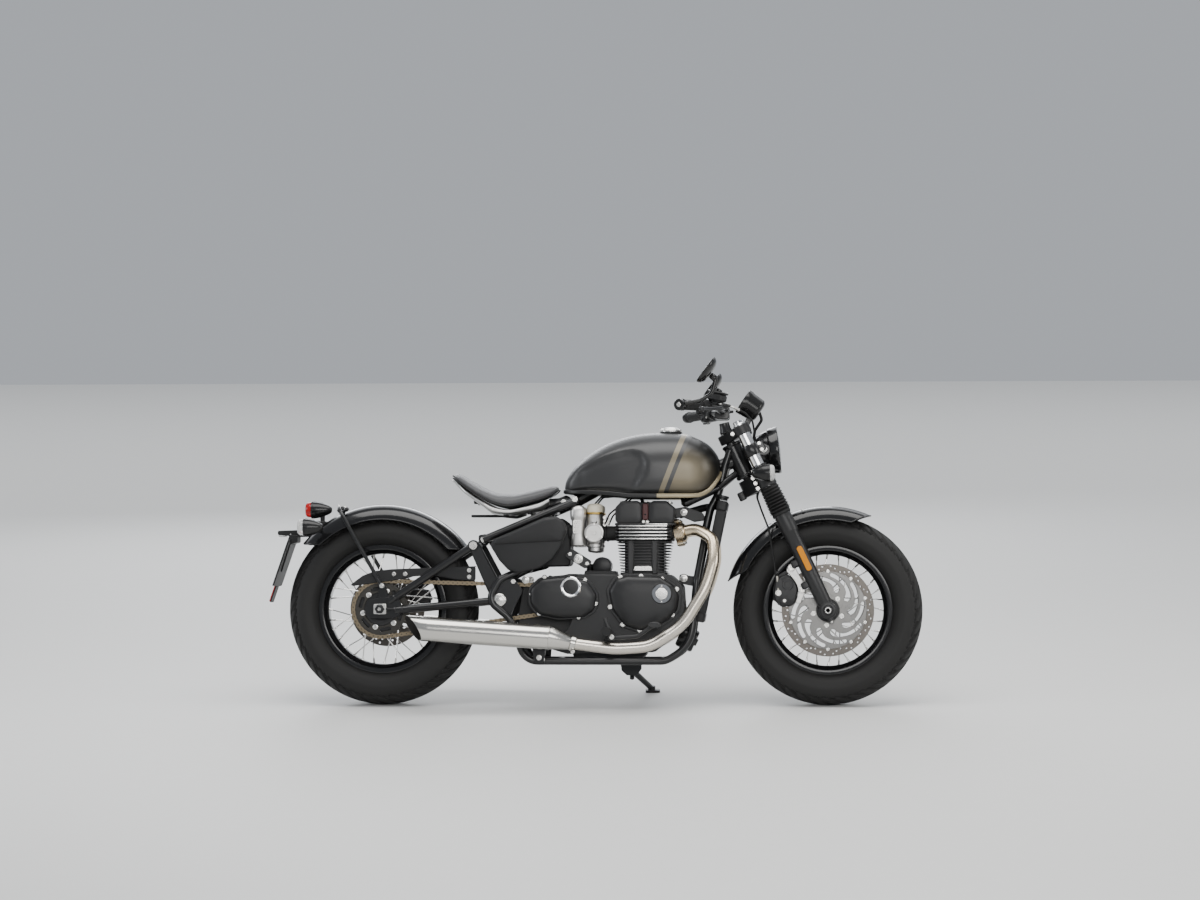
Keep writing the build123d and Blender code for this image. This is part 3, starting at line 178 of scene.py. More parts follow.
M = {}
M["gloss"] = material("gloss_black_paint", (0.006, 0.006, 0.0065), 0.20, 0.0, 0.0, 220, 0.05, coat=0.35, spec=0.3)
M["frame"] = material("frame_black_paint", (0.008, 0.008, 0.0085), 0.30, 0.0, 0.03, 260, 0.07, coat=0.22, spec=0.35)
M["engine"] = material("engine_satin_black", (0.012, 0.012, 0.0125), 0.40, 0.0, 0.10, 900, 0.10, spec=0.42)
M["cast"] = material("crinkle_black_casting", (0.016, 0.016, 0.017), 0.55, 0.0, 0.35, 700, 0.10, spec=0.4)
M["plastic"] = material("matt_black_plastic", (0.011, 0.011, 0.0115), 0.50, 0.0, 0.16, 1200, 0.10, spec=0.35)
M["glossy_plastic"] = material("gloss_black_plastic", (0.008, 0.008, 0.008), 0.22, 0.0, 0.02, 300, 0.06, spec=0.4)
M["rubber"] = material("black_rubber", (0.010, 0.010, 0.010), 0.60, 0.0, 0.2, 900, 0.08, spec=0.3)
M["tyre"] = material("tyre_rubber", (0.0125, 0.0122, 0.0118), 0.60, 0.0, 0.3, 500, 0.08, worn=0.7, spec=0.28)
M["alu"] = material("satin_cast_aluminium", (0.60, 0.59, 0.57), 0.40, 1.0, 0.14, 500, 0.12)
M["machined"] = material("machined_aluminium", (0.66, 0.65, 0.63), 0.26, 1.0, 0.02, 500, 0.08)
M["bolt"] = material("zinc_bolt_steel", (0.66, 0.65, 0.62), 0.27, 1.0, 0.05, 700, 0.10)
M["black_bolt"] = material("black_bolt_steel", (0.035, 0.035, 0.036), 0.35, 0.8, 0.06, 600, 0.10)
M["chrome"] = material("polished_chrome", (0.86, 0.86, 0.86), 0.09, 1.0, 0.0, 200, 0.05)
M["brushed"] = material("brushed_stainless", (0.56, 0.545, 0.51), 0.20, 1.0, 0.06, 260, 0.07, stretch=(0.06, 3.0, 3.0))
M["disc"] = material("ground_disc_steel", (0.115, 0.105, 0.095), 0.36, 1.0, 0.10, 420, 0.10)
M["carrier"] = material("disc_carrier_aluminium", (0.175, 0.172, 0.166), 0.30, 1.0, 0.08, 500, 0.10)
M["spoke"] = material("stainless_spoke", (0.66, 0.65, 0.63), 0.22, 1.0, 0.03, 500, 0.08)
M["chain"] = material("oiled_chain_steel", (0.21, 0.17, 0.115), 0.42, 0.9, 0.12, 500, 0.12, worn=0.65)
M["sprocket"] = material("sprocket_steel", (0.050, 0.047, 0.042), 0.40, 0.7, 0.08, 400, 0.10)
M["leather"] = material("grained_seat_cover", (0.050, 0.050, 0.052), 0.46, 0.0, 0.35, 300, 0.08, grain=900.0)
M["thread"] = material("seat_thread", (0.09, 0.09, 0.09), 0.7, 0.0, 0.2, 900, 0.05)
M["pan"] = material("silver_pan_paint", (0.50, 0.50, 0.49), 0.36, 0.85, 0.06, 700, 0.08, coat=0.2)
M["clear"] = material("clear_glass", (0.97, 0.98, 0.98), 0.03, 0.0, 0.0, 60, 0.01, worn=0.99, transmission=1.0, ior=1.25)
M["lens_white"] = material("clear_ribbed_lens", (0.88, 0.88, 0.86), 0.14, 0.0, 0.25, 260, 0.05, worn=0.97, transmission=0.55, ior=1.4)
M["lens_red"] = material("red_lens", (0.42, 0.008, 0.008), 0.16, 0.0, 0.15, 240, 0.05, transmission=0.35, ior=1.4)
M["amber"] = material("amber_reflector", (0.52, 0.185, 0.0), 0.34, 0.0, 0.25, 500, 0.06, grain=500.0, spec=0.2)
M["bulb"] = material("bulb_shield", (0.85, 0.84, 0.80), 0.2, 0.9, 0.0, 200, 0.05)
M["mirror"] = material("mirror_glass", (0.90, 0.91, 0.92), 0.02, 1.0, 0.0, 60, 0.01, worn=0.99)
M["cream"] = material("cream_plastic_cap", (0.62, 0.58, 0.46), 0.38, 0.0, 0.05, 500, 0.08)
M["gold"] = material("gold_zinc_ring", (0.62, 0.42, 0.12), 0.3, 1.0, 0.05, 500, 0.08)
M["darkred"] = material("dark_red_plug_cover", (0.045, 0.006, 0.006), 0.42, 0.0, 0.08, 500, 0.08)
M["core"] = material("radiator_core_black", (0.016, 0.016, 0.016), 0.5, 0.5, 0.2, 900, 0.1)
M["dial"] = material("dial_face_dark", (0.02, 0.02, 0.022), 0.45, 0.0, 0.03, 600, 0.06)
M["marks"] = material("dial_marks_white", (0.80, 0.80, 0.78), 0.5, 0.0, 0.02, 600, 0.05)
M["needle"] = material("needle_orange", (0.75, 0.14, 0.02), 0.4, 0.0, 0.02, 600, 0.05)
M["red"] = material("red_switch", (0.55, 0.012, 0.012), 0.4, 0.0, 0.05, 600, 0.06)
M["hose"] = material("grey_hose_end", (0.42, 0.40, 0.35), 0.45, 0.4, 0.05, 600, 0.08)
M["inside"] = material("sooty_pipe_inside", (0.020, 0.018, 0.016), 0.8, 0.3, 0.2, 400, 0.08)
M["ring_grey"] = material("anodised_grey_ring", (0.11, 0.115, 0.125), 0.36, 0.9, 0.05, 600, 0.08)
M["spring"] = material("shock_spring_black", (0.012, 0.012, 0.013), 0.22, 0.0, 0.03, 300, 0.05, coat=0.5)


def header_metal():
    """Stainless pipe, golden from heat at the port and plain silver further down."""
    m = material("heat_tinted_stainless", (0.60, 0.56, 0.50), 0.27, 1.0, 0.06, 420, 0.09)
    nt = m.node_tree
    shader = nt.nodes["Principled BSDF"]
    base = shader.inputs["Base Color"].links[0].from_socket
    split = nt.nodes.new("ShaderNodeSeparateXYZ")
    nt.links.new(upright(nt), split.inputs[0])
    warm = maths(nt, "MULTIPLY", maths(nt, "SUBTRACT", split.outputs[2], 0.25), 2.9, True)
    tint = mixed(nt, warm, (0.60, 0.56, 0.50), (0.62, 0.49, 0.31))
    blend_node = mixed(nt, 0.72, base, tint)
    nt.links.new(blend_node, shader.inputs["Base Color"])
    return m


def tank_metal():
    """Matt graphite with a leaning bronze stripe and a bronze front, darkened towards the edges of the front."""
    m = material("graphite_and_bronze_tank_paint", (0.030, 0.030, 0.0305), 0.40, 0.30, 0.03, 1500, 0.05, worn=0.97)
    nt = m.node_tree
    shader = nt.nodes["Principled BSDF"]
    shader.inputs["Coat Weight"].default_value = 0.22
    shader.inputs["Coat Roughness"].default_value = 0.28
    base = shader.inputs["Base Color"].links[0].from_socket
    split = nt.nodes.new("ShaderNodeSeparateXYZ")
    nt.links.new(upright(nt), split.inputs[0])
    x, z = split.outputs[0], split.outputs[2]
    q = maths(nt, "SUBTRACT", maths(nt, "SUBTRACT", x, 0.1837), maths(nt, "MULTIPLY", maths(nt, "SUBTRACT", z, 0.7093), 0.3914))
    first = maths(nt, "MULTIPLY", maths(nt, "GREATER_THAN", q, 0.0), maths(nt, "LESS_THAN", q, 0.018))
    field = maths(nt, "GREATER_THAN", q, 0.033)
    # the bronze grows darker with the distance from the middle of the front field, seen from the side
    dx = maths(nt, "DIVIDE", maths(nt, "SUBTRACT", x, 0.262), 0.118)
    dz = maths(nt, "DIVIDE", maths(nt, "SUBTRACT", z, 0.778), 0.088)
    far = maths(nt, "SQRT", maths(nt, "ADD", maths(nt, "MULTIPLY", dx, dx), maths(nt, "MULTIPLY", dz, dz)))
    dark = maths(nt, "MULTIPLY", maths(nt, "SUBTRACT", far, 0.42), 1.7, True)
    bronze = mixed(nt, dark, (0.150, 0.126, 0.082), (0.012, 0.0115, 0.0105))
    col = mixed(nt, first, base, (0.165, 0.140, 0.094))
    col = mixed(nt, field, col, bronze)
    nt.links.new(col, shader.inputs["Base Color"])
    return m


def seam_paint():
    """The tank's lower lip: dark at the back, bronze at the front."""
    m = material("tank_lip_paint", (0.020, 0.020, 0.020), 0.36, 0.35, 0.02, 900, 0.05)
    nt = m.node_tree
    shader = nt.nodes["Principled BSDF"]
    base = shader.inputs["Base Color"].links[0].from_socket
    split = nt.nodes.new("ShaderNodeSeparateXYZ")
    nt.links.new(upright(nt), split.inputs[0])
    front = maths(nt, "GREATER_THAN", split.outputs[0], 0.180)
    nt.links.new(mixed(nt, front, base, (0.27, 0.225, 0.14)), shader.inputs["Base Color"])
    return m


M["header"] = header_metal()
M["tank"] = tank_metal()
M["lip"] = seam_paint()


# ------------------------------------------------------------------ mesh helpers
def frame_of(axis, ref=None):
    axis = Vector(axis).normalized()
    ref = Vector(ref) if ref is not None else (YDIR if abs(axis.y) < 0.9 else XDIR)
    u = (ref - axis * ref.dot(axis)).normalized()
    return u, axis.cross(u)


def between(a, b, f):
    """The vector a turned by a share f of the way to b."""
    angle = a.angle(b)
    if angle < 1e-5:
        return a.lerp(b, f)
    return (a * math.sin((1 - f) * angle) + b * math.sin(f * angle)) / math.sin(angle)


def bend(points, radii, step=9):
    """The points joined by straight runs with round bends."""
    pts = [Vector(p) for p in points]
    if not hasattr(radii, "__len__"):
        radii = [radii] * (len(pts) - 2)
    out = [pts[0]]
    for i in range(1, len(pts) - 1):
        u, w = (pts[i - 1] - pts[i]), (pts[i + 1] - pts[i])
        limit = 0.48 * min(u.length, w.length)
        u.normalize()
        w.normalize()
        inside = u.angle(w)
        t = min(radii[i - 1] / math.tan(inside / 2), limit)
        r = t * math.tan(inside / 2)
        centre = pts[i] + (u + w).normalized() * (r / math.sin(inside / 2))
        a, b = pts[i] + u * t - centre, pts[i] + w * t - centre
        n = max(3, int(math.degrees(math.pi - inside) / step) + 1)
        for k in range(n + 1):
            out.append(centre + between(a, b, k / n))
    out.append(pts[-1])
    return out


def eased(points, step=6.0, rounds=14):
    """The line cut into short steps and evened out, so that its bends run into each other."""
    pts = [points[0]]
    for a, b in zip(points, points[1:]):
        n = max(1, round((b - a).length / step))
        pts += [a.lerp(b, k / n) for k in range(1, n + 1)]
    for _ in range(rounds):
        pts = [pts[0], pts[1]] + [(pts[i - 1] + pts[i] * 2 + pts[i + 1]) / 4 for i in range(2, len(pts) - 2)] + [pts[-2], pts[-1]]
    return pts


def flow(points, n=8):
    """A smooth line through the points."""
    p = [Vector(q) for q in points]
    p = [p[0] * 2 - p[1]] + p + [p[-1] * 2 - p[-2]]
    out = []
    for i in range(1, len(p) - 2):
        for k in range(n):
            t = k / n
            out.append(0.5 * ((2 * p[i]) + (p[i + 1] - p[i - 1]) * t + (2 * p[i - 1] - 5 * p[i] + 4 * p[i + 1] - p[i + 2]) * t * t
                              + (3 * p[i] - p[i - 1] - 3 * p[i + 1] + p[i + 2]) * t ** 3))
    out.append(p[-2])
    return out


def rounded(points, radius, n=4):
    """A closed 2-D outline with its corners rounded."""
    pts = [Vector((p[0], p[1], 0)) for p in points]
    out = []
    for i in range(len(pts)):
        a, b, c = pts[i - 1], pts[i], pts[(i + 1) % len(pts)]
        u, w = a - b, c - b
        limit = 0.46 * min(u.length, w.length)
        u.normalize()
        w.normalize()
        inside = u.angle(w)
        if inside > 3.0:
            out.append((b.x, b.y))
            continue
        t = min(radius / math.tan(inside / 2), limit)
        r = t * math.tan(inside / 2)
        centre = b + (u + w).normalized() * (r / math.sin(inside / 2))
        s, e = b + u * t - centre, b + w * t - centre
        for k in range(n + 1):
            q = centre + between(s, e, k / n)
            out.append((q.x, q.y))
    return out


def circle(cx, cy, r, n=24, start=0.0):
    return [(cx + r * math.cos(start + 2 * math.pi * k / n), cy + r * math.sin(start + 2 * math.pi * k / n)) for k in range(n)]


def table(rows):
    """A smooth curve through (x, value) rows that doesn't overshoot, as a function of x."""
    xs, ys = np.array([r[0] for r in rows], float), np.array([r[1] for r in rows], float)
    h, d = np.diff(xs), np.diff(ys) / np.diff(xs)
    s = np.zeros(len(xs))
    for i in range(1, len(xs) - 1):
        if d[i - 1] * d[i] > 0:
            s[i] = 3 * (h[i - 1] + h[i]) / ((2 * h[i] + h[i - 1]) / d[i - 1] + (h[i] + 2 * h[i - 1]) / d[i])
    s[0], s[-1] = d[0], d[-1]

    def at(x):
        x = np.clip(x, xs[0], xs[-1])
        i = np.clip(np.searchsorted(xs, x) - 1, 0, len(h) - 1)
        t = (x - xs[i]) / h[i]
        return ((1 + 2 * t) * (1 - t) ** 2 * ys[i] + t * (1 - t) ** 2 * h[i] * s[i]
                + t * t * (3 - 2 * t) * ys[i + 1] + t * t * (t - 1) * h[i] * s[i + 1])
    return at


class Shape:
    """Mesh pieces in the upright bike's millimetres, gathered into one object."""

    def __init__(self):
        self.v, self.f, self.m = [], [], []

    def put(self, verts, faces, m=0):
        k = len(self.v)
        self.v.extend(tuple(p) for p in verts)
        self.f.extend(tuple(i + k for i in f) for f in faces)
        self.m.extend([m] * len(faces))

    def skin(self, loops, m=0, closed=True, caps=True):
        n, faces = len(loops[0]), []
        for i in range(len(loops) - 1):
            for j in range(n if closed else n - 1):
                a, b = i * n + j, i * n + (j + 1) % n
                faces.append((a, b, b + n, a + n))
        if caps:
            faces.append(tuple(range(n))[::-1])
            faces.append(tuple(range((len(loops) - 1) * n, len(loops) * n)))
        self.put([p for l in loops for p in l], faces, m)

    def lathe(self, prof, origin, axis, m=0, n=36, ring=False, ref=None):
        """prof is (along, radius) rows; ring closes the profile on itself."""
        u, w = frame_of(axis, ref)
        axis, origin = Vector(axis).normalized(), Vector(origin)
        verts, rows = [], []
        for a, r in prof:
            if abs(r) < 1e-6:
                rows.append([len(verts)])
                verts.append(origin + axis * a)
            else:
                rows.append(list(range(len(verts), len(verts) + n)))
                verts.extend(origin + axis * a + (u * math.cos(2 * math.pi * k / n) + w * math.sin(2 * math.pi * k / n)) * r for k in range(n))
        faces = []
        pairs = list(zip(rows, rows[1:])) + ([(rows[-1], rows[0])] if ring else [])
        for p, q in pairs:
            for k in range(n):
                j = (k + 1) % n
                if len(p) == 1 and len(q) == 1:
                    continue
                if len(p) == 1:
                    faces.append((p[0], q[k], q[j]))
                elif len(q) == 1:
                    faces.append((p[k], p[j], q[0]))
                else:
                    faces.append((p[k], p[j], q[j], q[k]))
        if not ring:
            for row in (rows[0], rows[-1]):
                if len(row) > 1:
                    faces.append(tuple(row))
        self.put(verts, faces, m)

    def rod(self, a, b, r, r2=None, m=0, n=24, edge=0.8):
        a, b = Vector(a), Vector(b)
        length = (b - a).length
        r2 = r if r2 is None else r2
        e = min(edge, r * 0.4, length * 0.3)
        self.lathe([(0, r - e), (e, r), (length - e, r2), (length, r2 - e)], a, b - a, m, n)

    def tube(self, pts, r, m=0, n=14, wide=None, ref=None):
        """A tube along a line; r is one radius or one for each point, wide makes it oval."""
        pts = [Vector(p) for p in pts]
        keep = [pts[0]]
        for p in pts[1:]:
            if (p - keep[-1]).length > 1e-3:
                keep.append(p)
        pts = keep
        rs = list(r) if hasattr(r, "__len__") else [r] * len(pts)
        tangent = (pts[1] - pts[0]).normalized()
        u, w = frame_of(tangent, ref)
        loops = []
        for i, p in enumerate(pts):
            new = (pts[min(i + 1, len(pts) - 1)] - pts[max(i - 1, 0)]).normalized()
            turn = tangent.rotation_difference(new)
            u.rotate(turn)
            w.rotate(turn)
            tangent = new
            rr = rs[min(i, len(rs) - 1)]
            loops.append([p + u * math.cos(2 * math.pi * k / n) * rr * (wide or 1) + w * math.sin(2 * math.pi * k / n) * rr for k in range(n)])
        self.skin(loops, m)

    def plate(self, outline, origin, ux, uy, depth, m=0, edge=0.8, lean=None):
        """A plate with the outline in the plane of ux and uy, depth thick along their normal, with small chamfers."""
        origin, ux, uy = Vector(origin), Vector(ux).normalized(), Vector(uy).normalized()
        n = ux.cross(uy)
        small = inset(outline, edge)
        loops = [[origin + ux * x + uy * y + n * d for x, y in pts]
                 for pts, d in ((small, 0), (outline, edge), (outline, depth - edge), (small, depth))]
        self.skin(loops, m)

    def slab(self, outline, low, high, m=0, edge=0.8):
        """A plate with the outline in X and Z, between two lateral places."""
        low, high = sorted((low, high))
        small = inset(outline, edge)
        self.skin([[(x, y, z) for x, z in pts] for pts, y in ((small, low), (outline, low + edge), (outline, high - edge), (small, high))], m)

    def box(self, centre, size, m=0, edge=1.0, ux=XDIR, uz=ZDIR):
        ux, uz = Vector(ux).normalized(), Vector(uz).normalized()
        a, b, c = size
        ring = rounded([(-a / 2, -b / 2), (a / 2, -b / 2), (a / 2, b / 2), (-a / 2, b / 2)], min(edge * 2.5, a * 0.3, b * 0.3), 3)
        self.plate(ring, Vector(centre) - uz * (c / 2), ux, uz.cross(ux), c, m, edge)

    def bolt(self, at, out, r=6.0, h=5.0, m=0, kind="socket"):
        at, out = Vector(at), Vector(out).normalized()
        if kind == "hex":
            self.lathe([(0, r * 1.25), (1.2, r * 1.25), (1.6, r * 1.1)], at, out, m, 20)
            self.lathe([(1.2, r * 1.02), (h - 0.8, r * 1.02), (h, r * 0.86), (h, 0)], at, out, m, 6)
        elif kind == "dome":
            self.lathe([(0, r), (h * 0.4, r), (h * 0.8, r * 0.72), (h, r * 0.3), (h * 0.98, 0)], at, out, m, 20)
        else:
            self.lathe([(0, r * 1.18), (0.8, r * 1.18), (0.8, r), (h - 0.7, r), (h, r - 0.7), (h, r * 0.55), (h * 0.35, r * 0.5), (h * 0.35, 0)], at, out, m, 18)

    def done(self, name, body, mats, replaces=(), slot=None, sharp=38, smooth=0, bevel=0.0):
        me = bpy.data.meshes.new(name)
        me.from_pydata(self.v, [], self.f)
        me.validate()
        bm = bmesh.new()
        bm.from_mesh(me)
        bmesh.ops.recalc_face_normals(bm, faces=bm.faces)
        bm.to_mesh(me)
        bm.free()
        me.transform(PARKED)
        me.polygons.foreach_set("use_smooth", [True] * len(me.polygons))
        me.set_sharp_from_angle(angle=math.radians(sharp))
        o = bpy.data.objects.new(name, me)
        bpy.context.scene.collection.objects.link(o)
        for k in mats:
            me.materials.append(M[k])
        if len(me.polygons) == len(self.m):
            me.polygons.foreach_set("material_index", self.m)
        if bevel:
            mod = o.modifiers.new("edge", "BEVEL")
            mod.width, mod.segments, mod.limit_method, mod.angle_limit = bevel / 1000, 2, "ANGLE", math.radians(42)
        if smooth:
            mod = o.modifiers.new("round", "SUBSURF")
            mod.levels = mod.render_levels = smooth
        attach(o, body)
        if replaces:
            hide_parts(*replaces)
        return o


def inset(outline, d):
    """A closed 2-D outline drawn in by d."""
    n, area = len(outline), 0.0
    for i in range(n):
        (x0, y0), (x1, y1) = outline[i - 1], outline[i]
        area += x0 * y1 - x1 * y0
    sign = 1 if area > 0 else -1
    out = []
    for i in range(n):
        a, b, c = Vector(outline[i - 1]), Vector(outline[i]), Vector(outline[(i + 1) % n])
        u, w = (b - a), (c - b)
        if u.length < 1e-6:
            u = w
        if w.length < 1e-6:
            w = u
        u, w = u.normalized(), w.normalized()
        nu, nw = Vector((-u.y, u.x)) * sign, Vector((-w.y, w.x)) * sign
        k = nu + nw
        if k.length < 1e-6:
            out.append(tuple(b))
            continue
        k.normalize()
        out.append(tuple(b + k * (d / max(0.45, k.dot(nu)))))
    return out


def pierced(outline, holes, depth, edge=0.6):
    """A flat plate with holes as (vertices, faces) in its own plane, depth thick from z = 0."""
    cu = bpy.data.curves.new("plate_outline", "CURVE")
    cu.dimensions, cu.fill_mode = "2D", "BOTH"
    cu.extrude, cu.bevel_depth, cu.bevel_resolution = depth / 2 - edge, edge, 0
    cu.offset = -edge
    for ring in [outline, *holes]:
        sp = cu.splines.new("POLY")
        sp.points.add(len(ring) - 1)
        for k, (x, y) in enumerate(ring):
            sp.points[k].co = (x, y, 0, 1)
        sp.use_cyclic_u = True
    o = bpy.data.objects.new("plate_outline", cu)
    bpy.context.scene.collection.objects.link(o)
    me = bpy.data.meshes.new_from_object(o.evaluated_get(bpy.context.evaluated_depsgraph_get()))
    bm = bmesh.new()
    bm.from_mesh(me)
    bmesh.ops.remove_doubles(bm, verts=bm.verts, dist=0.01)
    bm.to_mesh(me)
    bm.free()
    verts = [(v.co.x, v.co.y, v.co.z + depth / 2) for v in me.vertices]
    faces = [tuple(p.vertices) for p in me.polygons]
    bpy.data.objects.remove(o)
    bpy.data.curves.remove(cu)
    bpy.data.meshes.remove(me)
    return verts, faces


def placed(flat, origin, ux, uy, uz):
    """Flat vertices into space, with their own x, y and z along the given directions."""
    origin, ux, uy, uz = Vector(origin), Vector(ux), Vector(uy), Vector(uz)
    return [origin + ux * x + uy * y + uz * z for x, y, z in flat]


def cad_look(name, mat, sharp=30):
    """A CAD node that stays as it is, with a better material and smooth shading."""
    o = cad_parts[name]
    o.data.materials.clear()
    o.data.materials.append(M[mat])
    o.data.polygons.foreach_set("use_smooth", [True] * len(o.data.polygons))
    o.data.set_sharp_from_angle(angle=math.radians(sharp))


LOOKS = {
    "frame_backbone": "frame", "frame_cradle": "frame", "crankcase": "engine", "cylinder_block": "engine", "cylinder_head": "engine",
    "cam_cover": "engine", "engine_covers": "engine", "throttle_bodies": "alu", "side_panels": "plastic", "radiator": "core",
    "exhaust_headers": "header", "mufflers": "brushed", "fuel_tank": "tank", "fuel_cap": "machined", "seat_pad": "leather",
    "seat_pan": "pan", "swingarm": "frame", "rear_shock": "spring", "rear_axle": "bolt", "drive_chain": "chain", "chain_guard": "plastic",
    "rear_fender": "gloss", "rear_lights": "glossy_plastic", "plate_holder": "plastic", "rear_caliper": "engine", "foot_controls": "engine",
    "front_axle": "bolt", "fork_sliders": "engine", "fork_gaiters": "rubber", "fork_tubes": "chrome", "triple_clamps": "engine",
    "lamp_brackets": "frame", "handlebar": "frame", "grips": "rubber", "hand_controls": "engine", "mirrors": "glossy_plastic",
    "instrument": "glossy_plastic", "headlight": "gloss", "headlight_glass": "clear", "front_indicators": "glossy_plastic",
    "front_calipers": "engine", "front_fender": "gloss", "brake_hoses": "rubber", "front_tyre": "tyre", "front_rim": "gloss",
    "front_spokes": "spoke", "front_hub": "engine", "front_discs": "disc", "rear_tyre": "tyre", "rear_rim": "gloss", "rear_spokes": "spoke",
    "rear_hub": "engine", "rear_disc": "disc", "rear_sprocket": "sprocket", "side_stand": "frame",
}
for node, look in LOOKS.items():
    cad_look(node, look)


# ------------------------------------------------------------------ wheels
def arc3(a, b, c, n):
    """Points on the circle through three 2-D points, from a to c."""
    (x1, y1), (x2, y2), (x3, y3) = a, b, c
    d = 2 * (x1 * (y2 - y3) + x2 * (y3 - y1) + x3 * (y1 - y2))
    ux = ((x1 ** 2 + y1 ** 2) * (y2 - y3) + (x2 ** 2 + y2 ** 2) * (y3 - y1) + (x3 ** 2 + y3 ** 2) * (y1 - y2)) / d
    uy = ((x1 ** 2 + y1 ** 2) * (x3 - x2) + (x2 ** 2 + y2 ** 2) * (x1 - x3) + (x3 ** 2 + y3 ** 2) * (x2 - x1)) / d
    r = math.hypot(x1 - ux, y1 - uy)
    t1, t2, t3 = (math.atan2(y - uy, x - ux) for x, y in (a, b, c))
    while t2 - t1 > math.pi:
        t2 -= 2 * math.pi
    while t2 - t1 < -math.pi:
        t2 += 2 * math.pi
    while t3 - t2 > math.pi:
        t3 -= 2 * math.pi
    while t3 - t2 < -math.pi:
        t3 += 2 * math.pi
    return [(ux + r * math.cos(t1 + (t3 - t1) * k / n), uy + r * math.sin(t1 + (t3 - t1) * k / n)) for k in range(n + 1)]


def groove_lines(half, front):
    """Centre lines of one pitch of tread grooves: (along, across) in mm, and half the groove's width."""
    lines = []
    for side in BOTH:
        lines.append(([(2 + 80 * f, side * (half - 3 - (half - 22) * f ** 1.6)) for f in np.linspace(0, 1, 26)], 3.3))
        lines.append(([(28 + 26 * f, side * (half - 2 - 13 * f)) for f in np.linspace(0, 1, 9)], 1.6))
        lines.append(([(6 + 40 * f, side * (4 + 11 * f)) for f in np.linspace(0, 1, 14)], 1.9))
    return lines


def tyre(name, axle, outer, half, shoulder, bead, body):
    """A tyre from bead to bead with a cut tread, sidewall ribs and an inner face."""
    side = arc3((217, bead), (252, half), (290, shoulder), 14)
    side = [(r + 0.0, y + (0.9 if 256 < r < 262 or 236 < r < 238.5 else 0)) for r, y in side]
    crown = arc3((290, shoulder), (outer, 0), (290, -shoulder), 54)
    prof = [(205.4, bead - 9), (205.2, bead - 0.4), (209, bead + 0.6), (214, bead + 0.4)] + side + crown[1:-1] + [(r, -y) for r, y in side[::-1]] \
        + [(214, -bead - 0.4), (209, -bead - 0.6), (205.2, -bead + 0.4), (205.4, -bead + 9)]
    prof += [(240, -half + 14), (outer - 22, -shoulder + 22), (outer - 13, 0), (outer - 22, shoulder - 22), (240, half - 14)]
    segs = 640
    pitch = 2 * math.pi * outer / 42
    r0, y0 = np.array([p[0] for p in prof]), np.array([p[1] for p in prof])
    first = 4 + len(side) - 1
    tread = np.arange(first, first + 55)
    # distance along the section, zero on the crown
    step = np.hypot(np.diff(r0), np.diff(y0))
    s = np.concatenate([[0], np.cumsum(step)])
    across = s - (s[first] + s[first + 54]) / 2
    half_arc = (s[first + 54] - s[first]) / 2
    theta = np.arange(segs) * 2 * math.pi / segs
    depth = np.zeros((segs, len(prof)))
    along = (theta * outer)[:, None]
    aw = across[tread][None, :]
    for line, wide in groove_lines(half_arc, body == "front_wheel"):
        for gs, gw in line:
            ds = (along - gs + pitch / 2) % pitch - pitch / 2
            d2 = ds ** 2 + (aw - gw) ** 2
            near = np.clip((wide + 1.3 - np.sqrt(d2)) / 1.7, 0, 1)
            depth[:, tread] = np.maximum(depth[:, tread], near * 5.6)
    edge = np.clip((half_arc + 1 - np.abs(aw)) / 3, 0, 1)
    depth[:, tread] *= edge
    # the relief goes square to the tread
    nr, ny = np.gradient(y0), -np.gradient(r0)
    length = np.hypot(nr, ny) + 1e-9
    nr, ny = -nr / length, -ny / length
    r = r0[None, :] - depth * np.abs(nr)[None, :]
    y = y0[None, :] - depth * ny[None, :] * np.sign(1)
    verts = np.stack([axle.x + r * np.cos(theta)[:, None], axle.y + y, axle.z + r * np.sin(theta)[:, None]], axis=2).reshape(-1, 3)
    n = len(prof)
    i, j = np.meshgrid(np.arange(segs), np.arange(n), indexing="ij")
    a, b = i * n + j, i * n + (j + 1) % n
    c, d = ((i + 1) % segs) * n + (j + 1) % n, ((i + 1) % segs) * n + j
    faces = np.stack([a, b, c, d], axis=2).reshape(-1, 4)
    sh = Shape()
    sh.v, sh.f, sh.m = verts.tolist(), faces.tolist(), [0] * len(faces)
    sh.done(f"{name}_tyre_cut_tread", body, ["tyre"], [f"{name}_tyre"], "tyre", sharp=34)


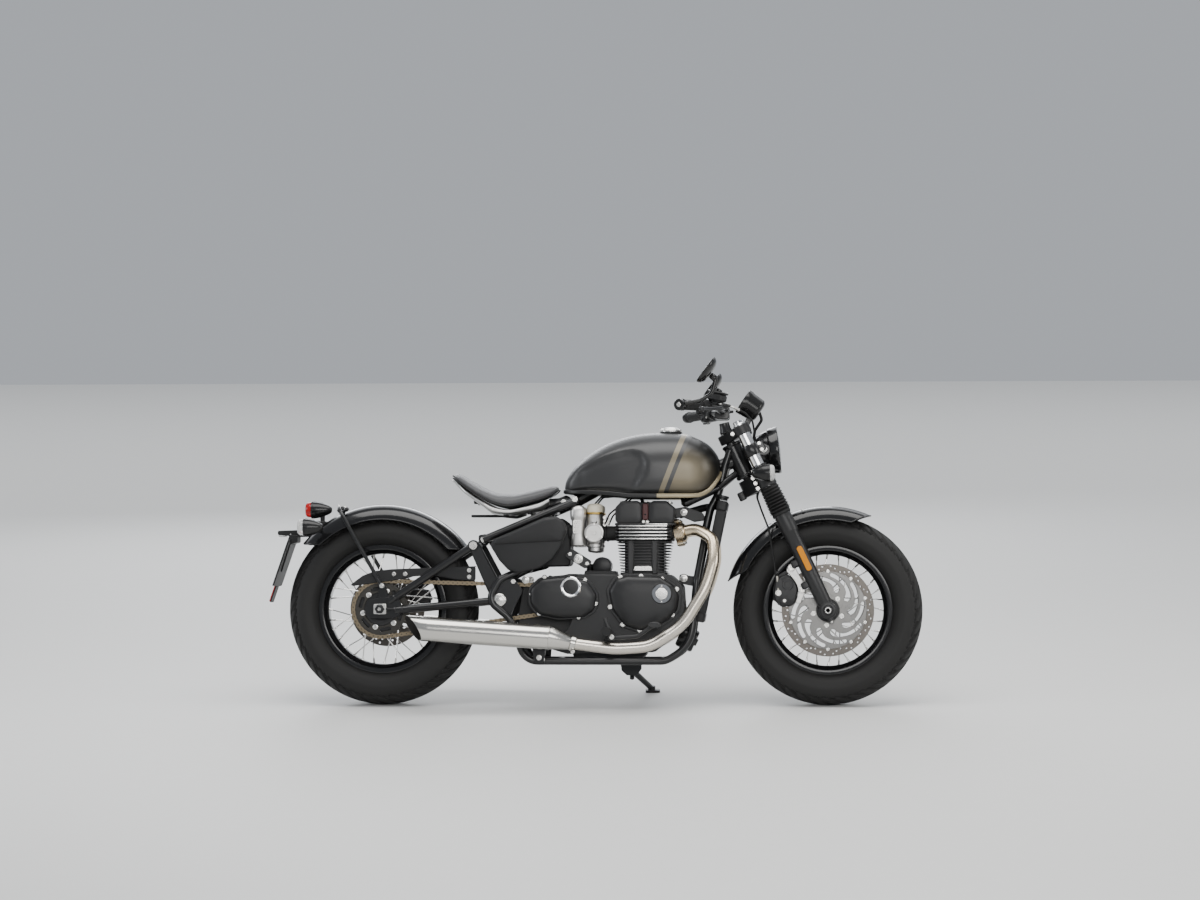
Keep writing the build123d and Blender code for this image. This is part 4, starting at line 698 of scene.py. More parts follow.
def rim_and_spokes(name, axle, bead, hub_flange, rim_spoke, hub_r, body):
    prof = [(bead + 3.6, 216), (bead + 4.0, 213), (bead + 4.0, 204), (bead + 3.0, 200.5), (bead - 4, 199), (bead - 10, 198), (bead - 14, 193),
            (bead - 19, 187.4), (bead - 21, 186.6)]
    top = [(bead - 21, 195.0), (bead - 17, 200.0), (bead - 14, 204.4), (bead + 0.4, 204.8), (bead + 0.6, 214), (bead + 1.2, 216)]
    sh = Shape()
    loop = prof + [(-a, r) for a, r in prof[::-1]] + [(-a, r) for a, r in top[::-1]] + top
    sh.lathe(loop, axle, YDIR, 0, 128, ring=True)
    for side in BOTH:
        for k in range(16):
            lead = 1 if k % 2 else -1
            hub_a = math.radians(22.5 * k + (11.25 if side > 0 else 0))
            rim_a = hub_a + lead * math.radians(45)
            end = axle + Vector((189.5 * math.cos(rim_a), side * (rim_spoke + lead * 2.6), 189.5 * math.sin(rim_a)))
            start = axle + Vector(((hub_r - 6) * math.cos(hub_a), side * (hub_flange + lead * 3.2), (hub_r - 6) * math.sin(hub_a)))
            run = (end - start).normalized()
            # the raised boss round each nipple
            sh.lathe([(0, 6.2), (1.6, 5.6), (2.6, 4.4)], end + run * 0.2, -run, 0, 14)
    sh.done(f"{name}_rim_black_rolled", body, ["gloss"], [f"{name}_rim"], "engine_black", sharp=30)
    sp = Shape()
    for side in BOTH:
        for k in range(16):
            lead = 1 if k % 2 else -1
            hub_a = math.radians(22.5 * k + (11.25 if side > 0 else 0))
            rim_a = hub_a + lead * math.radians(45)
            start = axle + Vector(((hub_r - 5) * math.cos(hub_a), side * (hub_flange + lead * 3.2), (hub_r - 5) * math.sin(hub_a)))
            end = axle + Vector((187.5 * math.cos(rim_a), side * (rim_spoke + lead * 2.6), 187.5 * math.sin(rim_a)))
            run = (end - start).normalized()
            over = start - Vector((0, side * lead * 5.5, 0))
            sp.tube(bend([over, start, end], 4.0), 1.9, 0, 8)
            sp.lathe([(0, 0), (0, 3.4), (1.2, 3.4), (2.0, 2.4), (2.2, 0)], over + Vector((0, side * lead * 1.2, 0)), Vector((0, -side * lead, 0)), 0, 12)
            sp.lathe([(0, 2.2), (1.0, 2.9), (15, 3.2), (16, 3.9), (19, 3.9)], end - run * 17, run, 0, 8)
    sp.done(f"{name}_spokes_laced", body, ["spoke"], [f"{name}_spokes"], "stainless")


def comma(angle):
    """A window in a brake disc's carrier: a round bulb near the hub, a narrow neck, and a rounded outer end further round."""
    width = table([(0, 9.2), (0.12, 9.6), (0.32, 7.0), (0.52, 5.6), (0.8, 6.4), (1.0, 6.8)])
    line = []
    for k in range(17):
        f = k / 16
        a, r = math.radians(angle + 52 * f ** 1.35), 74 + 45 * f ** 0.85
        line.append(Vector((r * math.cos(a), r * math.sin(a))))
    left, right = [], []
    for k, p in enumerate(line):
        t = (line[min(k + 1, 16)] - line[max(k - 1, 0)]).normalized()
        n, w = Vector((-t.y, t.x)), float(width(k / 16))
        left.append(tuple(p + n * w))
        right.append(tuple(p - n * w))
    ends = []
    for p, t, w in ((line[-1], (line[-1] - line[-2]).normalized(), float(width(1.0))), (line[0], (line[0] - line[1]).normalized(), float(width(0.0)))):
        n = Vector((t.y, -t.x)) if p is line[0] or True else Vector((-t.y, t.x))
        ends.append([tuple(p - n * (w * math.cos(math.pi * k / 6)) + t * (w * math.sin(math.pi * k / 6))) for k in range(1, 6)])
    return left + ends[0] + right[::-1] + ends[1]


def front_disc(side):
    """Friction ring and swept carrier of one front disc."""
    y = side * 66.0
    holes = [circle(r * math.cos(a), r * math.sin(a), 3.4, 10) for g in range(10) for r, a in
             ((135.5, math.radians(36 * g)), (142.5, math.radians(36 * g + 8)), (149, math.radians(36 * g + 14)), (135.5, math.radians(36 * g + 18)),
              (147, math.radians(36 * g + 25)), (140, math.radians(36 * g + 30)))]
    ring = pierced(circle(0, 0, 154.6, 120), [circle(0, 0, 130.4, 100)] + holes, 4.5)
    carrier = pierced(circle(0, 0, 129.8, 110), [circle(0, 0, 38.6, 60)] + [comma(31 + 36 * k) for k in range(10)], 6.0, 0.8)
    hub = Vector((750, y, 318))
    out = Vector((0, side, 0))
    sh = Shape()
    # seen from the right, the windows sweep the same way on both discs, so both use the same plane
    base = hub if side > 0 else hub - Vector((0, 4.5, 0))
    sh.put(placed(ring[0], base, XDIR, ZDIR, YDIR), ring[1], 0)
    sh.put(placed(carrier[0], base - Vector((0, 0.7, 0)), XDIR, ZDIR, YDIR), carrier[1], 1)
    for k in range(10):
        a = math.radians(36 * k + 18)
        at = hub + Vector((130.2 * math.cos(a), -side * 1.0, 130.2 * math.sin(a)))
        sh.lathe([(0, 5.6), (7.4, 5.6), (8.0, 4.8), (8.0, 2.4), (7.0, 2.2), (7.0, 0)], at, out, 2, 16)
    for k in range(5):
        a = math.radians(49 + 72 * k)
        at = hub + Vector((50 * math.cos(a), side * 5.0, 50 * math.sin(a)))
        sh.bolt(at, out, 7.0, 6.0, 2)
    return sh


def hub_shape(name, axle, prof, body, extra=None):
    sh = Shape()
    sh.lathe(prof, axle, YDIR, 0, 56, ring=True)
    if extra:
        extra(sh)
    sh.done(f"{name}_hub_turned", body, ["engine", "machined", "bolt"], [f"{name}_hub"], "engine_black")


tyre("front", FRONT_AXLE, 318.0, 65.0, 58.0, 37.0, "front_wheel")
tyre("rear", REAR_AXLE, 322.0, 75.0, 68.0, 49.0, "rear_wheel")
rim_and_spokes("front", FRONT_AXLE, 37.0, 34.0, 8.0, 56.0, "front_wheel")
rim_and_spokes("rear", REAR_AXLE, 49.0, 38.0, 12.0, 62.0, "rear_wheel")

discs = Shape()
for side in BOTH:
    one = front_disc(side)
    for f, m in zip(one.f, one.m):
        pass
    base = len(discs.v)
    discs.v.extend(one.v)
    discs.f.extend(tuple(i + base for i in f) for f in one.f)
    discs.m.extend(one.m)
discs.done("front_discs_drilled", "front_wheel", ["disc", "carrier", "bolt"], ["front_discs"], "stainless", sharp=30)


def front_hub_extra(sh):
    for side in BOTH:
        for k in range(16):
            a = math.radians(22.5 * k + (11.25 if side > 0 else 0))
        sh.lathe([(0, 27.4), (0.6, 29.0), (8, 29.5), (9, 27)], FRONT_AXLE + Vector((0, side * 28 - (0 if side < 0 else 0), 0)), Vector((0, -side, 0)), 0, 40)
    sh.lathe([(-10, 27.2), (-9, 28.6), (9, 28.6), (10, 27.2)], FRONT_AXLE, YDIR, 1, 48)


hub_shape("front", FRONT_AXLE, [(-66, 10.4), (-66, 38.2), (-60.5, 38.4), (-60, 57), (-57, 55), (-50, 38), (-44, 35), (-41, 54.6), (-39, 56), (-29.5, 56), (-28, 54.4),
                                (-24, 30), (-20, 27), (20, 27), (24, 30), (28, 54.4), (29.5, 56), (39, 56), (41, 54.6), (44, 35), (50, 38), (57, 55), (60, 57),
                                (60.5, 38.4), (66, 38.2), (66, 10.4)], "front_wheel", front_hub_extra)


def rear_hub_extra(sh):
    for k in range(6):
        a = math.radians(60 * k + 12)
        at = REAR_AXLE + Vector((63 * math.cos(a), -95.5, 63 * math.sin(a)))
        sh.bolt(at, (0, -1, 0), 7.2, 7.0, 2, "hex")
        at = REAR_AXLE + Vector((46 * math.cos(a), 93.0, 46 * math.sin(a)))
        sh.bolt(at, (0, 1, 0), 6.0, 5.0, 2)


hub_shape("rear", REAR_AXLE, [(-88.5, 10.4), (-88.5, 30), (-95.2, 30.4), (-96.0, 32), (-96.0, 52), (-94.8, 55), (-88.6, 55.6), (-88.4, 74), (-86, 76), (-78, 76), (-74, 70), (-66, 45), (-50, 41), (-45.6, 44), (-44, 60.4),
                              (-42.4, 62), (-33.6, 62), (-32, 60), (-28, 38), (-24, 36), (24, 36), (28, 38), (32, 60), (33.6, 62), (42.4, 62), (44, 60.4), (46, 41),
                              (50, 40), (74, 40), (79, 51), (80.5, 52), (87.6, 52), (88, 50), (88, 36), (92.6, 36), (93, 34), (93, 20), (88.5, 18), (88, 10.4)], "rear_wheel", rear_hub_extra)

rd = Shape()
holes = [circle(0, 0, 36.2, 48)] + [circle(r * math.cos(a), r * math.sin(a), 3.6, 10) for g in range(12) for r, a in
                                  ((98, math.radians(30 * g)), (108, math.radians(30 * g + 9)), (118, math.radians(30 * g + 17)), (103, math.radians(30 * g + 20)))]
for k in range(8):
    a = math.radians(45 * k)
    u, w = Vector((math.cos(a), math.sin(a))), Vector((-math.sin(a), math.cos(a)))
    slot_pts = [(-17, -6), (14, -9), (17, -4), (17, 4), (14, 9), (-17, 6)]
    holes.append(rounded([tuple(u * (72 + px) + w * py) for px, py in slot_pts], 4, 3))
flat = pierced(circle(0, 0, 127.2, 110), holes, 5.0)
rd.put(placed(flat[0], REAR_AXLE + Vector((0, 88, 0)), XDIR, ZDIR, YDIR), flat[1], 0)
rd.done("rear_disc_drilled", "rear_wheel", ["disc"], ["rear_disc"], "stainless", sharp=30)


def toothed(n, pitch_r, tip, root):
    out = []
    for k in range(n):
        a = 2 * math.pi * k / n
        for da, r in ((-0.5, root), (-0.30, root + 0.8), (-0.14, tip - 1.6), (-0.05, tip), (0.05, tip), (0.14, tip - 1.6), (0.30, root + 0.8)):
            t = a + da * 2 * math.pi / n
            out.append((r * math.cos(t), r * math.sin(t)))
    return out


sprocket = Shape()
holes = [circle(0, 0, 56, 60)] + [rounded([(r * math.cos(t), r * math.sin(t)) for r, t in
                                  ((66, a - 0.30), (77, a - 0.24), (77, a + 0.24), (66, a + 0.30))], 3, 3) for a in [math.radians(30 + 60 * k + 12) for k in range(6)]]
flat = pierced(toothed(37, 94.1, 97.6, 88.2), holes, 6.4, 0.7)
sprocket.put(placed(flat[0], REAR_AXLE + Vector((0, -88.6, 0)), XDIR, ZDIR, -YDIR), flat[1], 0)
sprocket.done("rear_sprocket_toothed", "rear_wheel", ["sprocket"], ["rear_sprocket"], "chain_steel", sharp=30)


# ------------------------------------------------------------------ tank
tank_top = table([(-136.5, 718), (-134, 742), (-125, 766), (-101, 801), (-71, 831), (-32, 858), (15, 883), (65, 900), (123, 912), (181, 916.4), (220, 916.5), (271, 912),
                  (309, 898), (344, 880), (371, 853), (387, 822), (391.5, 792)])
tank_low = table([(-136.5, 715), (-100, 712), (-51, 711), (46, 704), (90, 699), (181, 698), (279, 698), (317, 700), (348, 714), (371, 739), (387, 769), (391.5, 790)])
tank_half = table([(-136.5, 10), (-134, 40), (-126, 60), (-104, 84), (-70, 103), (-30, 117), (66, 135), (180, 143), (274, 141), (320, 129), (352, 108), (374, 82), (387, 50), (391.5, 8)])
KNEE = [(-200, 700), (-190, 742), (-140, 768), (-92, 799), (0, 840), (60, 858), (99, 862), (136, 850), (155, 817), (149, 777), (126, 736), (104, 700)]


def inside_by(x, z, poly):
    """How far each point lies inside a polygon (negative outside)."""
    best = np.full(x.shape, 1e9)
    within = np.zeros(x.shape, bool)
    for (x0, z0), (x1, z1) in zip(poly, poly[1:] + poly[:1]):
        t = np.clip(((x - x0) * (x1 - x0) + (z - z0) * (z1 - z0)) / ((x1 - x0) ** 2 + (z1 - z0) ** 2), 0, 1)
        best = np.minimum(best, np.hypot(x - x0 - t * (x1 - x0), z - z0 - t * (z1 - z0)))
        cross = (z0 > z) != (z1 > z)
        with np.errstate(divide="ignore", invalid="ignore"):
            at = x0 + (z - z0) * (x1 - x0) / (z1 - z0 if z1 != z0 else 1e-9)
        within ^= cross & (x < at)
    return np.where(within, best, -best)


nx, nt_ = 90, 76
us = np.linspace(0, math.pi, nx)
xs = -136.5 + (391.5 + 136.5) * (1 - np.cos(us)) / 2
top, low_, half = tank_top(xs), tank_low(xs), tank_half(xs)
mid = low_ + 0.44 * (top - low_)
ts = np.linspace(-math.pi / 2, 1.5 * math.pi, nt_, endpoint=False)
c, s_ = np.cos(ts)[None, :], np.sin(ts)[None, :]
up_, lo_ = np.maximum(s_, 0), np.maximum(-s_, 0)
n_up, n_lo = 2.25, 4.4
power = np.where(s_ >= 0, 2 / n_up, 2 / n_lo)
Y = half[:, None] * np.sign(c) * np.abs(c) ** power
Z = mid[:, None] + (top - mid)[:, None] * up_ ** (2 / n_up) - (mid - low_)[:, None] * lo_ ** (2 / n_lo)
Xg = np.repeat(xs[:, None], nt_, axis=1)
deep = np.clip(inside_by(Xg, Z, KNEE) / 26, 0, 1)
deep = deep * deep * (3 - 2 * deep)
side_on = np.clip((np.abs(Y) - 30) / 40, 0, 1)
fade = np.clip((Xg + 136) / 60, 0.25, 1)
Y = Y - np.sign(Y) * deep * side_on * 12.5 * fade
# the channel over the backbone, from below
under = (s_ < -0.25) & (np.abs(Y) < 47) & (half[:, None] > 66)
Z = np.where(under, np.minimum(Z + 52, top[:, None] - 26), Z)
tank = Shape()
grid = np.stack([Xg, Y, Z], axis=2)
tank.skin([[tuple(p) for p in row] for row in grid], 0)
tank.done("tank_body_striped", "chassis", ["tank"], ["fuel_tank"], "tank_paint", sharp=50)

lip = Shape()
for side in BOTH:
    line = []
    for k in range(3, nx - 2):
        x = xs[k]
        line.append(Vector((x, side * (tank_half(x) * 0.925 + 1.0), tank_low(x) + 3)))
    loops = []
    for i, p in enumerate(line):
        t = (line[min(i + 1, len(line) - 1)] - line[max(i - 1, 0)]).normalized()
        n = Vector((0, side, 0))
        n = (n - t * n.dot(t)).normalized()
        b = t.cross(n).normalized()
        b = b if b.z > 0 else -b
        loops.append([p + n * a + b * c2 for a, c2 in ((-5, -5), (1.5, -7.5), (4, -6.5), (4.6, -4), (4.6, 4), (3.5, 6), (-2, 7), (-5, 5))])
    lip.skin(loops, 0)
lip.done("tank_lower_lip", "chassis", ["lip"], slot="tank_paint", sharp=60)

cap = Shape()
cap.lathe([(-3, 0), (-3, 39.5), (0, 39.5), (1.4, 38.5)], (222, 0, 916.6), ZDIR, 1, 56)
cap.lathe([(1.4, 0), (1.4, 35), (3, 37), (8, 37.4), (10.5, 36), (12, 32.5), (12.8, 31.5), (14.6, 30.5), (15.6, 27), (15.0, 26), (15.0, 22), (16.8, 21), (18.0, 16), (17.4, 15), (17.4, 11), (18.6, 10), (19.0, 4), (19.0, 0)],
          (222, 0, 916.6), ZDIR, 0, 64)
cap.box((222 - 30, 0, 916.6 + 15.2), (9, 7, 1.4), 0, 0.3)
cap.done("fuel_cap_turned", "chassis", ["machined", "rubber"], ["fuel_cap"], "polished_steel", sharp=28)

# ------------------------------------------------------------------ seat
PAD = [(-512, 762), (-500, 782), (-448, 754), (-409, 733), (-358, 714), (-310, 713), (-262, 722), (-200, 736), (-166, 740),
       (-154, 728), (-176, 700), (-215, 684), (-270, 668), (-322, 658), (-356, 664), (-409, 688), (-464, 724)]
pad_top = table([(-514, 764), (-511, 774), (-500, 781.5), (-448, 756), (-409, 735), (-358, 716), (-310, 713), (-262, 721), (-200, 735), (-170, 740.5), (-158, 737), (-153, 727)])
pad_low = table([(-514, 763), (-464, 724), (-409, 688), (-356, 664), (-322, 658), (-270, 668), (-215, 684), (-176, 702), (-160, 716), (-153, 726)])
pad_half = table([(-514, 40), (-508, 66), (-486, 106), (-440, 132), (-380, 138), (-310, 124), (-250, 98), (-190, 74), (-162, 56), (-153, 30)])


def pad_loops(shrink, count=48, n=40, crown=8.0):
    loops = []
    for k in range(count + 1):
        u = (1 - math.cos(math.pi * k / count)) / 2
        x = -514 + shrink + (361 - 2 * shrink) * u
        t, l, h = float(pad_top(x)) - shrink * 0.6, float(pad_low(x)) + shrink * 0.4, float(pad_half(x)) - shrink
        t = max(t, l + 3)
        loop = []
        for j in range(n):
            a = 2 * math.pi * j / n
            c3, s3 = math.cos(a), math.sin(a)
            y = h * math.copysign(abs(c3) ** 0.62, c3)
            edge_k = (abs(y) / h) ** 3
            if s3 >= 0:
                z = l + (t - l) * (0.30 + 0.70 * s3 ** 0.62) - edge_k * crown * s3
            else:
                z = l + (t - l) * 0.30 * (1 - abs(s3) ** 0.5)
            loop.append((x, y, z))
        loops.append(loop)
    return loops


def soften(o, pressure=4.0, cap=7.0, frames=20, voxel=0.0055):
    """Lets a pad swell a little under its cover, with the movement capped, and keeps the result."""
    scene = bpy.context.scene
    start = o.data.copy()
    mod = o.modifiers.new("remesh", "REMESH")
    mod.mode, mod.voxel_size = "VOXEL", voxel
    dg = bpy.context.evaluated_depsgraph_get()
    me = bpy.data.meshes.new_from_object(o.evaluated_get(dg))
    o.modifiers.remove(mod)
    o.data = me
    rest = np.empty(len(me.vertices) * 3)
    me.vertices.foreach_get("co", rest)
    cloth = o.modifiers.new("cloth", "CLOTH")
    cs = cloth.settings
    cs.quality = 5
    cs.use_pressure = True
    cs.uniform_pressure_force = pressure
    cs.effector_weights.gravity = 0
    cs.tension_stiffness = cs.compression_stiffness = 40
    cs.shear_stiffness = 12
    cs.bending_stiffness = 1.5
    cs.use_internal_springs = True
    cs.internal_tension_stiffness = 6
    cs.internal_compression_stiffness = 6
    cloth.collision_settings.use_self_collision = False
    scene.frame_start, scene.frame_end = 1, frames
    cloth.point_cache.frame_start, cloth.point_cache.frame_end = 1, frames
    for f in range(1, frames + 1):
        scene.frame_set(f)
    dg = bpy.context.evaluated_depsgraph_get()
    out = bpy.data.meshes.new_from_object(o.evaluated_get(dg))
    moved = np.empty(len(out.vertices) * 3)
    out.vertices.foreach_get("co", moved)
    if len(moved) == len(rest) and np.isfinite(moved).all():
        step = (moved - rest).reshape(-1, 3)
        step -= np.median(step, axis=0)
        size = np.linalg.norm(step, axis=1, keepdims=True)
        step *= np.minimum(1, cap / 1000 / np.maximum(size, 1e-9))
        flat = (rest.reshape(-1, 3) + step).astype(np.float32).ravel()
        me.vertices.foreach_set("co", flat)
    me.update()
    o.modifiers.clear()
    scene.frame_set(1)
    bpy.data.meshes.remove(out)
    bpy.data.meshes.remove(start)
    return o


pad = Shape()
pad.skin(pad_loops(4.0), 0)
seat = pad.done("seat_cushion", "chassis", ["leather"], ["seat_pad"], "seat_cover", sharp=70)
soften(seat)
seat.data.materials.clear()
seat.data.materials.append(M["leather"])
smooth_it = seat.modifiers.new("smooth", "SMOOTH")
smooth_it.factor, smooth_it.iterations = 0.5, 6
sub = seat.modifiers.new("round", "SUBSURF")
sub.levels = sub.render_levels = 1
seat.data.polygons.foreach_set("use_smooth", [True] * len(seat.data.polygons))

# the piping round the pad's lower edge and the stitched line along its top edge
trim = Shape()
for side in BOTH:
    edge_line, stitch = [], []
    for k in range(60):
        u = (1 - math.cos(math.pi * k / 59)) / 2
        x = -511 + 355 * u
        t, l, h = float(pad_top(x)), float(pad_low(x)), float(pad_half(x))
        edge_line.append((x, side * (h * 0.985), l + (t - l) * 0.16))
    trim.tube(flow(edge_line, 2), 2.6, 0, 8)
trim.tube(flow([(-512, y, 771 - 0.00006 * y * y) for y in np.linspace(-48, 48, 13)], 3), 2.4, 0, 8)
trim.done("seat_piping", "chassis", ["rubber"], slot="seat_cover", sharp=60)

pan = Shape()
pan_low = table([(-519, 755), (-473, 712), (-406, 664), (-368, 639), (-323, 636), (-268, 642), (-218, 652), (-186, 672)])
pan_top = table([(-519, 758), (-512, 759), (-464, 723), (-409, 687), (-356, 663), (-322, 657), (-270, 667), (-215, 683), (-186, 697)])
loops = []
for k in range(49):
    u = (1 - math.cos(math.pi * k / 48)) / 2
    x = -519 + 333 * u
    t, l, h = float(pan_top(x)), float(pan_low(x)), float(pad_half(max(x, -513))) + 2.5
    t = max(t, l + 2)
    loops.append([(x, h * math.copysign(abs(math.cos(a)) ** 0.5, math.cos(a)), (t + l) / 2 + (t - l) / 2 * math.copysign(abs(math.sin(a)) ** (0.45 if math.sin(a) > 0 else 0.9), math.sin(a)))
                  for a in [2 * math.pi * j / 36 for j in range(36)]])
pan.skin(loops, 0)
# mounting tongue with its bolt, the strut below and the rubber feet
pan.slab(rounded([(-206, 688), (-206, 662), (-150, 667), (-121, 690), (-126, 698), (-186, 694)], 6), -31, 31, 1, 1.2)
for side in BOTH:
    pan.slab(rounded([(-214, 680), (-206, 654), (-150, 662), (-121, 684), (-118, 700), (-130, 706), (-160, 694)], 8), side * 31, side * 36, 1, 0.8)
    pan.bolt((-139, side * 36, 683), (0, side, 0), 7.5, 6, 2)
    pan.rod((-139, side * 12, 683), (-139, side * 31, 683), 9, None, 3)
    pan.tube(bend([(-452, side * 17, 636), (-350, side * 17, 636), (-300, side * 17, 631), (-268, side * 17, 642)], 30), 4.5, 1, 10)
pan.slab(rounded([(-453, 632), (-453, 640), (-350, 640), (-300, 635), (-300, 628), (-350, 633)], 3), -22, 22, 1, 0.8)
for x, z in ((-430, 690), (-330, 640), (-250, 650)):
    for side in BOTH:
        pan.lathe([(-9, 0), (-9, 8), (-2, 10), (6, 10)], (x, side * 70, float(pan_low(x)) + 4), ZDIR, 3, 20)
        pan.bolt((x, side * 40, float(pan_low(x)) + 1.5), (0, 0, -1), 5, 4, 2, "hex")
pan.done("seat_pan_silver", "chassis", ["pan", "frame", "bolt", "rubber"], ["seat_pan"], "bare_aluminium", sharp=50)


# ------------------------------------------------------------------ engine
def scaled(outline, k, cx=None, cz=None):
    cx = sum(p[0] for p in outline) / len(outline) if cx is None else cx
    cz = sum(p[1] for p in outline) / len(outline) if cz is None else cz
    return [(cx + (x - cx) * k, cz + (z - cz) * k) for x, z in outline]


def dome(sh, outline, y0, side, rows, m=0):
    """Loops of the outline stepping outwards: rows of (scale, out) from the lateral place y0 on the given side."""
    loops = [[(x, y0 + side * h, z) for x, z in scaled(outline, k)] for k, h in rows]
    sh.skin(loops, m)


CASE = [(-290, 300), (-272, 404), (-120, 440), (32, 437), (226, 437), (266, 400), (272, 320), (236, 232), (168, 178), (-120, 172), (-230, 204), (-284, 250)]
ROUND_COVER = rounded([(10, 386), (34, 428), (74, 440), (196, 437), (244, 406), (264, 366), (256, 316), (228, 284), (176, 252), (122, 243), (66, 262), (24, 318)], 26, 5)
OVAL_COVER = rounded([(-252, 392), (-214, 428), (-120, 437), (-44, 418), (-12, 370), (-22, 314), (-62, 290), (-150, 286), (-222, 300), (-250, 338)], 34, 6)
COVER_BOLTS = [(58, 429), (127, 432), (197, 422), (24, 329), (66, 270), (182, 268), (232, 303), (246, 388), (122, 252)]

case = Shape()
main = rounded(CASE, 18, 4)
case.slab(main, -74, 126, 0, 2.5)
case.slab(rounded([(-96, 438), (32, 437), (226, 437), (266, 400), (272, 320), (236, 232), (168, 178), (-120, 172), (-230, 204), (-250, 236), (-120, 250), (-100, 300)], 14, 4), -127, -74, 0, 2.5)
# the split between the case halves, ribs, sump and drain plug
case.slab(scaled(main, 1.006), -1.6, 1.6, 0, 0.4)
for x in (-90, -40, 10, 60, 110):
    case.box((x, 0, 171), (7, 150, 8), 0, 1.5)
case.slab(rounded([(-110, 176), (150, 180), (130, 158), (-96, 156)], 10), -84, 84, 0, 3)
case.lathe([(0, 13), (6, 13), (7, 11), (7, 0)], (20, 0, 157), -ZDIR, 1, 6)
case.lathe([(0, 34), (6, 38), (54, 38), (60, 34), (60, 14), (62, 12), (66, 12), (66, 0)], (252, -44, 236), Vector((0.9, 0, -0.42)), 2, 40)
# starter motor and breather behind the barrel
case.lathe([(0, 26), (3, 31), (112, 31), (118, 27), (120, 12), (124, 12), (124, 0)], (-8, -62, 466), YDIR, 0, 36)
case.rod((-52, 20, 440), (-52, 20, 474), 13, None, 0)
case.slab(rounded([(-70, 430), (-64, 452), (40, 450), (44, 430)], 6), -70, 60, 0, 2)
for x, z, y in ((267, 425, 62), (-262, 420, 100), (-226, 214, 112)):
    for side in BOTH:
        case.bolt((x, side * (y + (0 if x > 0 else 15)), z), (0, side, 0), 10, 8, 1, "hex")
for side in BOTH:
    case.rod((267, side * 20, 425), (267, side * 61, 425), 15, None, 0)
    case.slab(rounded([(252, 408), (252, 440), (300, 432), (322, 446), (326, 404), (290, 400)], 8), side * 50, side * 56, 0, 1)
# front sprocket on its shaft in the chain's pocket
case.rod((-170, -74, 356), (-170, -112, 356), 15, None, 1)
teeth = pierced(toothed(17, 45, 48.5, 39.5), [circle(0, 0, 14, 24)], 6.4, 0.6)
case.put(placed(teeth[0], (-170, -88.8, 356), XDIR, ZDIR, -YDIR), teeth[1], 3)
case.bolt((-170, -108, 356), (0, -1, 0), 14, 6, 1, "hex")
case.done("crankcase_cast", "chassis", ["engine", "bolt", "glossy_plastic", "sprocket"], ["crankcase"], "engine_black", sharp=34)

covers = Shape()
for side in BOTH:
    covers.slab(scaled(ROUND_COVER, 1.0), side * 127.5, side * 138, 0, 1.2)
    dome(covers, ROUND_COVER, side * 137.5, side, [(0.93, 0), (0.925, 7), (0.91, 13), (0.88, 18), (0.82, 22.5), (0.72, 26), (0.55, 28.2), (0.3, 29.2), (0.1, 29.4)])
    covers.slab(OVAL_COVER, side * 127.5, side * 137, 0, 1.2)
    dome(covers, OVAL_COVER, side * 136.5, side, [(0.935, 0), (0.93, 6), (0.91, 11), (0.87, 15), (0.80, 18.4), (0.66, 21), (0.45, 22.4), (0.2, 22.8)])
    for x, z in COVER_BOLTS:
        covers.lathe([(0, 9.5), (9, 9.5), (10.5, 8)], (x, side * 128, z), (0, side, 0), 0, 20)
        covers.bolt((x, side * 138.4, z), (0, side, 0), 6.4, 5.0, 1)
    for x, z in ((-240, 372), (-196, 428), (-60, 420), (-24, 340), (-82, 294), (-214, 306)):
        covers.lathe([(0, 8.5), (8.6, 8.5), (10, 7)], (x, side * 128, z), (0, side, 0), 0, 20)
        covers.bolt((x, side * 137.6, z), (0, side, 0), 5.4, 4.5, 1 if side < 0 else 2)
    # a raised round boss with a two-hole plug, and a plain ring with a bare middle
    px, pz = (197, 373) if side < 0 else (150, 350)
    face = 168.4 if side < 0 else 169.6
    covers.lathe([(0, 38), (face - 141, 35.5), (face - 138.4, 33.6), (face - 137.6, 32), (face - 137.6, 0)], (px, side * 137, pz), (0, side, 0), 0, 56)
    covers.lathe([(-3, 31.6), (0.6, 31.6), (1.2, 30.8), (1.2, 20.4), (-3, 20.4)], (px, side * face, pz), (0, side, 0), 5, 56, ring=True)
    covers.lathe([(-3, 19.6), (1.6, 19.6), (2.2, 18.8), (2.4, 12), (2.6, 0)], (px, side * face, pz), (0, side, 0), 3, 48)
    for a in (1.57, 1.57 + math.pi):
        covers.lathe([(0, 2.4), (1.2, 2.4), (1.2, 0)], (px + 25.6 * math.cos(a), side * (face + 0.8), pz + 25.6 * math.sin(a)), (0, side, 0), 1, 14)
    covers.lathe([(0, 35), (8.5, 34.5), (10.5, 32.5), (10.6, 30.5), (8.8, 28.6), (8.6, 28)], (-107, side * 151, 396), (0, side, 0), 4, 56)
    covers.lathe([(0, 28.4), (8.2, 28.4), (8.8, 24), (9.2, 0)], (-107, side * 151, 396), (0, side, 0), 0, 48)
covers.done("engine_side_covers", "chassis", ["engine", "bolt", "black_bolt", "machined", "chrome", "ring_grey"], ["engine_covers"], "engine_black", sharp=32)


def fin(x0, x1, half, corner=16):
    return rounded([(x0, -half), (x1, -half), (x1, half), (x0, half)], corner, 5)


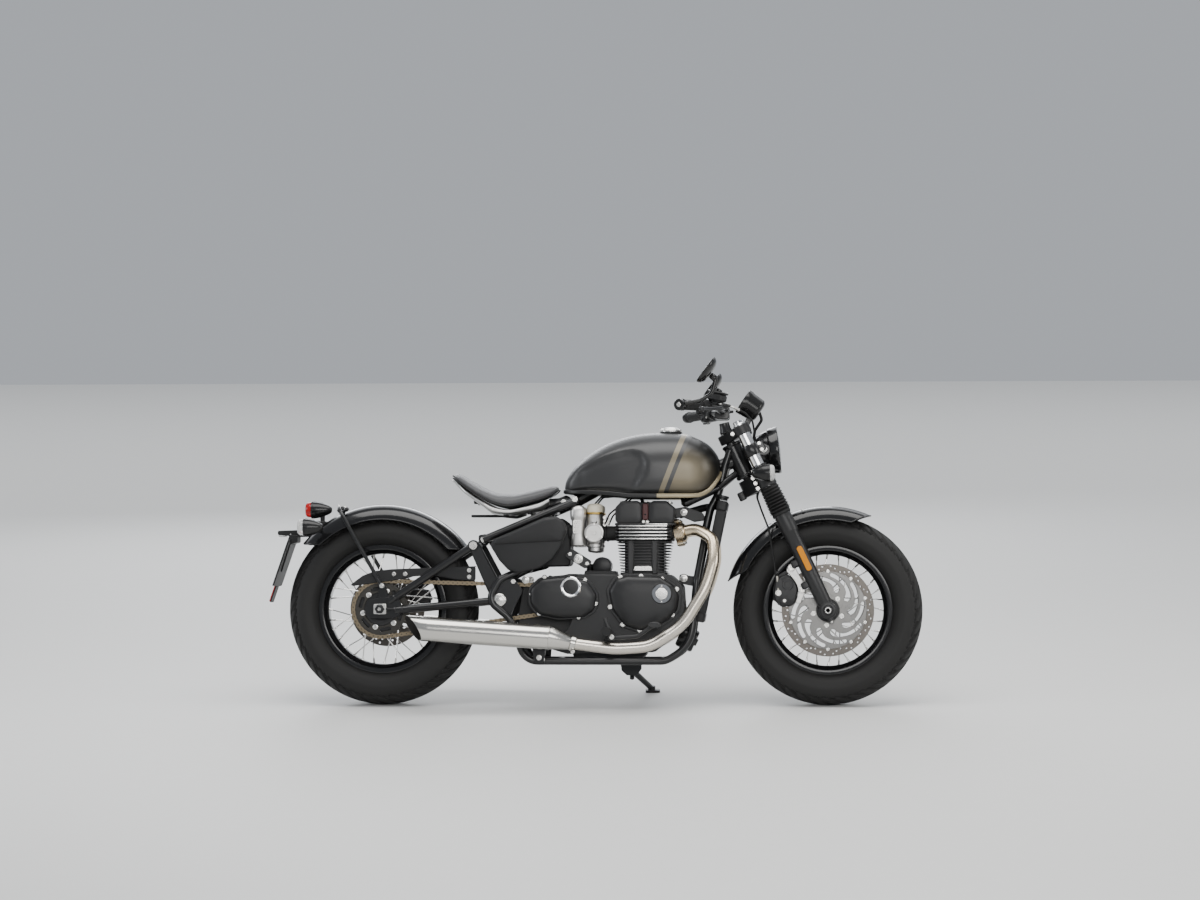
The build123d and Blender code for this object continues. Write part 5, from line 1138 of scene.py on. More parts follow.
block = Shape()
for k in range(11):
    z = 446 + 9.8 * k
    t = (z - 437) / 114
    block.plate(fin(58 - 13 * t, 209 + 20 * t, 111 + 11 * t), (0, 0, z), XDIR, YDIR, 3.2, 0, 0.7)
block.plate(fin(70, 204, 104, 24), (0, 0, 436), XDIR, YDIR, 117, 0, 1)
block.plate(fin(56, 214, 113, 12), (0, 0, 436), XDIR, YDIR, 8, 0, 1)
for side in BOTH:
    for x in (92, 172):
        block.slab(rounded([(x - 9, 438), (x + 9, 438), (x + 10, 553), (x - 10, 553)], 4), side * 100, side * 121, 0, 3)
    block.slab(rounded([(101, 450), (165, 450), (160, 465), (106, 465)], 3), side * 118, side * 124, 1, 1.0)
    for x in (106.5, 158.5):
        block.bolt((x, side * 124, 457.5), (0, side, 0), 2.6, 1.6, 2, "dome")
block.done("barrel_with_fins", "chassis", ["engine", "machined", "bolt"], ["cylinder_block"], "engine_black", sharp=34)

head = Shape()
head.plate(fin(53, 215, 114, 18), (0, 0, 551), XDIR, YDIR, 57, 0, 1.5)
for z in (554.5, 565.5, 576.5, 588, 597.5):
    head.plate(fin(41, 225, 127, 18), (0, 0, z), XDIR, YDIR, 5.4, 0, 0.8)
    for side in BOTH:
        head.plate(rounded([(52, side * 128.0), (214, side * 128.0), (214, side * 125), (52, side * 125)][::side], 0.8, 2), (0, 0, z + 0.9), XDIR, YDIR, 3.7, 1, 0.3)
for side in BOTH:
    head.box((178, side * 126, 606), (74, 3, 4), 1, 0.8)
    for dy in (0,):
        head.lathe([(0, 30), (22, 30), (25, 28)], (205, side * 66, 578), Vector((1, 0, 0.12)), 0, 36)
    head.lathe([(0, 26), (20, 26), (22, 24)], (62, side * 66, 577), -XDIR, 0, 32)
    for x, z in ((267, 647),):
        head.slab(rounded([(228, 628), (236, 660), (272, 666), (330, 646), (340, 622), (300, 616), (262, 632)], 8), side * 46, side * 52, 0, 1)
        head.bolt((x, side * 52, z), (0, side, 0), 9.5, 8, 2, "hex")
    head.rod((214, side * 49, 640), (238, side * 49, 646), 14, None, 0)
    # spark plug and its cap on each cylinder's outer side
    head.tube(bend([(140, side * 118, 636), (140, side * 92, 652), (120, side * 40, 700)], 14), 4.2, 3, 10)
head.done("head_with_machined_fins", "chassis", ["engine", "machined", "bolt", "rubber"], ["cylinder_head"], "engine_black", sharp=34)

cam_top = Shape()
LOBE_R = rounded([(40, 608), (40, 662), (62, 684), (118, 684), (128, 672), (130, 608)], 15, 5)
LOBE_F = rounded([(152, 608), (154, 672), (164, 684), (212, 684), (240, 660), (237, 608)], 15, 5)
WHOLE = rounded([(42, 607), (42, 660), (62, 680), (212, 680), (238, 658), (235, 607)], 15, 5)
for side in BOTH:
    cam_top.slab(WHOLE, side * 30, side * 108, 0, 4)
    for lobe in (LOBE_R, LOBE_F):
        dome(cam_top, lobe, side * 100, side, [(1.0, 0), (1.0, 17), (0.975, 21), (0.93, 23.4), (0.85, 24.6), (0.5, 25.4), (0.2, 25.4)])
    cam_top.slab(rounded([(131, 620), (131, 676), (151, 676), (151, 620)], 6), side * 100, side * 118, 1, 2.5)
    for x, z in ((134.5, 614), (147.5, 614)):
        cam_top.bolt((x, side * 108, z), (0, side, 0), 4.2, 4, 2)
    for x in (60, 140, 220):
        cam_top.bolt((x, side * 60, 678 if x != 140 else 680), (0, 0, 1), 7, 6, 2)
cam_top.slab(rounded([(58, 607), (58, 648), (220, 648), (220, 607)], 10), -32, 32, 0, 2)
cam_top.plate(fin(38, 242, 122, 20), (0, 0, 603), XDIR, YDIR, 7, 0, 1)
cam_top.done("cam_cover_cast", "chassis", ["engine", "darkred", "bolt"], ["cam_cover"], "engine_black", sharp=36)

# ------------------------------------------------------------------ intake
throttle = Shape()
for side in BOTH:
    y = side * 66
    throttle.lathe([(-30, 23), (0, 23), (3, 27), (8, 27), (11, 24), (40, 24), (43, 27.5), (50, 27.5), (53, 25), (66, 25)], (0, y, 577), XDIR, 1, 36)
    throttle.lathe([(-36, 24), (-32, 27), (-10, 28), (20, 29), (60, 27), (64, 24)], (-31, y, 577), ZDIR, 0, 40)
    throttle.lathe([(0, 23), (2, 27), (10, 27), (13, 24), (24, 24), (28, 20), (30, 12), (30, 0)], (-31, y, 541), -ZDIR, 0, 36)
    throttle.lathe([(0, 29), (3, 30.5), (5, 30.5), (6, 29)], (-31, y, 641), ZDIR, 3, 40)
    throttle.lathe([(0, 27), (14, 27.5), (22, 26), (27, 21), (29, 12), (29, 0)], (-31, y, 647), ZDIR, 2, 40)
    throttle.lathe([(0, 30), (18, 32), (40, 33), (44, 31), (45, 27), (43, 25), (43, 8), (46, 7), (46, 0)], (-31, side * 78, 577), (0, side, 0), 0, 44)
    for k in range(3):
        a = math.radians(90 + 120 * k)
        throttle.bolt((-31 + 28.5 * math.cos(a), side * 122, 577 + 28.5 * math.sin(a)), (0, side, 0), 3.2, 3, 4)
    # the drum behind each body: a wide rounded shoulder, a waist with its perforated patch, and a flared foot
    loops = []
    for z, hx, hy in ((531, 12, 14), (531.6, 20, 26), (536, 23.5, 32), (548, 24.5, 33.5), (562, 23, 32), (576, 20.5, 29.5), (600, 20, 29), (618, 21.5, 30.5), (626, 25.4, 33.6), (632, 26.6, 34.6),
                      (650, 26.6, 34.6), (660, 24.4, 32.6), (667, 18, 26), (669.4, 9, 14)):
        loops.append([(-86.6 + hx * math.copysign(abs(math.cos(t)) ** 0.62, math.cos(t)), side * 78 + hy * math.copysign(abs(math.sin(t)) ** 0.62, math.sin(t)), z) for t in [2 * math.pi * k / 60 for k in range(60)]])
    throttle.skin(loops, 0)
    holes = [circle(-96.6 + 6.7 * i + (3.3 if j % 2 else 0), 582 + 6.4 * j, 2.1, 12) for i in range(3) for j in range(6)]
    flat = pierced(rounded([(-102, 576), (-102, 620), (-74, 620), (-74, 576)], 4, 4), holes, 2.0, 0.4)
    throttle.put(placed(flat[0], (0, side * 107.8, 0), XDIR, ZDIR, Vector((0, side, 0))), flat[1], 4)
    throttle.slab(rounded([(-101, 577), (-101, 619), (-75, 619), (-75, 577)], 4, 4), side * 105, side * 106.6, 1, 0.4)
    throttle.rod((-31, side * 84, 612), (-31, side * 118, 620), 9, None, 0)
    for dz in (0, 12, 24):
        throttle.rod((4, side * 92, 604 + dz), (4, side * 108, 604 + dz), 5.5, None, 4)
    throttle.tube(bend([(4, side * 106, 604), (20, side * 112, 640), (90, side * 60, 700)], 20), 3, 5, 10)
    throttle.tube(bend([(-31, side * 60, 676), (-10, side * 50, 700), (80, side * 34, 706)], 16), 3, 5, 10)
airbox = rounded([(-330, 462), (-330, 512), (-214, 578), (-120, 604), (-112, 600), (-112, 466)], 14, 4)
throttle.slab(airbox, -84, 84, 6, 4)
throttle.slab(scaled(airbox, 1.012), -3, 3, 6, 1)
for side in BOTH:
    throttle.lathe([(0, 25), (4, 28), (22, 28), (26, 25)], (-120, side * 66, 577), XDIR, 5, 30)
throttle.done("throttle_bodies_cast", "chassis", ["alu", "rubber", "cream", "gold", "bolt", "rubber", "plastic"], ["throttle_bodies"], "bare_aluminium", sharp=34)

key = Shape()
key.slab(rounded([(-132, 500), (-104, 524), (-34, 480), (-60, 456)], 9, 5), -128, -121, 0, 1.2)
key.rod((-100, -86, 500), (-100, -121, 500), 9, None, 0)
key.rod((-66, -70, 478), (-66, -121, 478), 9, None, 0)
for x, z in ((-111, 506), (-54, 474)):
    key.bolt((x, -128, z), (0, -1, 0), 5.4, 4.5, 1)
key.lathe([(-30, 15), (0, 15.5), (2.4, 15.5), (3.4, 14), (3.4, 9), (2.6, 8.4), (2.6, 0)], (-83, -128, 490), -YDIR, 1, 36)
key.box((-83, -131.2, 490), (2.2, 1.0, 8), 2, 0.3)
key.done("ignition_switch_plate", "chassis", ["engine", "bolt", "rubber"], slot="black_steel", sharp=34)

# ------------------------------------------------------------------ side panels
PANEL = rounded([(-378, 536), (-364, 556), (-196, 628), (-154, 632), (-128, 614), (-118, 586), (-142, 526), (-170, 486), (-210, 458),
                 (-278, 441), (-316, 452), (-346, 484)], 22, 5)
UPPER = rounded([(-366, 537), (-358, 555), (-194, 624), (-154, 628), (-131, 612), (-122, 586), (-134, 549)], 14, 5)
panels = Shape()
for side in BOTH:
    dome(panels, PANEL, side * 146, side, [(0.97, 0), (1.0, 0.5), (1.0, 9), (0.985, 13), (0.95, 15.5), (0.88, 17), (0.5, 18.5), (0.2, 18.8)])
    dome(panels, UPPER, side * 152, side, [(1.0, 0), (1.0, 10), (0.985, 13.5), (0.94, 16), (0.8, 18), (0.5, 19.5), (0.2, 19.8)])
    for x, z in ((-308, 500), (-172, 560), (-236, 484)):
        panels.rod((x, side * 84, z), (x, side * 146, z), 7, None, 1)
panels.done("side_panels_moulded", "chassis", ["plastic", "rubber"], ["side_panels"], "black_plastic", sharp=40)

# ------------------------------------------------------------------ radiator
rad = Shape()
R0, R1 = Vector((400, 0, 684)), Vector((317, 0, 280))
RUN = (R1 - R0).normalized()
OUT = Vector((-RUN.z, 0, RUN.x)).normalized()
OUT = OUT if OUT.x > 0 else -OUT
tall = (R1 - R0).length
rad.box(R0 + RUN * (tall / 2), (22, 130, tall - 40), 0, 1, ux=OUT, uz=-RUN)
for k in range(46):
    at = R0 + RUN * (36 + k * (tall - 72) / 45)
    rad.box(at + OUT * 0, (27, 132, 2.4), 0, 0.5, ux=OUT, uz=-RUN)
for y in range(-60, 61, 8):
    rad.box(R0 + RUN * (tall / 2) + Vector((0, y, 0)), (25.5, 1.2, tall - 60), 0, 0.3, ux=OUT, uz=-RUN)
for side in BOTH:
    rad.box(R0 + RUN * (tall / 2) + Vector((0, side * 70, 0)), (34, 10, tall), 1, 2, ux=OUT, uz=-RUN)
for at in (R0 + RUN * 16, R1 - RUN * 16):
    rad.box(at, (38, 168, 34), 1, 5, ux=OUT, uz=-RUN)
rad.lathe([(0, 19), (6, 19), (8, 22), (14, 22), (16, 19), (16, 0)], R0 + Vector((-4, -52, 4)), -RUN, 2, 30)
rad.tube(bend([tuple(R0 + Vector((-14, 60, -12))), tuple(R0 + Vector((-70, 56, -20))), (250, 40, 640)], 24), 13, 3, 14)
rad.tube(bend([tuple(R1 + Vector((-10, -58, 16))), (284, -64, 262), (256, -70, 250)], 20), 13, 3, 14)
rad.done("radiator_finned", "chassis", ["core", "plastic", "black_bolt", "rubber"], ["radiator"], "engine_black", sharp=34)

# ------------------------------------------------------------------ exhausts
HEADER = [(244.5, 66, 578), (310, 76, 592), (368, 116, 556), (370, 150, 484), (344, 170, 392), (268, 176, 268), (158, 182, 197), (40, 190, 190), (-96, 203, 208)]
pipes, cans = Shape(), Shape()
for side in BOTH:
    line = eased(bend([(x, side * y, z) for x, y, z in HEADER], (48, 48, 60, 160, 120, 120, 200), 5))
    pipes.tube(line, 20, 0, 26)
    d = (Vector(HEADER[1]) - Vector(HEADER[0]))
    d = Vector((d.x, side * d.y, d.z)).normalized()
    o = Vector((HEADER[0][0], side * HEADER[0][1], HEADER[0][2]))
    ribs = [(-6, 30)]
    for k in range(5):
        ribs += [(k * 5.4 - 4, 34), (k * 5.4 - 1.2, 34), (k * 5.4 - 0.6, 31), (k * 5.4 + 0.8, 31)]
    pipes.lathe(ribs + [(25, 29), (29, 26), (31, 21), (31, 18)], o, d, 1, 40)
    for dz in (-1, 1):
        u, w = frame_of(d, ZDIR)
        at = o + u * (36 * dz) + d * 2
        pipes.lathe([(-8, 9.5), (12, 9.5), (14, 8)], at, d, 1, 24)
        pipes.bolt(at + d * 14, d, 5, 7, 2, "hex")
    front = Vector((-96, side * 203, 208))
    tail = Vector((-700, side * 214, 264))
    neck = Vector((-176, front.y + (tail.y - front.y) * 80 / 604, 228))
    body = (tail - neck).normalized()
    cone = (neck - front).normalized()
    # cone, then the parallel body with its seams, cut on the slant and open behind
    cans.lathe([(-10, 21), (-8, 23.5), (6, 24), (8, 22.4), (10, 24), (82.4, 41)], front, cone, 0, 56)
    cans.lathe([(-2.5, 41), (-1.4, 42.2), (1.4, 42.2), (2.5, 41)], neck, body, 0, 56, ring=False)
    u, w = frame_of(body, ZDIR)
    n, loops = 56, []

    def ringat(a, r):
        out = []
        for k in range(n):
            q = u * math.cos(2 * math.pi * k / n) * r + w * math.sin(2 * math.pi * k / n) * r
            p = neck + body * a + q
            # the slant plane: the top and the inner side stand furthest back
            limit = -629 + (265 - p.z) * 0.573 + (side * p.y - 214) * 0.49
            if p.x < limit:
                p = p + body * ((limit - p.x) / body.x)
            out.append(p)
        return out

    full = (tail - neck).length
    for a in np.linspace(0, 400, 6):
        loops.append(ringat(float(a), 41))
    loops.append(ringat(full, 41))
    lip_loop = ringat(full, 40.6)
    loops.append([p + body * 0.8 for p in lip_loop])
    loops.append([p + body * 0.2 for p in ringat(full, 38.8)])
    cans.skin(loops, 0, caps=False)
    inner = [ringat(full, 38.8), ringat(float(full - 120), 38.4), ringat(float(full - 170), 38.2)]
    inner[0] = [p + body * 0.2 for p in inner[0]]
    inner.append(ringat(float(full - 171), 17))
    inner.append(ringat(float(full - 134), 16.6))
    inner.append(ringat(float(full - 134), 14.4))
    inner.append(ringat(float(full - 300), 14))
    cans.skin(inner, 1, caps=False)
    end = inner[-1]
    cans.put(end, [tuple(range(n))], 1)
    # clamp with its screw, and the hanger's lug
    cans.lathe([(-14, 25), (-13, 26.2), (1, 26.6), (2, 25.4)], front + cone * 6, cone, 0, 48)
    cans.box(front + Vector((0, side * 8, -27)), (14, 26, 7), 2, 1)
    cans.bolt(front + Vector((0, side * 20, -27)), (0, side, 0), 5, 6, 2, "hex")
    cans.slab(rounded([(-236, 204), (-190, 204), (-198, 142), (-228, 142)], 8), side * 148.4, side * 154, 3, 1)
    cans.bolt((-213, side * 154, 160), (0, side, 0), 7, 7, 2, "hex")
    cans.rod((-213, side * 150, 196), (-213, side * 176, 206), 9, None, 3)
pipes.done("exhaust_headers_bent", "chassis", ["header", "header", "bolt"], ["exhaust_headers"], "stainless", sharp=34)
cans.done("mufflers_slash_cut", "chassis", ["brushed", "inside", "bolt", "frame"], ["mufflers"], "stainless", sharp=34)


# ------------------------------------------------------------------ fork
sliders, gaiters, tubes = Shape(), Shape(), Shape()
for side in BOTH:
    foot = fork(0, 0, side * FORK_Y)
    sliders.lathe([(20, 22), (30, 24.5), (148, 26), (200, 26), (286, 26), (290, 28.5), (296, 29.2), (340, 29.2), (352, 28.6), (358, 27), (360, 24), (360, 22)], foot, UP, 0, 48)
    sliders.lathe([(-26.5, 25), (-25, 28), (-18, 29), (18, 29), (24.5, 28), (26, 25), (26, 17), (24, 15), (24, 0)][:8] + [(24, 10.6), (-26.5, 10.6)], FRONT_AXLE + Vector((0, side * FORK_Y, 0)), Vector((0, side, 0)), 0, 44, ring=True)
    # axle clamp lugs, caliper lugs and a pad for the reflector
    sliders.box(fork(-30, -6, side * FORK_Y), (20, 40, 16), 0, 2, ux=AHEAD, uz=UP)
    for dy in (-9, 9):
        sliders.bolt(fork(-38, -6, side * FORK_Y + dy), -UP, 4.2, 5, 1)
    for t in (108, 187):
        sliders.box(fork(t, -32, side * FORK_Y), (28, 20, 24), 0, 4, ux=AHEAD, uz=UP)
    sliders.box(fork(190, 3, side * (FORK_Y + 25)), (20, 6, 92), 0, 1.5, ux=AHEAD, uz=UP)
    # rubber gaiter: eight round folds between two collars
    prof = [(356, 30.5), (358, 32.5), (364, 32.5), (366, 30)]
    for k in range(8):
        t, wide = 368 + 10.8 * k, 36.2 - 0.55 * k
        prof += [(t, 28.2), (t + 2.2, 30.5), (t + 4.0, wide), (t + 5.4, wide + 0.5), (t + 6.8, wide), (t + 8.6, 30.5)]
    prof += [(454.5, 28), (455, 29.5), (458, 29.5), (458, 22), (356, 22)]
    gaiters.lathe(prof, foot, UP, 0, 48, ring=True)
    tubes.lathe([(356, 0), (356, 21.4), (688, 21.4), (689.5, 20.4), (690, 19), (690.5, 19), (691, 18.6), (699, 18), (701, 16), (701, 9), (697, 8.4), (697, 0)], foot, UP, 0, 44)
    tubes.lathe([(0, 8.6), (2, 8.6), (2, 0)], foot + UP * 696, UP, 1, 6)
sliders.done("fork_sliders_cast", "steering", ["engine", "bolt"], ["fork_sliders"], "engine_black", sharp=34)
gaiters.done("fork_gaiters_folded", "steering", ["rubber"], ["fork_gaiters"], "black_rubber", sharp=40)
tubes.done("fork_tubes_polished", "steering", ["chrome", "black_bolt"], ["fork_tubes"], "polished_steel", sharp=30)

refl = Shape()
for side in BOTH:
    refl.plate(rounded([(-9.5, -44), (9.5, -44), (9.5, 44), (-9.5, 44)], 8, 6), fork(190, 3, side * (FORK_Y + 28.6)), AHEAD, UP, -side * 3.6, 0, 1.3)
    refl.plate(rounded([(-11, -46), (11, -46), (11, 46), (-11, 46)], 9, 6), fork(190, 3, side * (FORK_Y + 27.0)), AHEAD, UP, -side * 2.4, 1, 0.8)
refl.done("fork_side_reflectors", "steering", ["amber", "plastic"], slot="black_gloss")

yokes = Shape()


def yoke_outline(clamp_r, boss_r, front):
    pts = []
    for side in (1, -1):
        ring = []
        for k in range(17):
            a = math.radians(-60 + 200 * k / 16)
            ring.append((clamp_r * math.cos(a), side * (FORK_Y + clamp_r * math.sin(a))))
        pts.append(ring)
    left, right = pts
    back = [(-53 - boss_r * math.cos(math.radians(d)), boss_r * math.sin(math.radians(d))) for d in range(-60, 61, 12)]
    nose = [(front, -46), (front - 6, -20), (front - 6, 20), (front, 46)]
    return nose + left + back[::-1] + right[::-1]


for low, high, clamp_r, boss_r, front in ((458.5, 515, 31, 34, 14), (652, 684, 30, 32, 12)):
    out = yoke_outline(clamp_r, boss_r, front)
    yokes.plate(out, stem(low, 53), AHEAD, YDIR, high - low, 0, 2.2)
for side in BOTH:
    # pinch bolts: three low, one high, and the slot between the ears
    for t in (467, 486, 505):
        at = fork(t, -37, side * (FORK_Y + 4))
        yokes.box(fork(t, -34, side * (FORK_Y - 2)), (16, 28, 15), 0, 2, ux=AHEAD, uz=UP)
        yokes.bolt(fork(t, -36, side * (FORK_Y + 12)), Vector((0, side, 0)), 5.6, 7, 1)
    yokes.box(fork(668, -33, side * (FORK_Y - 2)), (15, 28, 20), 0, 2, ux=AHEAD, uz=UP)
    yokes.bolt(fork(668, -34, side * (FORK_Y + 12)), Vector((0, side, 0)), 5.6, 7, 1)
yokes.lathe([(458, 15), (700, 15)], stem(0), UP, 0, 30)
yokes.lathe([(684, 20), (686, 21), (694, 21), (695, 19)], stem(0), UP, 1, 6)
yokes.lathe([(694, 14), (700, 13.4), (701, 12), (701, 0)], stem(0), UP, 1, 30)
# the steering stop behind the lower yoke
yokes.box(stem(470, -42), (26, 34, 30), 0, 3, ux=AHEAD, uz=UP)
yokes.done("triple_clamps_cast", "steering", ["engine", "bolt"], ["triple_clamps"], "engine_black", sharp=36)

ears = Shape()
for side in BOTH:
    c = fork(592, 0, side * FORK_Y)
    ears.lathe([(-20, 22), (-20, 26), (-18, 27.4), (18, 27.4), (20, 26), (20, 22)], c, UP, 0, 40)
    ears.box(fork(592, 33, side * 88), (30, 15, 34), 0, 2.5, ux=AHEAD, uz=UP)
    for t in (581, 603):
        ears.bolt(fork(t, 33, side * 95.6), Vector((0, side, 0)), 5, 5, 1)
    ears.slab(rounded([(494, 842), (540, 838), (556, 846), (556, 868), (540, 876), (494, 876)], 8), side * 76.6, side * 82.4, 0, 1)
    ears.bolt((538, side * 82.4, 857), Vector((0, side, 0)), 8, 6, 1, "hex")
ears.done("lamp_brackets_pressed", "steering", ["frame", "bolt"], ["lamp_brackets"], "black_steel", sharp=36)

axle_s = Shape()
axle_s.lathe([(-140, 6), (-140, 13.5), (-138.6, 15), (-135, 15), (-134.5, 10), (134.5, 10), (135, 15), (138.6, 15), (140, 13.5), (140, 6)], FRONT_AXLE, YDIR, 0, 40, ring=True)
for side in BOTH:
    axle_s.lathe([(67, 10.2), (67, 16), (80.5, 16), (81, 15), (81, 10.2)], FRONT_AXLE, Vector((0, side, 0)), 0, 36, ring=True)
for side in BOTH:
    axle_s.lathe([(138.4, 7.2), (140.4, 7.6), (140.4, 9.8), (138.4, 10.4)], FRONT_AXLE, Vector((0, side, 0)), 1, 36, ring=True)
axle_s.done("front_axle_turned", "steering", ["black_bolt", "bolt"], ["front_axle"], "black_steel", sharp=34)

# ------------------------------------------------------------------ bar and controls
END, BENDP, INNER = Vector((272, -400, 990)), Vector((378, -190, 996)), Vector((396, -90, 986))
GRIP = (END - BENDP).normalized()


def bar(distance, up=0.0, ahead=0.0, side=-1):
    """A point that far in from the bar's end along the grip, offset square to it."""
    p = END - GRIP * distance
    out = Vector((-GRIP.y, GRIP.x, 0)).normalized()
    if out.x < 0:
        out = -out
    p = p + out * ahead + Vector((0, 0, up))
    return Vector((p.x, p.y if side < 0 else -p.y, p.z))


barm = Shape()
half_line = [END, BENDP, INNER]
barm.tube(bend([*half_line, *[Vector((p.x, -p.y, p.z)) for p in half_line[::-1]]], (60, 60, 60, 60), 5), 12.7, 0, 26)
for side in BOTH:
    base = stem(684, 2, side * 46)
    barm.lathe([(0, 21), (2, 22), (16, 19), (26, 17.5), (34, 17.5)], base, Vector((398, side * 46, 966)) - base, 0, 36)
    barm.slab(rounded([(372, 960), (420, 960), (422, 985), (370, 985)], 8), side * 29, side * 63, 0, 3)
    barm.slab(rounded([(370, 987), (422, 987), (420, 1006), (408, 1012), (384, 1012), (372, 1006)], 8), side * 29, side * 63, 0, 3)
    for x in (378, 414):
        for dy in (37, 55):
            barm.bolt((x, side * dy, 1008), ZDIR, 4.2, 5, 1)
barm.done("handlebar_with_risers", "steering", ["frame", "bolt"], ["handlebar"], "black_steel", sharp=36)

gripm = Shape()
for side in BOTH:
    a = bar(126, side=side)
    d = (bar(0, side=side) - a).normalized()
    prof = [(0, 12.9), (0, 19.5), (2, 20.5), (5, 20.5), (6, 17.2)]
    for k in range(13):
        t = 12 + 7.4 * k
        prof += [(t, 17.3), (t + 0.8, 16.4), (t + 2.0, 16.4), (t + 2.8, 17.3)]
    prof += [(116, 17.4), (119, 19.5), (122, 19.8), (124, 18.8), (124, 12.9)]
    gripm.lathe(prof, a, d, 0, 40, ring=True)
gripm.done("grips_ribbed", "steering", ["rubber"], ["grips"], "black_rubber", sharp=34)

ctrl = Shape()
for side in BOTH:
    g = (bar(0, side=side) - bar(100, side=side)).normalized()
    # switch housing in two halves, with its buttons
    ctrl.lathe([(-19, 19), (-18, 21.5), (-0.8, 22.4), (-0.4, 21.8), (0.4, 21.8), (0.8, 22.4), (17, 21.5), (19, 19)], bar(149, side=side), g, 0, 40)
    ctrl.box(bar(150, up=-16, ahead=-8, side=side), (26, 34, 26), 0, 5, ux=g.cross(ZDIR).normalized(), uz=ZDIR)
    ctrl.box(bar(150, up=2, ahead=-22, side=side), (6, 18, 10), 2 if side < 0 else 3, 1.5, ux=g.cross(ZDIR).normalized(), uz=ZDIR)
    ctrl.box(bar(150, up=-18, ahead=-22.5, side=side), (5, 14, 8), 3, 1.5, ux=g.cross(ZDIR).normalized(), uz=ZDIR)
    ctrl.lathe([(0, 6), (4, 6), (5, 5), (5, 0)], bar(138, up=-30, ahead=-6, side=side), -ZDIR, 3, 18)
    # perch, clamp and lever
    ctrl.lathe([(-11, 16), (-10, 19.5), (10, 19.5), (11, 16)], bar(181, side=side), g, 0, 36)
    for u2 in (13, -13):
        ctrl.bolt(bar(181, up=u2, ahead=-18, side=side), -g.cross(ZDIR).normalized() if (g.cross(ZDIR)).x > 0 else g.cross(ZDIR).normalized(), 3.6, 4, 1)
    ctrl.tube(flow([bar(181, side=side), bar(180, up=-4, ahead=24, side=side), bar(178, up=-8, ahead=46, side=side)], 5), [12, 12.5, 12, 11.5, 11, 10.5, 10, 9.6, 9.2, 9, 9], 0, 20)
    lever = flow([bar(180, up=-8, ahead=47, side=side), bar(162, up=-9, ahead=58, side=side), bar(130, up=-11, ahead=61, side=side), bar(95, up=-13, ahead=58, side=side),
                  bar(60, up=-14, ahead=57, side=side), bar(34, up=-15, ahead=61, side=side), bar(18, up=-16, ahead=66, side=side)], 6)
    n = len(lever)
    ctrl.tube(lever, [8.5 - 3.6 * min(1, k / (n * 0.35)) + (1.6 if k > n * 0.8 else 0) for k in range(n)], 4, 16, wide=1.35, ref=ZDIR)
    tip = bar(12, up=-16, ahead=67, side=side)
    ctrl.lathe([(-9, 0), (-8.4, 3.6), (-6.4, 6.6), (-3.4, 8.6), (0, 9), (3.4, 8.6), (6.4, 6.6), (8.4, 3.6), (9, 0)], tip, g, 4, 24)
    ctrl.bolt(bar(180, up=4, ahead=46, side=side), ZDIR, 5.5, 4, 1, "hex")
    if side < 0:
        c, ux, uz = bar(186, up=14, ahead=30, side=side), Vector((1, -0.45, -0.18)).normalized(), Vector((0.18, 0, 1)).normalized()
        ux = (ux - uz * ux.dot(uz)).normalized()
        ctrl.box(c + uz * 13, (60, 44, 26), 0, 6, ux=ux, uz=uz)
        ctrl.box(c + uz * 29, (62, 46, 7), 0, 3, ux=ux, uz=uz)
        for dx, dy in ((-25, -17), (25, -17), (-25, 17), (25, 17)):
            ctrl.bolt(c + uz * 32.4 + ux * dx + uz.cross(ux) * dy, uz, 3.2, 1.8, 1, "dome")
        ctrl.lathe([(0, 8.5), (1.5, 8.5), (1.5, 0)], c + uz * 13 - ux * 30, -ux, 5, 24)
        ctrl.rod(c + uz * 8 + ux * 12, bar(181, up=-2, ahead=14, side=side), 12, None, 0)
    else:
        ctrl.tube([bar(186, up=0, ahead=10, side=side), bar(186, up=6, ahead=60, side=side)], 8, 0, 18)
        ctrl.lathe([(0, 7), (8, 7), (10, 5.5), (22, 4.6)], bar(186, up=6, ahead=58, side=side), (bar(186, up=10, ahead=100, side=side) - bar(186, up=6, ahead=58, side=side)), 3, 20)
ctrl.done("hand_controls_detailed", "steering", ["plastic", "bolt", "red", "rubber", "black_bolt", "clear"], ["hand_controls"], "black_plastic", sharp=36)

# the brake hose's steel end pipe, from the banjo on the master cylinder to the hose
pipe = Shape()
pipe.tube(flow([(394, -243, 1000), (412, -239.5, 998), (427, -230, 994.4)], 6), 4.7, 1, 14)
pipe.tube(flow([(423, -233, 995.4), (440, -219, 990), (456, -201, 983)], 6), 3.9, 0, 14)
pipe.lathe([(-9, 0), (-9, 5.4), (8, 5.4), (8, 0)], (450, -208, 985.4), Vector((0.63, 0.70, -0.30)), 0, 20)
pipe.lathe([(-5, 0), (-5, 8.0), (-4, 8.8), (4, 8.8), (5, 8.0), (5, 0)], (396, -243, 1000), ZDIR, 1, 28)
pipe.bolt((396, -243, 1005), ZDIR, 6.2, 5, 1, "hex")
pipe.done("brake_hose_end_pipe", "steering", ["bolt", "black_bolt"], slot="polished_steel", sharp=34)

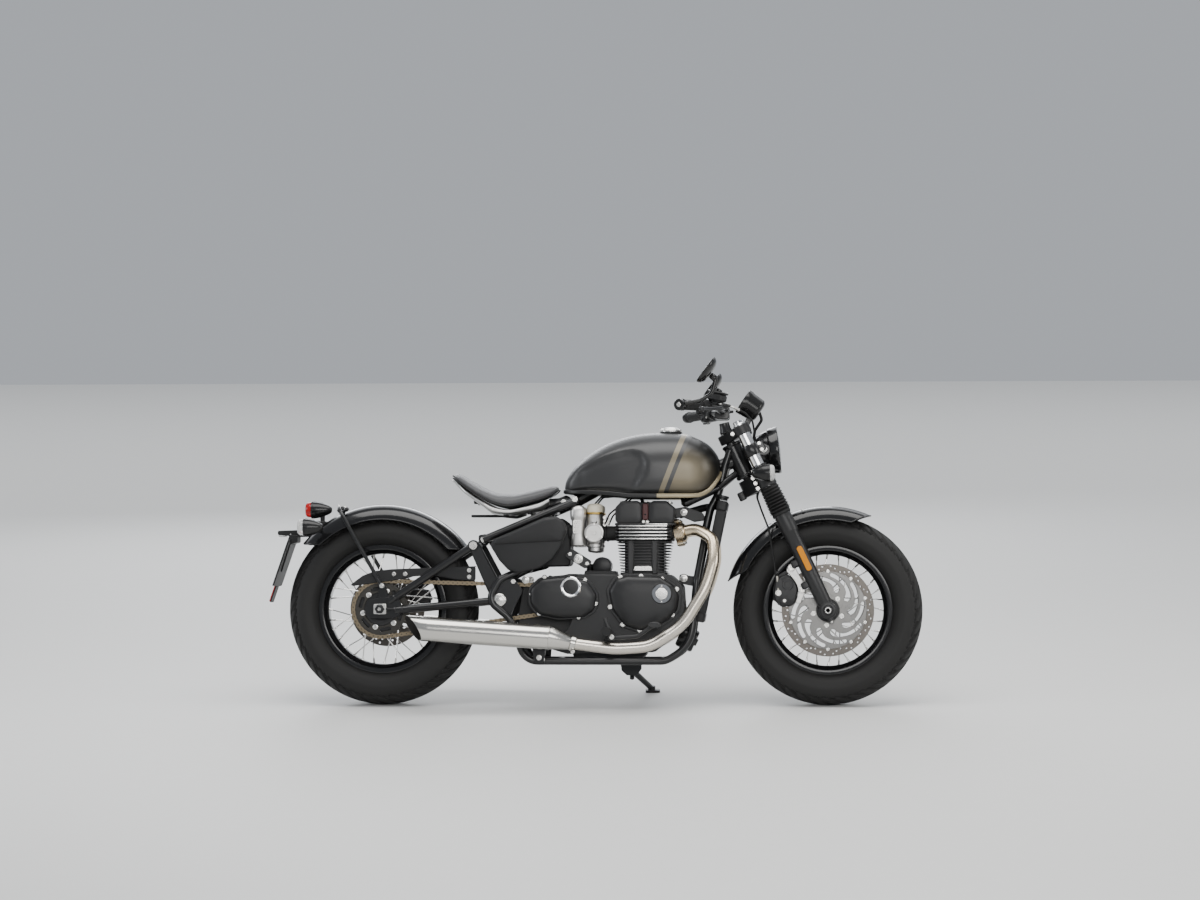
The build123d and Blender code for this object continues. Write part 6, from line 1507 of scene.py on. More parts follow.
# ------------------------------------------------------------------ mirrors
mir = Shape()
N = Vector((-0.80, 0, 0.60))
for side in BOTH:
    end, tip = bar(-2, side=side), bar(-20, side=side)
    mir.lathe([(0, 18), (2, 19), (16, 19), (18, 17.5), (18, 9), (16.5, 8), (16.5, 0)], end, tip - end, 0, 36)
    mir.bolt(end + (tip - end) * 0.9, tip - end, 7, 4, 2)
    y = tip.y - side * 9
    mir.tube(bend([(tip.x + 2, y, 991), (330, y, 1001), (372, y, 1026), (385, y - side * 2, 1078)], (50, 34)), [7.5] * 3 + [6.5] * 40, 0, 16)
    mir.lathe([(0, 9), (3, 11), (18, 11), (24, 8)], (385, y - side * 2, 1072), Vector((360, y - side * 2, 1092)) - Vector((385, y - side * 2, 1072)), 0, 24)
    c = Vector((356, side * 408, 1100))
    flat = [(62 * math.copysign(abs(math.cos(a)) ** 0.82, math.cos(a)), 50 * math.copysign(abs(math.sin(a)) ** 0.82, math.sin(a))) for a in [2 * math.pi * k / 56 for k in range(56)]]
    u, w = YDIR, N.cross(YDIR)
    loops = []
    for k, d in ((0.42, -15), (0.6, -13.5), (0.78, -9), (0.90, -4), (0.97, 1), (1.0, 5), (0.995, 7), (0.965, 7.4), (0.955, 6.2), (0.2, 6.0)):
        loops.append([c + u * (x * k) + w * (z * k) + N * d for x, z in flat])
    mir.skin(loops, 0)
    loops = [[c + u * (x * k) + w * (z * k) + N * d for x, z in flat] for k, d in ((0.955, 6.3), (0.945, 6.8), (0.5, 7.1), (0.1, 7.2))]
    mir.skin(loops, 1)
mir.done("mirrors_bar_end", "steering", ["glossy_plastic", "mirror", "bolt"], ["mirrors"], "black_gloss", sharp=36)

# ------------------------------------------------------------------ clock
clock = Shape()
B, F = Vector((515, 0, 990)), Vector((466, 0, 1023))
D = (F - B).normalized()
full = (F - B).length
clock.lathe([(-10, 0), (-10, 26), (-8, 33), (-2, 39.5), (2, 41), (40, 43), (44, 44.6), (54, 45.2), (59, 45), (60.4, 43.4), (60, 41), (55, 40), (55, 0)], B, D, 0, 64)
clock.lathe([(55.2, 0), (55.2, 39.6), (55.6, 39.6), (55.8, 0)], B, D, 1, 56)
clock.lathe([(58.0, 0), (58.0, 40.6), (58.6, 40.6), (59.4, 24), (59.7, 0)], B, D, 3, 56)
u, w = frame_of(D, YDIR)
for k in range(25):
    a = math.radians(-40 + 260 * k / 24)
    r0, wide = (31, 1.4) if k % 4 == 0 else (34, 0.8)
    p = B + D * 55.9 + (u * math.cos(a) + w * math.sin(a)) * (r0 + 37) / 2
    t = (u * math.cos(a) + w * math.sin(a))
    clock.plate([(-(37 - r0) / 2, -wide / 2), ((37 - r0) / 2, -wide / 2), ((37 - r0) / 2, wide / 2), (-(37 - r0) / 2, wide / 2)], p, t, D.cross(t), 0.4, 2, 0.1)
clock.lathe([(55.8, 0), (55.8, 5), (57.4, 4.4), (57.4, 0)], B, D, 0, 24)
a = math.radians(-32)
t = (u * math.cos(a) + w * math.sin(a))
clock.plate([(-6, -1.2), (29, -0.4), (29, 0.4), (-6, 1.2)], B + D * 56.6, t, D.cross(t), 0.5, 4, 0.1)
clock.plate(rounded([(-17, -7), (17, -7), (17, 7), (-17, 7)], 2), B + D * 55.8 - w * 18, u, w, 0.4, 5, 0.1)
clock.slab(rounded([(440, 920), (478, 920), (486, 940), (510, 985), (490, 990), (470, 950)], 6), -15, 15, 6, 2)
for side in BOTH:
    clock.bolt((474, side * 15, 938), (0, side, 0), 5.5, 4, 7)
clock.rod((452, 0, 916), (452, 0, 926), 20, None, 6)
clock.tube(bend([tuple(B - D * 8 + Vector((0, 8, 0))), (530, 10, 960), (506, 12, 925), (500, 16, 880)], 16), 5, 8, 12)
clock.done("instrument_clock", "steering", ["glossy_plastic", "dial", "marks", "clear", "needle", "core", "frame", "bolt", "rubber"], ["instrument"], "black_gloss", sharp=36)

# ------------------------------------------------------------------ headlight
LC, LD = Vector((578, 0, 857)), Vector((0.9938, 0, 0.1118))
lamp = Shape()
outer = [(-86, 0), (-86, 14), (-84, 24), (-78, 36), (-66, 50.5), (-50, 61), (-36, 67), (-26, 70.4), (-24, 73.5), (-20, 75.6), (-6, 77), (1, 78.8), (6, 78.4), (9, 76.5), (9.6, 73.5), (8, 70.6)]
lamp.lathe(outer + [(4, 70), (4, 68), (-4, 66), (-22, 52), (-40, 30), (-46, 16), (-46, 0)], LC, LD, 0, 88)
lamp.lathe([(1.5, 78.2), (2, 79.4), (7, 79.2), (10, 77), (10.2, 73.6), (9.6, 71.4), (8.2, 71.4), (8.6, 74), (7.4, 76.6), (3, 77.6)], LC, LD, 1, 88, ring=True)
lamp.lathe([(-45.6, 0), (-45.6, 15.6), (-39.6, 29.6), (-21.6, 51.6), (-4, 65.4), (3, 67.6), (3, 67), (-4, 64.8), (-21, 51), (-39, 29), (-45, 15), (-45, 0)], LC, LD, 2, 72)
lamp.lathe([(-45, 7), (-20, 7), (-14, 17), (-6, 17), (-4, 15), (-4, 0)], LC, LD, 3, 40)
for side in BOTH:
    lamp.box(LC - LD * 8 + Vector((0, side * 40, -4)), (3, 50, 3), 3, 0.8, ux=LD, uz=Vector((-LD.z, 0, LD.x)))
    lamp.lathe([(0, 18), (14.5, 17), (16, 15)], LC - LD * 42 + Vector((0, side * 60, 0)), Vector((0, side, 0)), 0, 32)
lamp.bolt(LC - LD * 6 + Vector((0, 0, -77.5)), (0, 0, -1), 4, 4, 4)
lamp.tube(bend([tuple(LC - LD * 84 + Vector((0, 6, 0))), (478, 14, 846), (462, 30, 872)], 10), 7, 5, 12)
lamp.done("headlight_bowl_and_reflector", "steering", ["gloss", "gloss", "chrome", "bulb", "bolt", "rubber"], ["headlight"], "black_gloss", sharp=36)
glass = Shape()
glass.lathe([(5, 0), (5, 69.6), (8, 69.6), (10.5, 58), (12.6, 40), (14, 20), (14.4, 0)], LC, LD, 0, 72)
glass.done("headlight_glass_domed", "steering", ["clear"], ["headlight_glass"], "clear_glass", sharp=60)


# ------------------------------------------------------------------ indicators
def bullet(sh, x_back, x_lens, x_end, y, z, back_r, r, body_m, lens_m, front=True):
    """A bullet lamp along X with its lens at x_end; ridged round its body."""
    d = Vector((1 if x_end > x_back else -1, 0, 0))
    span, lens = abs(x_lens - x_back), abs(x_end - x_lens)
    rows = [(0, 0), (0, back_r * 0.55), (2.5, back_r * 0.86)]
    for k in range(1, 9):
        f = k / 8
        rows.append((2.5 + (span - 6) * f, back_r + (r - back_r) * math.sin(f * math.pi / 2)))
    rows += [(span - 3, r + 0.9), (span + 1, r + 1.4), (span + 3.5, r + 1.0), (span + 3.5, r - 1.5), (span + 1, r - 2.2)]
    sh.lathe(rows, (x_back, y, z), d, body_m, 48)
    ribs = [(span + 0.5, 0), (span + 0.5, r - 2.4), (span + lens * 0.55, r - 2.6), (span + lens * 0.8, r - 4.5), (span + lens * 0.95, r - 9), (span + lens, r - 16), (span + lens, 0)]
    sh.lathe(ribs, (x_back, y, z), d, lens_m, 48)
    for s2 in BOTH:
        sh.tube([(x_back + d.x * (6 + span * 0.1), y, z + s2 * back_r * 0.98), (x_back + d.x * span * 0.5, y, z + s2 * (back_r + (r - back_r) * 0.72)), (x_back + d.x * (span - 4), y, z + s2 * (r + 0.2))], 1.2, body_m, 8)


ind = Shape()
for side in BOTH:
    bullet(ind, 498, 555, 574, side * 176, 775, 14, 29, 0, 1)
    ind.tube(bend([(514, side * 168, 789), (512, side * 150, 794), tuple(fork(527, 6, side * FORK_Y))], 14), 7.5, 0, 16)
    ind.lathe([(0, 22), (0, 26), (1.5, 27.2), (18.5, 27.2), (20, 26), (20, 22)], fork(517, 0, side * FORK_Y), UP, 0, 36)
    ind.bolt(fork(527, -27, side * FORK_Y), -AHEAD, 4.5, 5, 2)
ind.done("front_indicators_bullet", "steering", ["glossy_plastic", "lens_white", "bolt"], ["front_indicators"], "black_gloss", sharp=36)

# ------------------------------------------------------------------ front calipers
cal = Shape()
BRACKET = rounded([(614, 462), (624, 474), (638, 470), (646, 452), (658, 430), (670, 410), (677, 386), (670, 366), (660, 343), (648, 338), (642, 346), (648, 364), (651, 386), (646, 404), (636, 420), (624, 434), (612, 448)], 6, 4)
CALIPER = rounded([(573, 414), (590, 432), (614, 440), (636, 424), (646, 404), (650, 386), (646, 364), (641, 344), (629, 333), (594, 329), (575, 346), (567, 366), (570, 392)], 9, 4)
for side in BOTH:
    for y0, y1 in ((46, 60), (76.5, 98)):
        body = CALIPER
        c0 = Shape()
        y_in, y_out = (y0, y1) if y1 > 70 else (y1, y0)
        dome(c0, body, 0, 1, [(1.0, 0), (1.0, 4)] + ([(0.985, 12), (0.95, 17), (0.88, 20), (0.5, 21.4), (0.2, 21.5)] if y1 > 70 else [(0.985, 8), (0.93, 12), (0.8, 13.6), (0.3, 14)]))
        direction = side * (1 if y1 > 70 else -1)
        base = side * (76.5 if y1 > 70 else 60)
        cal.put([(x, base + direction * y, z) for x, y, z in c0.v], c0.f, 0)
    # bridge over the disc's edge, piston housings, bolts, and the slider lugs
    cal.slab(rounded([(572, 410), (586, 436), (608, 450), (622, 446), (604, 428), (590, 402), (582, 362), (576, 346), (567, 352), (567, 388)], 5), side * 60, side * 77, 0, 1)
    for x, z in ((616, 404), (605, 350)):
        r = 1.0 if z > 380 else 0.62
        cal.lathe([(0, 20 * r), (2.4, 19.5 * r), (4, 17.5 * r), (4, 12 * r), (2.8, 11 * r), (2.8, 0)], (x, side * 96, z), (0, side, 0), 0, 36)
    cal.bolt((605, side * 98, 350), (0, side, 0), 5.2, 3, 1)
    for x, z in ((636, 352), (586, 340)):
        cal.bolt((x, side * 94, z), (0, side, 0), 4, 5, 4)
    cal.slab(BRACKET, side * 82, side * 94, 2, 2.0)
    cal.slab(scaled(BRACKET, 0.9), side * 78, side * 83, 0, 1.2)
    for x, z in ((628, 459), (663, 386)):
        cal.lathe([(-12, 12.6), (0, 12.6), (2, 10.8)], (x, side * 94, z), (0, side, 0), 2, 28)
        cal.bolt((x, side * 96, z), (0, side, 0), 8.6, 6, 1)
    # the hose's pale end, its banjo and bolt
    cal.tube(flow([(580, side * 92.6, 432), (583, side * 92, 402), (585, side * 94, 384)], 6), 4.6, 3, 14)
    cal.lathe([(-3, 9.5), (3, 9.5)], (585, side * 96, 376), (0, side, 0), 1, 24)
    cal.bolt((585, side * 99, 376), (0, side, 0), 6, 5, 1, "hex")
cal.done("front_calipers_cast", "steering", ["engine", "bolt", "alu", "hose", "black_bolt"], ["front_calipers"], "engine_black", sharp=36)


# ------------------------------------------------------------------ fenders
def wheel_ring(axle, r, y, degrees):
    a = math.radians(degrees)
    return axle + Vector((math.cos(a) * r, y, math.sin(a) * r))


def fender(name, axle, outer, half, skirt, high, sweep, body, node, extra, tip, reach):
    """A pressed fender: a round crowned sheet with a rolled lip, swept round the axle and drawn in at both ends."""
    sh = Shape()
    rows = [(1.0, 1.0), (0.985, 0.86), (0.955, 0.71), (0.91, 0.555), (0.85, 0.415), (0.77, 0.285), (0.66, 0.17), (0.52, 0.085), (0.34, 0.03), (0.17, 0.006)]
    top = table([(-u * half, outer - skirt * d) for u, d in rows] + [(0, outer)] + [(u * half, outer - skirt * d) for u, d in rows[::-1]])
    shares = [-u for u, d in rows] + [0.0] + [u for u, d in rows[::-1]]
    stations = [0.0, 0.002, 0.005, 0.010, 0.017, 0.026, 0.037, 0.050, 0.065, 0.082, 0.100] + [0.12 + 0.76 * k / 50 for k in range(51)]
    stations += [1 - f for f in stations[10::-1]]

    def reach_at(f):
        """Half the sheet's width there: full along the middle, drawn in like an ellipse at the ends."""
        cut = max(0.0, 1 - min(f, 1 - f) * math.radians(sweep) * outer / reach)
        return half * (tip + (1 - tip) * math.sqrt(max(0.0, 1 - cut * cut)))

    loops, edges = [], {-1: [], 1: []}
    for f in stations:
        w, a = reach_at(f), high - sweep * (1 - f)
        over = [(float(top(u * w)), u * w) for u in shares]
        under = [(r - 2.2, y * (w - 2.0) / w) for r, y in over]
        under[0], under[-1] = (over[0][0] - 0.3, -(w - 2.2)), (over[-1][0] - 0.3, w - 2.2)
        loops.append([wheel_ring(axle, r, y, a) for r, y in over + under[::-1]])
        for side in BOTH:
            edges[side].append(wheel_ring(axle, float(top(w)) + 0.4, side * (w - 1.5), a))
    sh.skin(loops, 0)
    # the rolled lip along each edge
    for side in BOTH:
        sh.tube(edges[side][2:-2], 2.5, 0, 10)
    extra(sh)
    return sh.done(name, body, ["gloss", "bolt", "frame"], [node], "black_frame_paint", sharp=52)


def front_extra(sh):
    for side in BOTH:
        # the two arms that carry the fender from the fork leg, and their bolts
        for t0, t1 in ((290, 284), (330, 338)):
            sh.tube(flow([tuple(fork(t0, -8, side * 80)), tuple(fork(t0 + (t1 - t0) * 0.4, -22, side * 75)), tuple(fork(t1, -38, side * 72))], 4), 5.2, 2, 12, wide=1.5)
        sh.box(fork(310, -6, side * 74.5), (34, 9, 58), 2, 2, ux=AHEAD, uz=UP)
        for t in (292, 328):
            sh.bolt(fork(t, -16, side * 79), (0, side, 0), 5, 4.5, 1)
        for a in (104, 112):
            sh.bolt(wheel_ring(FRONT_AXLE, 344, side * 60, a), wheel_ring(Vector((0, 0, 0)), 1, 0, a), 5, 4, 1, "dome")


def rear_extra(sh):
    hoop = bend([(-744, -123, 398), (-896, -98, 662), (-896, 98, 662), (-744, 123, 398)], (40, 40), 5)
    sh.tube(hoop, 6.6, 2, 18)
    for side in BOTH:
        sh.lathe([(-5.5, 0), (-5.5, 9), (-4.5, 10.5), (4.5, 10.5), (5.5, 9), (5.5, 0)], (-744, side * 123, 400), YDIR, 2, 24)
        sh.bolt((-744, side * 128.5, 400), (0, side, 0), 7, 6, 1)
        sh.bolt((-896, side * 76, 669), (0, 0, 1), 5, 4, 1, "dome")
        sh.box((-892, side * 60, 658), (26, 20, 12), 2, 2, ux=(0.8, 0, 0.6), uz=(-0.6, 0, 0.8))


fender("front_fender_pressed", FRONT_AXLE, 350.0, 75.5, 46.0, 164.0, 99.0, "steering", "front_fender", front_extra, 0.16, 66.0)
fender("rear_fender_pressed", REAR_AXLE, 354.0, 88.0, 52.0, 141.0, 106.0, "chassis", "rear_fender", rear_extra, 0.5, 46.0)

# ------------------------------------------------------------------ chain
CHAIN_Y = -92.0
R1, R2 = 94.1, 45.0
A, B2 = Vector((-750, 0, 322)), Vector((-170, 0, 356))
span = (B2 - A).length
E = (B2 - A).normalized()
NN = Vector((-E.z, 0, E.x))
kk = (R1 - R2) / span
mm = math.sqrt(1 - kk * kk)
UPV, DNV = E * kk + NN * mm, E * kk - NN * mm
path = [A + UPV * R1, B2 + UPV * R2]
turn = lambda c, r, s, e, n: [c + between(s, e, k / n) * r for k in range(1, n + 1)]
front_mid = E
loop = [path[0]] + [path[0].lerp(path[1], k / 60) for k in range(1, 61)]
loop += turn(B2, R2, UPV, E, 14) + turn(B2, R2, E, DNV, 14)
lowp = [B2 + DNV * R2, A + DNV * R1]
loop += [lowp[0].lerp(lowp[1], k / 60) for k in range(1, 61)]
loop += turn(A, R1, DNV, -E, 30) + turn(A, R1, -E, UPV, 30)
dist = [0.0]
for p, q in zip(loop, loop[1:]):
    dist.append(dist[-1] + (q - p).length)
links = 2 * round(dist[-1] / 15.875 / 2)
pins = []
for k in range(links):
    s = dist[-1] * k / links
    i = max(j for j in range(len(dist)) if dist[j] <= s + 1e-9)
    i = min(i, len(loop) - 2)
    f = (s - dist[i]) / max(1e-9, dist[i + 1] - dist[i])
    pins.append(loop[i].lerp(loop[i + 1], f))
chain = Shape()
for k, p in enumerate(pins):
    q = pins[(k + 1) % links]
    mid, run = (p + q) / 2, (q - p).normalized()
    side_v = Vector((-run.z, 0, run.x))
    h = (q - p).length / 2
    ring = []
    for c, s0 in ((h, -1), (-h, 1)):
        for j in range(7):
            a = math.radians((-78 if s0 < 0 else 102) + 156 * j / 6)
            ring.append((c + 7.2 * math.cos(a), 7.2 * math.sin(a)))
    ring = [ring[i] if abs(ring[i][0]) < 1e9 else ring[i] for i in range(len(ring))]
    waist = [(0.0, 5.6)]
    outline = ring[:7] + [(0.0, 5.4)] + ring[7:] + [(0.0, -5.4)]
    out = k % 2 == 0
    for s in BOTH:
        y = CHAIN_Y + s * (6.2 if out else 4.0) - (0.9)
        base = Vector((mid.x, y, mid.z))
        verts = [base + run * x + side_v * z for x, z in outline] + [base + YDIR * 1.8 + run * x + side_v * z for x, z in outline]
        m = len(outline)
        chain.put(verts, [tuple(range(m))[::-1], tuple(range(m, 2 * m))] + [(j, (j + 1) % m, m + (j + 1) % m, m + j) for j in range(m)], 0)
    chain.lathe([(-8.2, 0), (-8.2, 1.9), (-7.6, 2.3), (7.6, 2.3), (8.2, 1.9), (8.2, 0)], (p.x, CHAIN_Y, p.z), YDIR, 1, 8)
    chain.lathe([(-3.1, 0), (-3.1, 4.9), (3.1, 4.9), (3.1, 0)], (p.x, CHAIN_Y, p.z), YDIR, 0, 10)
chain.done("drive_chain_links", "chassis", ["chain", "sprocket"], ["drive_chain"], "chain_steel", sharp=30)

guard = Shape()
GUARD = rounded([(-852, 404), (-812, 434), (-770, 450), (-712, 456), (-430, 466), (-430, 416), (-500, 421), (-579, 436), (-640, 431), (-700, 419), (-760, 411), (-815, 403), (-846, 399)], 8, 4)
guard.slab(GUARD, -104.2, -101.8, 0, 0.7)
top_line = [(-851, 403), (-812, 432.5), (-770, 448.6), (-712, 454.8), (-430, 464.6)]
guard.skin([[(x, y, z + dz) for y, dz in ((-103.6, 0), (-103, 1.2), (-84, 1.2), (-82, 0), (-82, -1.6), (-84, -1.4), (-102, -1.4), (-103.6, -1.2))] for x, z in
            [tuple(Vector((a[0], 0, a[1])).lerp(Vector((b[0], 0, b[1])), k / 6).xz) for a, b in zip(top_line, top_line[1:]) for k in range(6)] + [top_line[-1]]], 0)
guard.tube(flow([(-438, -104.4, 419), (-500, -104.4, 424), (-579, -104.4, 438.5), (-640, -104.4, 433.5), (-700, -104.4, 422), (-760, -104.4, 414), (-815, -104.4, 406.5)], 8), 1.5, 0, 8)
for x, z in ((-452, 452), (-452, 430), (-706, 440), (-668, 440)):
    guard.bolt((x, -104.2, z), (0, -1, 0), 6.0, 4, 1)
guard.done("chain_guard_pressed", "chassis", ["plastic", "bolt"], ["chain_guard"], "black_frame_paint", sharp=36)

# ------------------------------------------------------------------ swinging arm
arm = Shape()
arm.lathe([(-131, 12), (-131, 20), (-129, 21.6), (129, 21.6), (131, 20), (131, 12)], (-346, 0, 352), YDIR, 0, 40)
arm.rod((-436, -118, 535), (-436, 118, 535), 12, m=0)
for side in BOTH:
    y = side * 118
    # the axle's forged end plate with its slot, and the tubes of the triangle with a weld at each end
    slot_hole = [(22 * math.copysign(1, math.cos(a)) * 0 + 13.5 * math.cos(a) + (6 if math.cos(a) > 0 else -6), 11.5 * math.sin(a)) for a in [2 * math.pi * k / 28 for k in range(28)]]
    end = rounded([(-806, 322), (-790, 352), (-742, 362), (-690, 362), (-672, 322), (-690, 296), (-742, 290), (-790, 294)], 12, 4)
    v, f = pierced([(x + 750, z - 322) for x, z in end], [slot_hole[::-1]], 14, 1.0)
    arm.put(placed(v, (-750, side * 112, 322), XDIR, ZDIR, Vector((0, side, 0))), f, 0)
    arm.lathe([(-15, 12), (-15, 17), (-13, 18.4), (13, 18.4), (15, 17), (15, 12), (15, 0)][:6], (-436, y, 535), YDIR, 0, 36)
    arm.slab(rounded([(-456, 540), (-440, 552), (-418, 545), (-326, 372), (-330, 342), (-366, 336), (-376, 356)], 14, 5), side * 106, side * 131, 0, 4)
    for a, b, r in (((-722, 346), (-436, 535), 13), ((-700, 318), (-346, 352), 13)):
        pa, pb = Vector((a[0], y, a[1])), Vector((b[0], y, b[1]))
        arm.tube([pa, pa.lerp(pb, 0.5), pb], r, 0, 28)
        run = (pb - pa).normalized()
        for p, s in ((pa, 1), (pb, -1)):
            at = p + run * s * (17 if p is pb or a[0] > -500 else 26)
            arm.lathe([(-2.4, r - 0.5), (-1.8, r + 1.2), (0, r + 1.9), (1.8, r + 1.2), (2.4, r - 0.5)], at, run, 0, 28, ring=True)
    arm.plate([(x + 744, z - 384) for x, z in rounded([(-758, 356), (-756, 398), (-752, 410), (-736, 410), (-730, 398), (-722, 358)], 5)], (-744, side * 112 if side > 0 else -118, 384), XDIR, ZDIR, -6, 0, 0.6)
    # corner boss's cap, silver ring on the pivot
    arm.lathe([(0, 14), (2.5, 13), (2.5, 0)], (-436, side * 133, 535), (0, side, 0), 1, 30)
    arm.lathe([(0, 9), (5, 9), (6, 8), (6, 0)], (-436, side * 134, 535), (0, side, 0), 1, 6)
arm.done("swingarm_cage_welded", "chassis", ["frame", "bolt"], ["swingarm"], "black_frame_paint", sharp=38)

axle_r = Shape()
axle_r.lathe([(-146, 6), (-146, 9.4), (-145.4, 10), (145.4, 10), (146, 9.4), (146, 6)], REAR_AXLE, YDIR, 0, 36, ring=True)
axle_r.lathe([(-111.8, 10), (-111.8, 15), (-96.5, 15), (-96.5, 10)], REAR_AXLE, YDIR, 1, 36, ring=True)
axle_r.lathe([(89, 10), (89, 15), (111.8, 15), (111.8, 10)], REAR_AXLE, YDIR, 1, 36, ring=True)
for side in BOTH:
    out = Vector((0, side, 0))
    axle_r.slab(rounded([(-771, 305), (-729, 305), (-729, 339), (-771, 339)], 4), side * 126.2, side * 132, 1, 1)
    axle_r.lathe([(0, 10.2), (0, 18), (1.6, 18), (1.6, 10.2)], REAR_AXLE + out * 132, out, 1, 40, ring=True)
    rows = [(1.6, 10.2), (1.6, 16.6), (9, 16.6), (10.4, 14.4), (10.4, 10.2)]
    axle_r.lathe(rows, REAR_AXLE + out * 132, out, 0, 6, ring=True)
    # the chain adjuster: a threaded bolt forward out of the block, with its lock nut
    axle_r.rod((-729, side * 129, 322), (-694, side * 129, 322), 3.9, m=0, n=16)
    for k in range(8):
        axle_r.lathe([(0, 3.6), (0.7, 4.5), (1.4, 3.6)], (-726 + 3.4 * k, side * 129, 322), XDIR, 0, 16, ring=True)
    axle_r.rod((-703, side * 129, 322), (-697, side * 129, 322), 7.2, m=0, n=6)
axle_r.done("rear_axle_and_adjusters", "chassis", ["black_bolt", "bolt"], ["rear_axle"], "black_steel", sharp=34)

# ------------------------------------------------------------------ shock absorber
shock = Shape()
S0, S1 = Vector((-412, 0, 547)), Vector((-180, 0, 642))
SR = (S1 - S0).normalized()
SN = Vector((-SR.z, 0, SR.x))
for at in (4, (S1 - S0).length - 4):
    c = S0 + SR * at
    shock.lathe([(-17, 6), (-17, 12), (-15.6, 13), (15.6, 13), (17, 12), (17, 6)], c, YDIR, 0, 32, ring=True)
    shock.lathe([(-19, 0), (-19, 6), (19, 6), (19, 0)], c, YDIR, 2, 24)
shock.rod(S0 + SR * 8, S0 + SR * 150, 6.5, m=2)
shock.lathe([(16, 8), (16, 18), (20, 23), (25, 23), (25, 8)], S0, SR, 0, 40)
shock.lathe([(150, 8), (150, 23), (156, 23), (158, 20), (160, 22), (216, 22), (222, 18), (222, 8)], S0, SR, 0, 40)
shock.lathe([(146, 12), (146, 22.8), (150, 22.8), (150, 12)], S0, SR, 2, 24)
coil = []
turns = 6.4
for k in range(int(turns * 26) + 1):
    a = 2 * math.pi * k / 26
    coil.append(S0 + SR * (28 + 115 * k / (turns * 26)) + (YDIR * math.cos(a) + SN * math.sin(a)) * 18.2)
shock.tube(coil, 4.4, 1, 12)
shock.done("rear_shock_coil", "chassis", ["engine", "spring", "bolt"], ["rear_shock"], "black_steel", sharp=36)

# ------------------------------------------------------------------ rear lamps and plate
tail = Shape()
bullet(tail, -930, -996, -1020, 0, 658, 12, 28.5, 0, 1)
for side in BOTH:
    bullet(tail, -940, -1002, -1026, side * 150, 596, 12, 29, 0, 2)
    tail.tube([(-978, side * 144, 606), (-978, side * 28, 606)], 7.2, 0, 18)
    tail.lathe([(0, 9), (2, 11.5), (8, 11.5), (10, 9)], (-978, side * 126, 606), (0, -side, 0), 0, 24)
    tail.lathe([(0, 9), (2, 12.5), (8, 12.5), (10, 9)], (-978, side * 28, 606), (0, side, 0), 0, 24)
tail.done("rear_lights_bullet", "chassis", ["glossy_plastic", "lens_red", "lens_white"], ["rear_lights"], "black_gloss", sharp=36)

holder = Shape()
PT, PL = Vector((-1064, 0, 556)), Vector((-1118, 0, 398))
PR = (PL - PT).normalized()
PNRM = Vector((PR.z, 0, -PR.x))
if PNRM.x > 0:
    PNRM = -PNRM
holder.slab(rounded([(-1004, 562), (-1004, 619), (-946, 619), (-934, 604), (-944, 572), (-958, 562)], 8), -28, 28, 0, 2)
holder.slab(rounded([(-1112, 573), (-1112, 587), (-1000, 591), (-1000, 567), (-1040, 566)], 5), -24, 24, 0, 2)
holder.slab(rounded([(-1042, 572), (-1042, 548), (-1066, 541), (-1080, 541), (-1070, 573)], 4), -40, 40, 0, 1.5)
holder.rod((-962, 0, 612), (-962, 0, 646), 8, m=0)
# the plate lamp under the arm's end, with its clear window and two screws
holder.box((-1098, 0, 570), (24, 40, 7), 1, 1.2)
for dy in (-26, 26):
    holder.bolt((-1066, dy * 1.3, 574), (0, 0, 1), 3.4, 2.4, 2, "dome")
# the blank plate with rounded corners, two screws through it, and a folded rim behind
W = Vector((0, 1, 0))
base = PT + PR * 83
ring = rounded([(-95, -83), (95, -83), (95, 83), (-95, 83)], 9, 5)
holes = [circle(dx, -23, 3.4, 18)[::-1] for dx in (-73, 73)]
v, f = pierced(ring, holes, 2.0, 0.5)
holder.put(placed(v, base + PNRM * 0.7, W, PR, PNRM), f, 3)
v, f = pierced(rounded([(-93, -81), (93, -81), (93, 81), (-93, 81)], 9, 5), holes, 2.9, 0.6)
holder.put(placed(v, base - PNRM * 2.4, W, PR, PNRM), f, 0)
holder.plate(rounded([(-60, -70), (60, -70), (44, 30), (-44, 30)], 12), base - PNRM * 6.5, W, PR, 4.2 if W.cross(PR).dot(PNRM) > 0 else -4.2, 0, 1)
c = PL + PR * 27
holder.box(c + PNRM * 2.2, (62, 56, 4.6), 4, 1.6, ux=W, uz=PNRM)
holder.box(c - PNRM * 1.2, (64, 58, 3.6), 0, 1.2, ux=W, uz=PNRM)
holder.done("plate_holder_and_lamp", "chassis", ["plastic", "lens_white", "bolt", "engine", "lens_red"], ["plate_holder"], "black_plastic", sharp=36)

# ------------------------------------------------------------------ rear caliper
rc = Shape()
BODY = rounded([(-668, 392), (-616, 388), (-600, 350), (-612, 316), (-660, 320), (-672, 350)], 12, 4)
for y0, side, rows in ((98.5, 1, [(1.0, 0), (1.0, 3), (0.97, 6), (0.90, 8.6), (0.6, 9.4), (0.2, 9.5)]), (82.5, -1, [(1.0, 0), (1.0, 9), (0.96, 14), (0.88, 17.4), (0.6, 18.2), (0.2, 18.4)])):
    dome(rc, BODY, y0, side, rows)
rc.slab(rounded([(-640, 393), (-606, 386), (-594, 352), (-608, 352), (-620, 378), (-640, 384)], 5), 82, 99, 0, 1)
for x, z in ((-650, 378), (-620, 334), (-652, 334)):
    rc.bolt((x, 104, z), (0, 1, 0), 5.5, 5, 1)
rc.lathe([(0, 13), (3, 12.4), (4, 10), (4, 0)], (-632, 107.5, 356), (0, 1, 0), 0, 32)
rc.done("rear_caliper_cast", "chassis", ["engine", "bolt"], ["rear_caliper"], "engine_black", sharp=36)

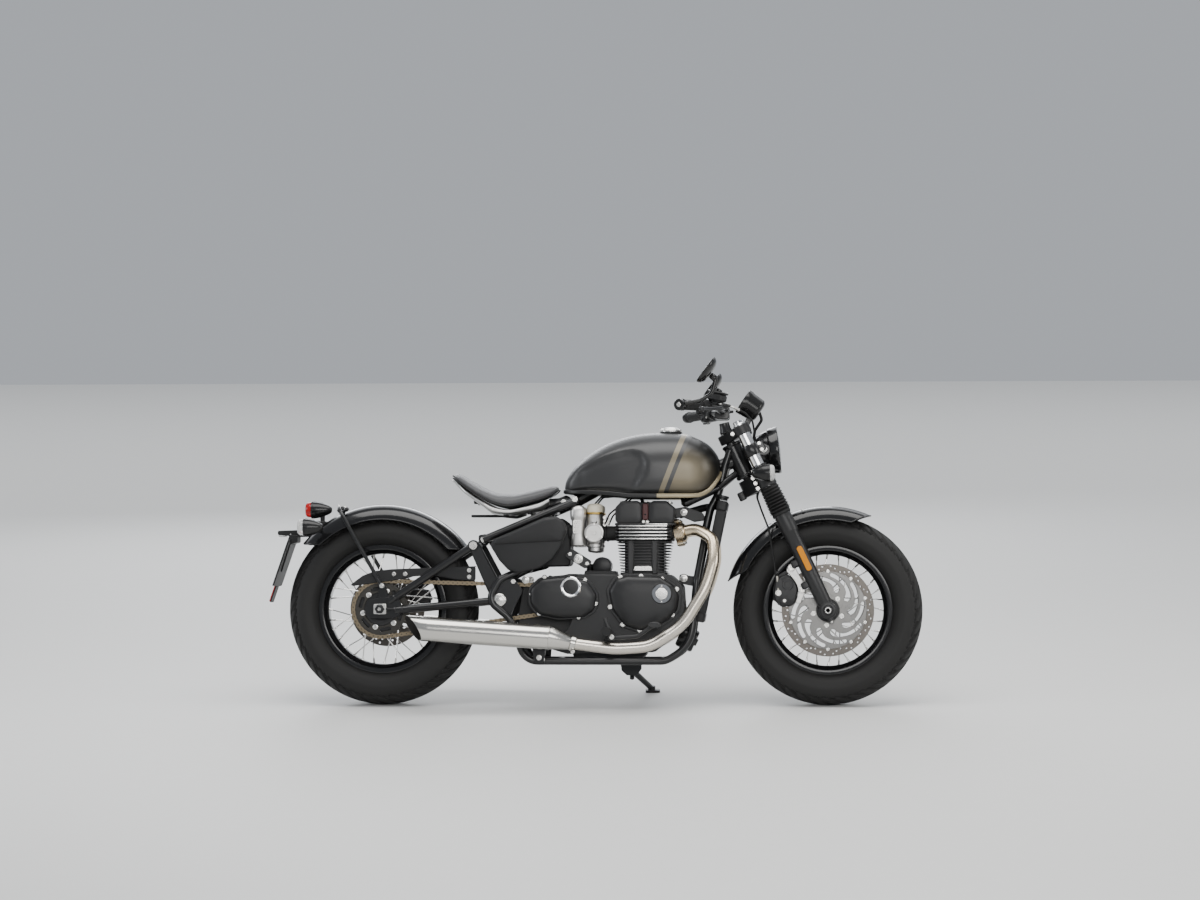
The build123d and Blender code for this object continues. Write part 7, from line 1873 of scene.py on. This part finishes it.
# ------------------------------------------------------------------ pegs and pedals
feet = Shape()
for side in BOTH:
    feet.lathe([(0, 9), (0, 13), (8, 13), (12, 9.4), (84, 9.4)], (20, side * 129.5, 232), Vector((20, side * 214, 246)) - Vector((20, side * 129.5, 232)), 0, 28)
    feet.box((20, side * 140, 233), (34, 18, 30), 0, 3)
    feet.box((20, side * 206, 245), (28, 16, 20), 0, 3)
    feet.bolt((20, side * 206, 255), (0, 0, 1), 4.5, 4, 1, "hex")
    prof = [(0, 9), (0, 14), (2, 15)]
    for k in range(10):
        t = 5 + 8.6 * k
        prof += [(t, 15.2), (t + 4.8, 15.2), (t + 5.6, 13.6), (t + 7.8, 13.6)]
    prof += [(92, 15.3), (94, 14), (94, 9)]
    feet.lathe(prof, (20, side * 212, 246), Vector((0, side * 94, 2)), 2, 32)
    lever = bend([(10, side * 222, 292), (34, side * 222, 226), (120, side * 222, 232), (172, side * 222, 268)], (24, 40), 6)
    feet.tube(lever, 7.2, 0, 16, wide=0.8)
    feet.lathe([(-9, 0), (-9, 12), (-7.5, 13), (7.5, 13), (9, 12), (9, 0)], (34, side * 222, 230), YDIR, 0, 32)
    feet.bolt((34, side * 231, 230), (0, side, 0), 7, 4, 1)
    if side < 0:
        pad = [(176 + 21 * math.cos(a), 270 + 9.6 * math.sin(a)) for a in [2 * math.pi * k / 32 for k in range(32)]]
        feet.slab(pad, side * 206, side * 252, 0, 2)
        for k in range(5):
            feet.box((162 + 7 * k, side * 229, 279.2 - abs(k - 2) * 0.8), (2.6, 42, 2), 2, 0.5)
    else:
        feet.lathe([(0, 7), (1, 10), (44, 10), (46, 7)], (176, 206, 270), YDIR, 2, 28)
        for k in range(7):
            feet.lathe([(0, 9.6), (0.8, 10.6), (2.4, 10.6), (3.2, 9.6)], (176, 210 + 5.6 * k, 270), YDIR, 2, 28, ring=True)
feet.done("foot_pegs_and_pedals", "chassis", ["engine", "bolt", "rubber"], ["foot_controls"], "black_steel", sharp=36)

# ------------------------------------------------------------------ frame fittings
fit = Shape()
# silver lug and key beside the headstock, head-tube ring, bolts on the frame
for side in BOTH:
    out = Vector((0, side, 0))
    for x, z, r, y in ((-346, 352, 13, 152), (-300, 414, 6.5, 146), (-316, 300, 6.5, 146)):
        fit.bolt((x, side * y, z), out, r, 6, 0, "hex" if r > 10 else "socket")
    for x, z in ((-224, 154), (-200, 154), (-213, 190)):
        fit.bolt((x, side * 148, z), out, 5.5, 5, 0)
    fit.lathe([(0, 22), (2, 20), (3, 17), (3, 13.5)], (-346, side * 151, 352), out, 0, 36)
    fit.bolt((-404, side * 111, 556), out, 9, 6, 0)
    fit.bolt((-96, side * 111, 690), out, 8, 5, 0)
    fit.slab(rounded([(-420, 545), (-388, 552), (-392, 574), (-420, 570)], 7), side * 99, side * 112, 1, 1.5)
fit.lathe([(0, 31.4), (0, 33.6), (2, 34.4), (8, 34.4), (10, 33), (10, 31.4)], stem(523), UP, 1, 44, ring=True)
fit.lathe([(0, 31.4), (2, 33), (8, 34.4), (10, 33.6), (10, 31.4)], stem(634), UP, 1, 44, ring=True)
# gusset plates between the headstock and the backbone
for side in BOTH:
    fit.slab(rounded([(430, 820), (408, 742), (340, 722), (250, 736), (300, 770), (392, 800)], 14), side * 12, side * 15, 1, 0.8)
fit.done("frame_bolts_and_gussets", "chassis", ["bolt", "frame"], slot="black_steel", sharp=36)

# ------------------------------------------------------------------ floor, light and camera
floor_mat = material("pale_floor", (0.62, 0.62, 0.61), 0.62, 0.0, 0.05, 30, 0.08, worn=0.97)
wall_mat = material("pale_backdrop", (0.50, 0.52, 0.56), 0.75, 0.0, 0.03, 20, 0.06, worn=0.97)
me = bpy.data.meshes.new("studio_floor")
me.from_pydata([(-14, -14, 0), (14, -14, 0), (14, 14, 0), (-14, 14, 0)], [], [(0, 1, 2, 3)])
floor = bpy.data.objects.new("studio_floor", me)
bpy.context.scene.collection.objects.link(floor)
me.materials.append(floor_mat)
floor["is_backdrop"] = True

world = bpy.data.worlds.new("studio")
bpy.context.scene.world = world
world.use_nodes = True
world.node_tree.nodes["Background"].inputs["Color"].default_value = (0.80, 0.84, 0.90, 1)
world.node_tree.nodes["Background"].inputs["Strength"].default_value = 0.55


def area(name, at, to, size, power, colour=(1, 1, 1)):
    lamp = bpy.data.lights.new(name, "AREA")
    lamp.shape, lamp.size, lamp.size_y, lamp.energy, lamp.color = "RECTANGLE", size[0], size[1], power, colour
    o = bpy.data.objects.new(name, lamp)
    o.location = at
    o.rotation_mode = "QUATERNION"
    o.rotation_quaternion = (Vector(to) - Vector(at)).to_track_quat("-Z", "Y")
    bpy.context.scene.collection.objects.link(o)
    o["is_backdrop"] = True


area("overhead", (0.2, -0.8, 4.2), (0, 0, 0.5), (5.0, 2.6), 230, (1.0, 0.99, 0.97))
area("front_side", (1.5, -5.2, 2.2), (0, 0, 0.5), (4.0, 1.6), 130, (1.0, 0.99, 0.97))
area("left_side", (-1.0, 5.0, 2.4), (0, 0, 0.5), (4.0, 1.6), 110, (0.95, 0.97, 1.0))
area("behind", (-4.6, -1.4, 1.8), (-0.4, 0, 0.5), (1.6, 2.0), 60, (0.95, 0.97, 1.0))
area("ahead", (4.6, -1.0, 1.8), (0.6, 0, 0.6), (1.6, 2.0), 60, (1.0, 0.98, 0.95))
area("far_floor", (0, 8.5, 6.5), (0, 8.5, 0), (22.0, 9.0), 900, (0.98, 0.99, 1.0))

cam = bpy.data.cameras.new("photo_view")
cam.lens, cam.sensor_width, cam.sensor_fit = 103.94, 36.0, "HORIZONTAL"
cam.clip_start, cam.clip_end = 0.1, 60.0
cam.dof.use_dof = False
camera = bpy.data.objects.new("photo_view", cam)
bpy.context.scene.collection.objects.link(camera)
bpy.context.scene.camera = camera
ahead = Vector((-200, 3451.8, -333.6)).normalized()
right = ahead.cross(Vector((0, math.sin(LEAN), math.cos(LEAN)))).normalized()
up = right.cross(ahead)
camera.matrix_world = Matrix(((right.x, up.x, -ahead.x, 0.6935), (right.y, up.y, -ahead.y, -11.6904), (right.z, up.z, -ahead.z, 1.9787), (0, 0, 0, 1)))

low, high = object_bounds()
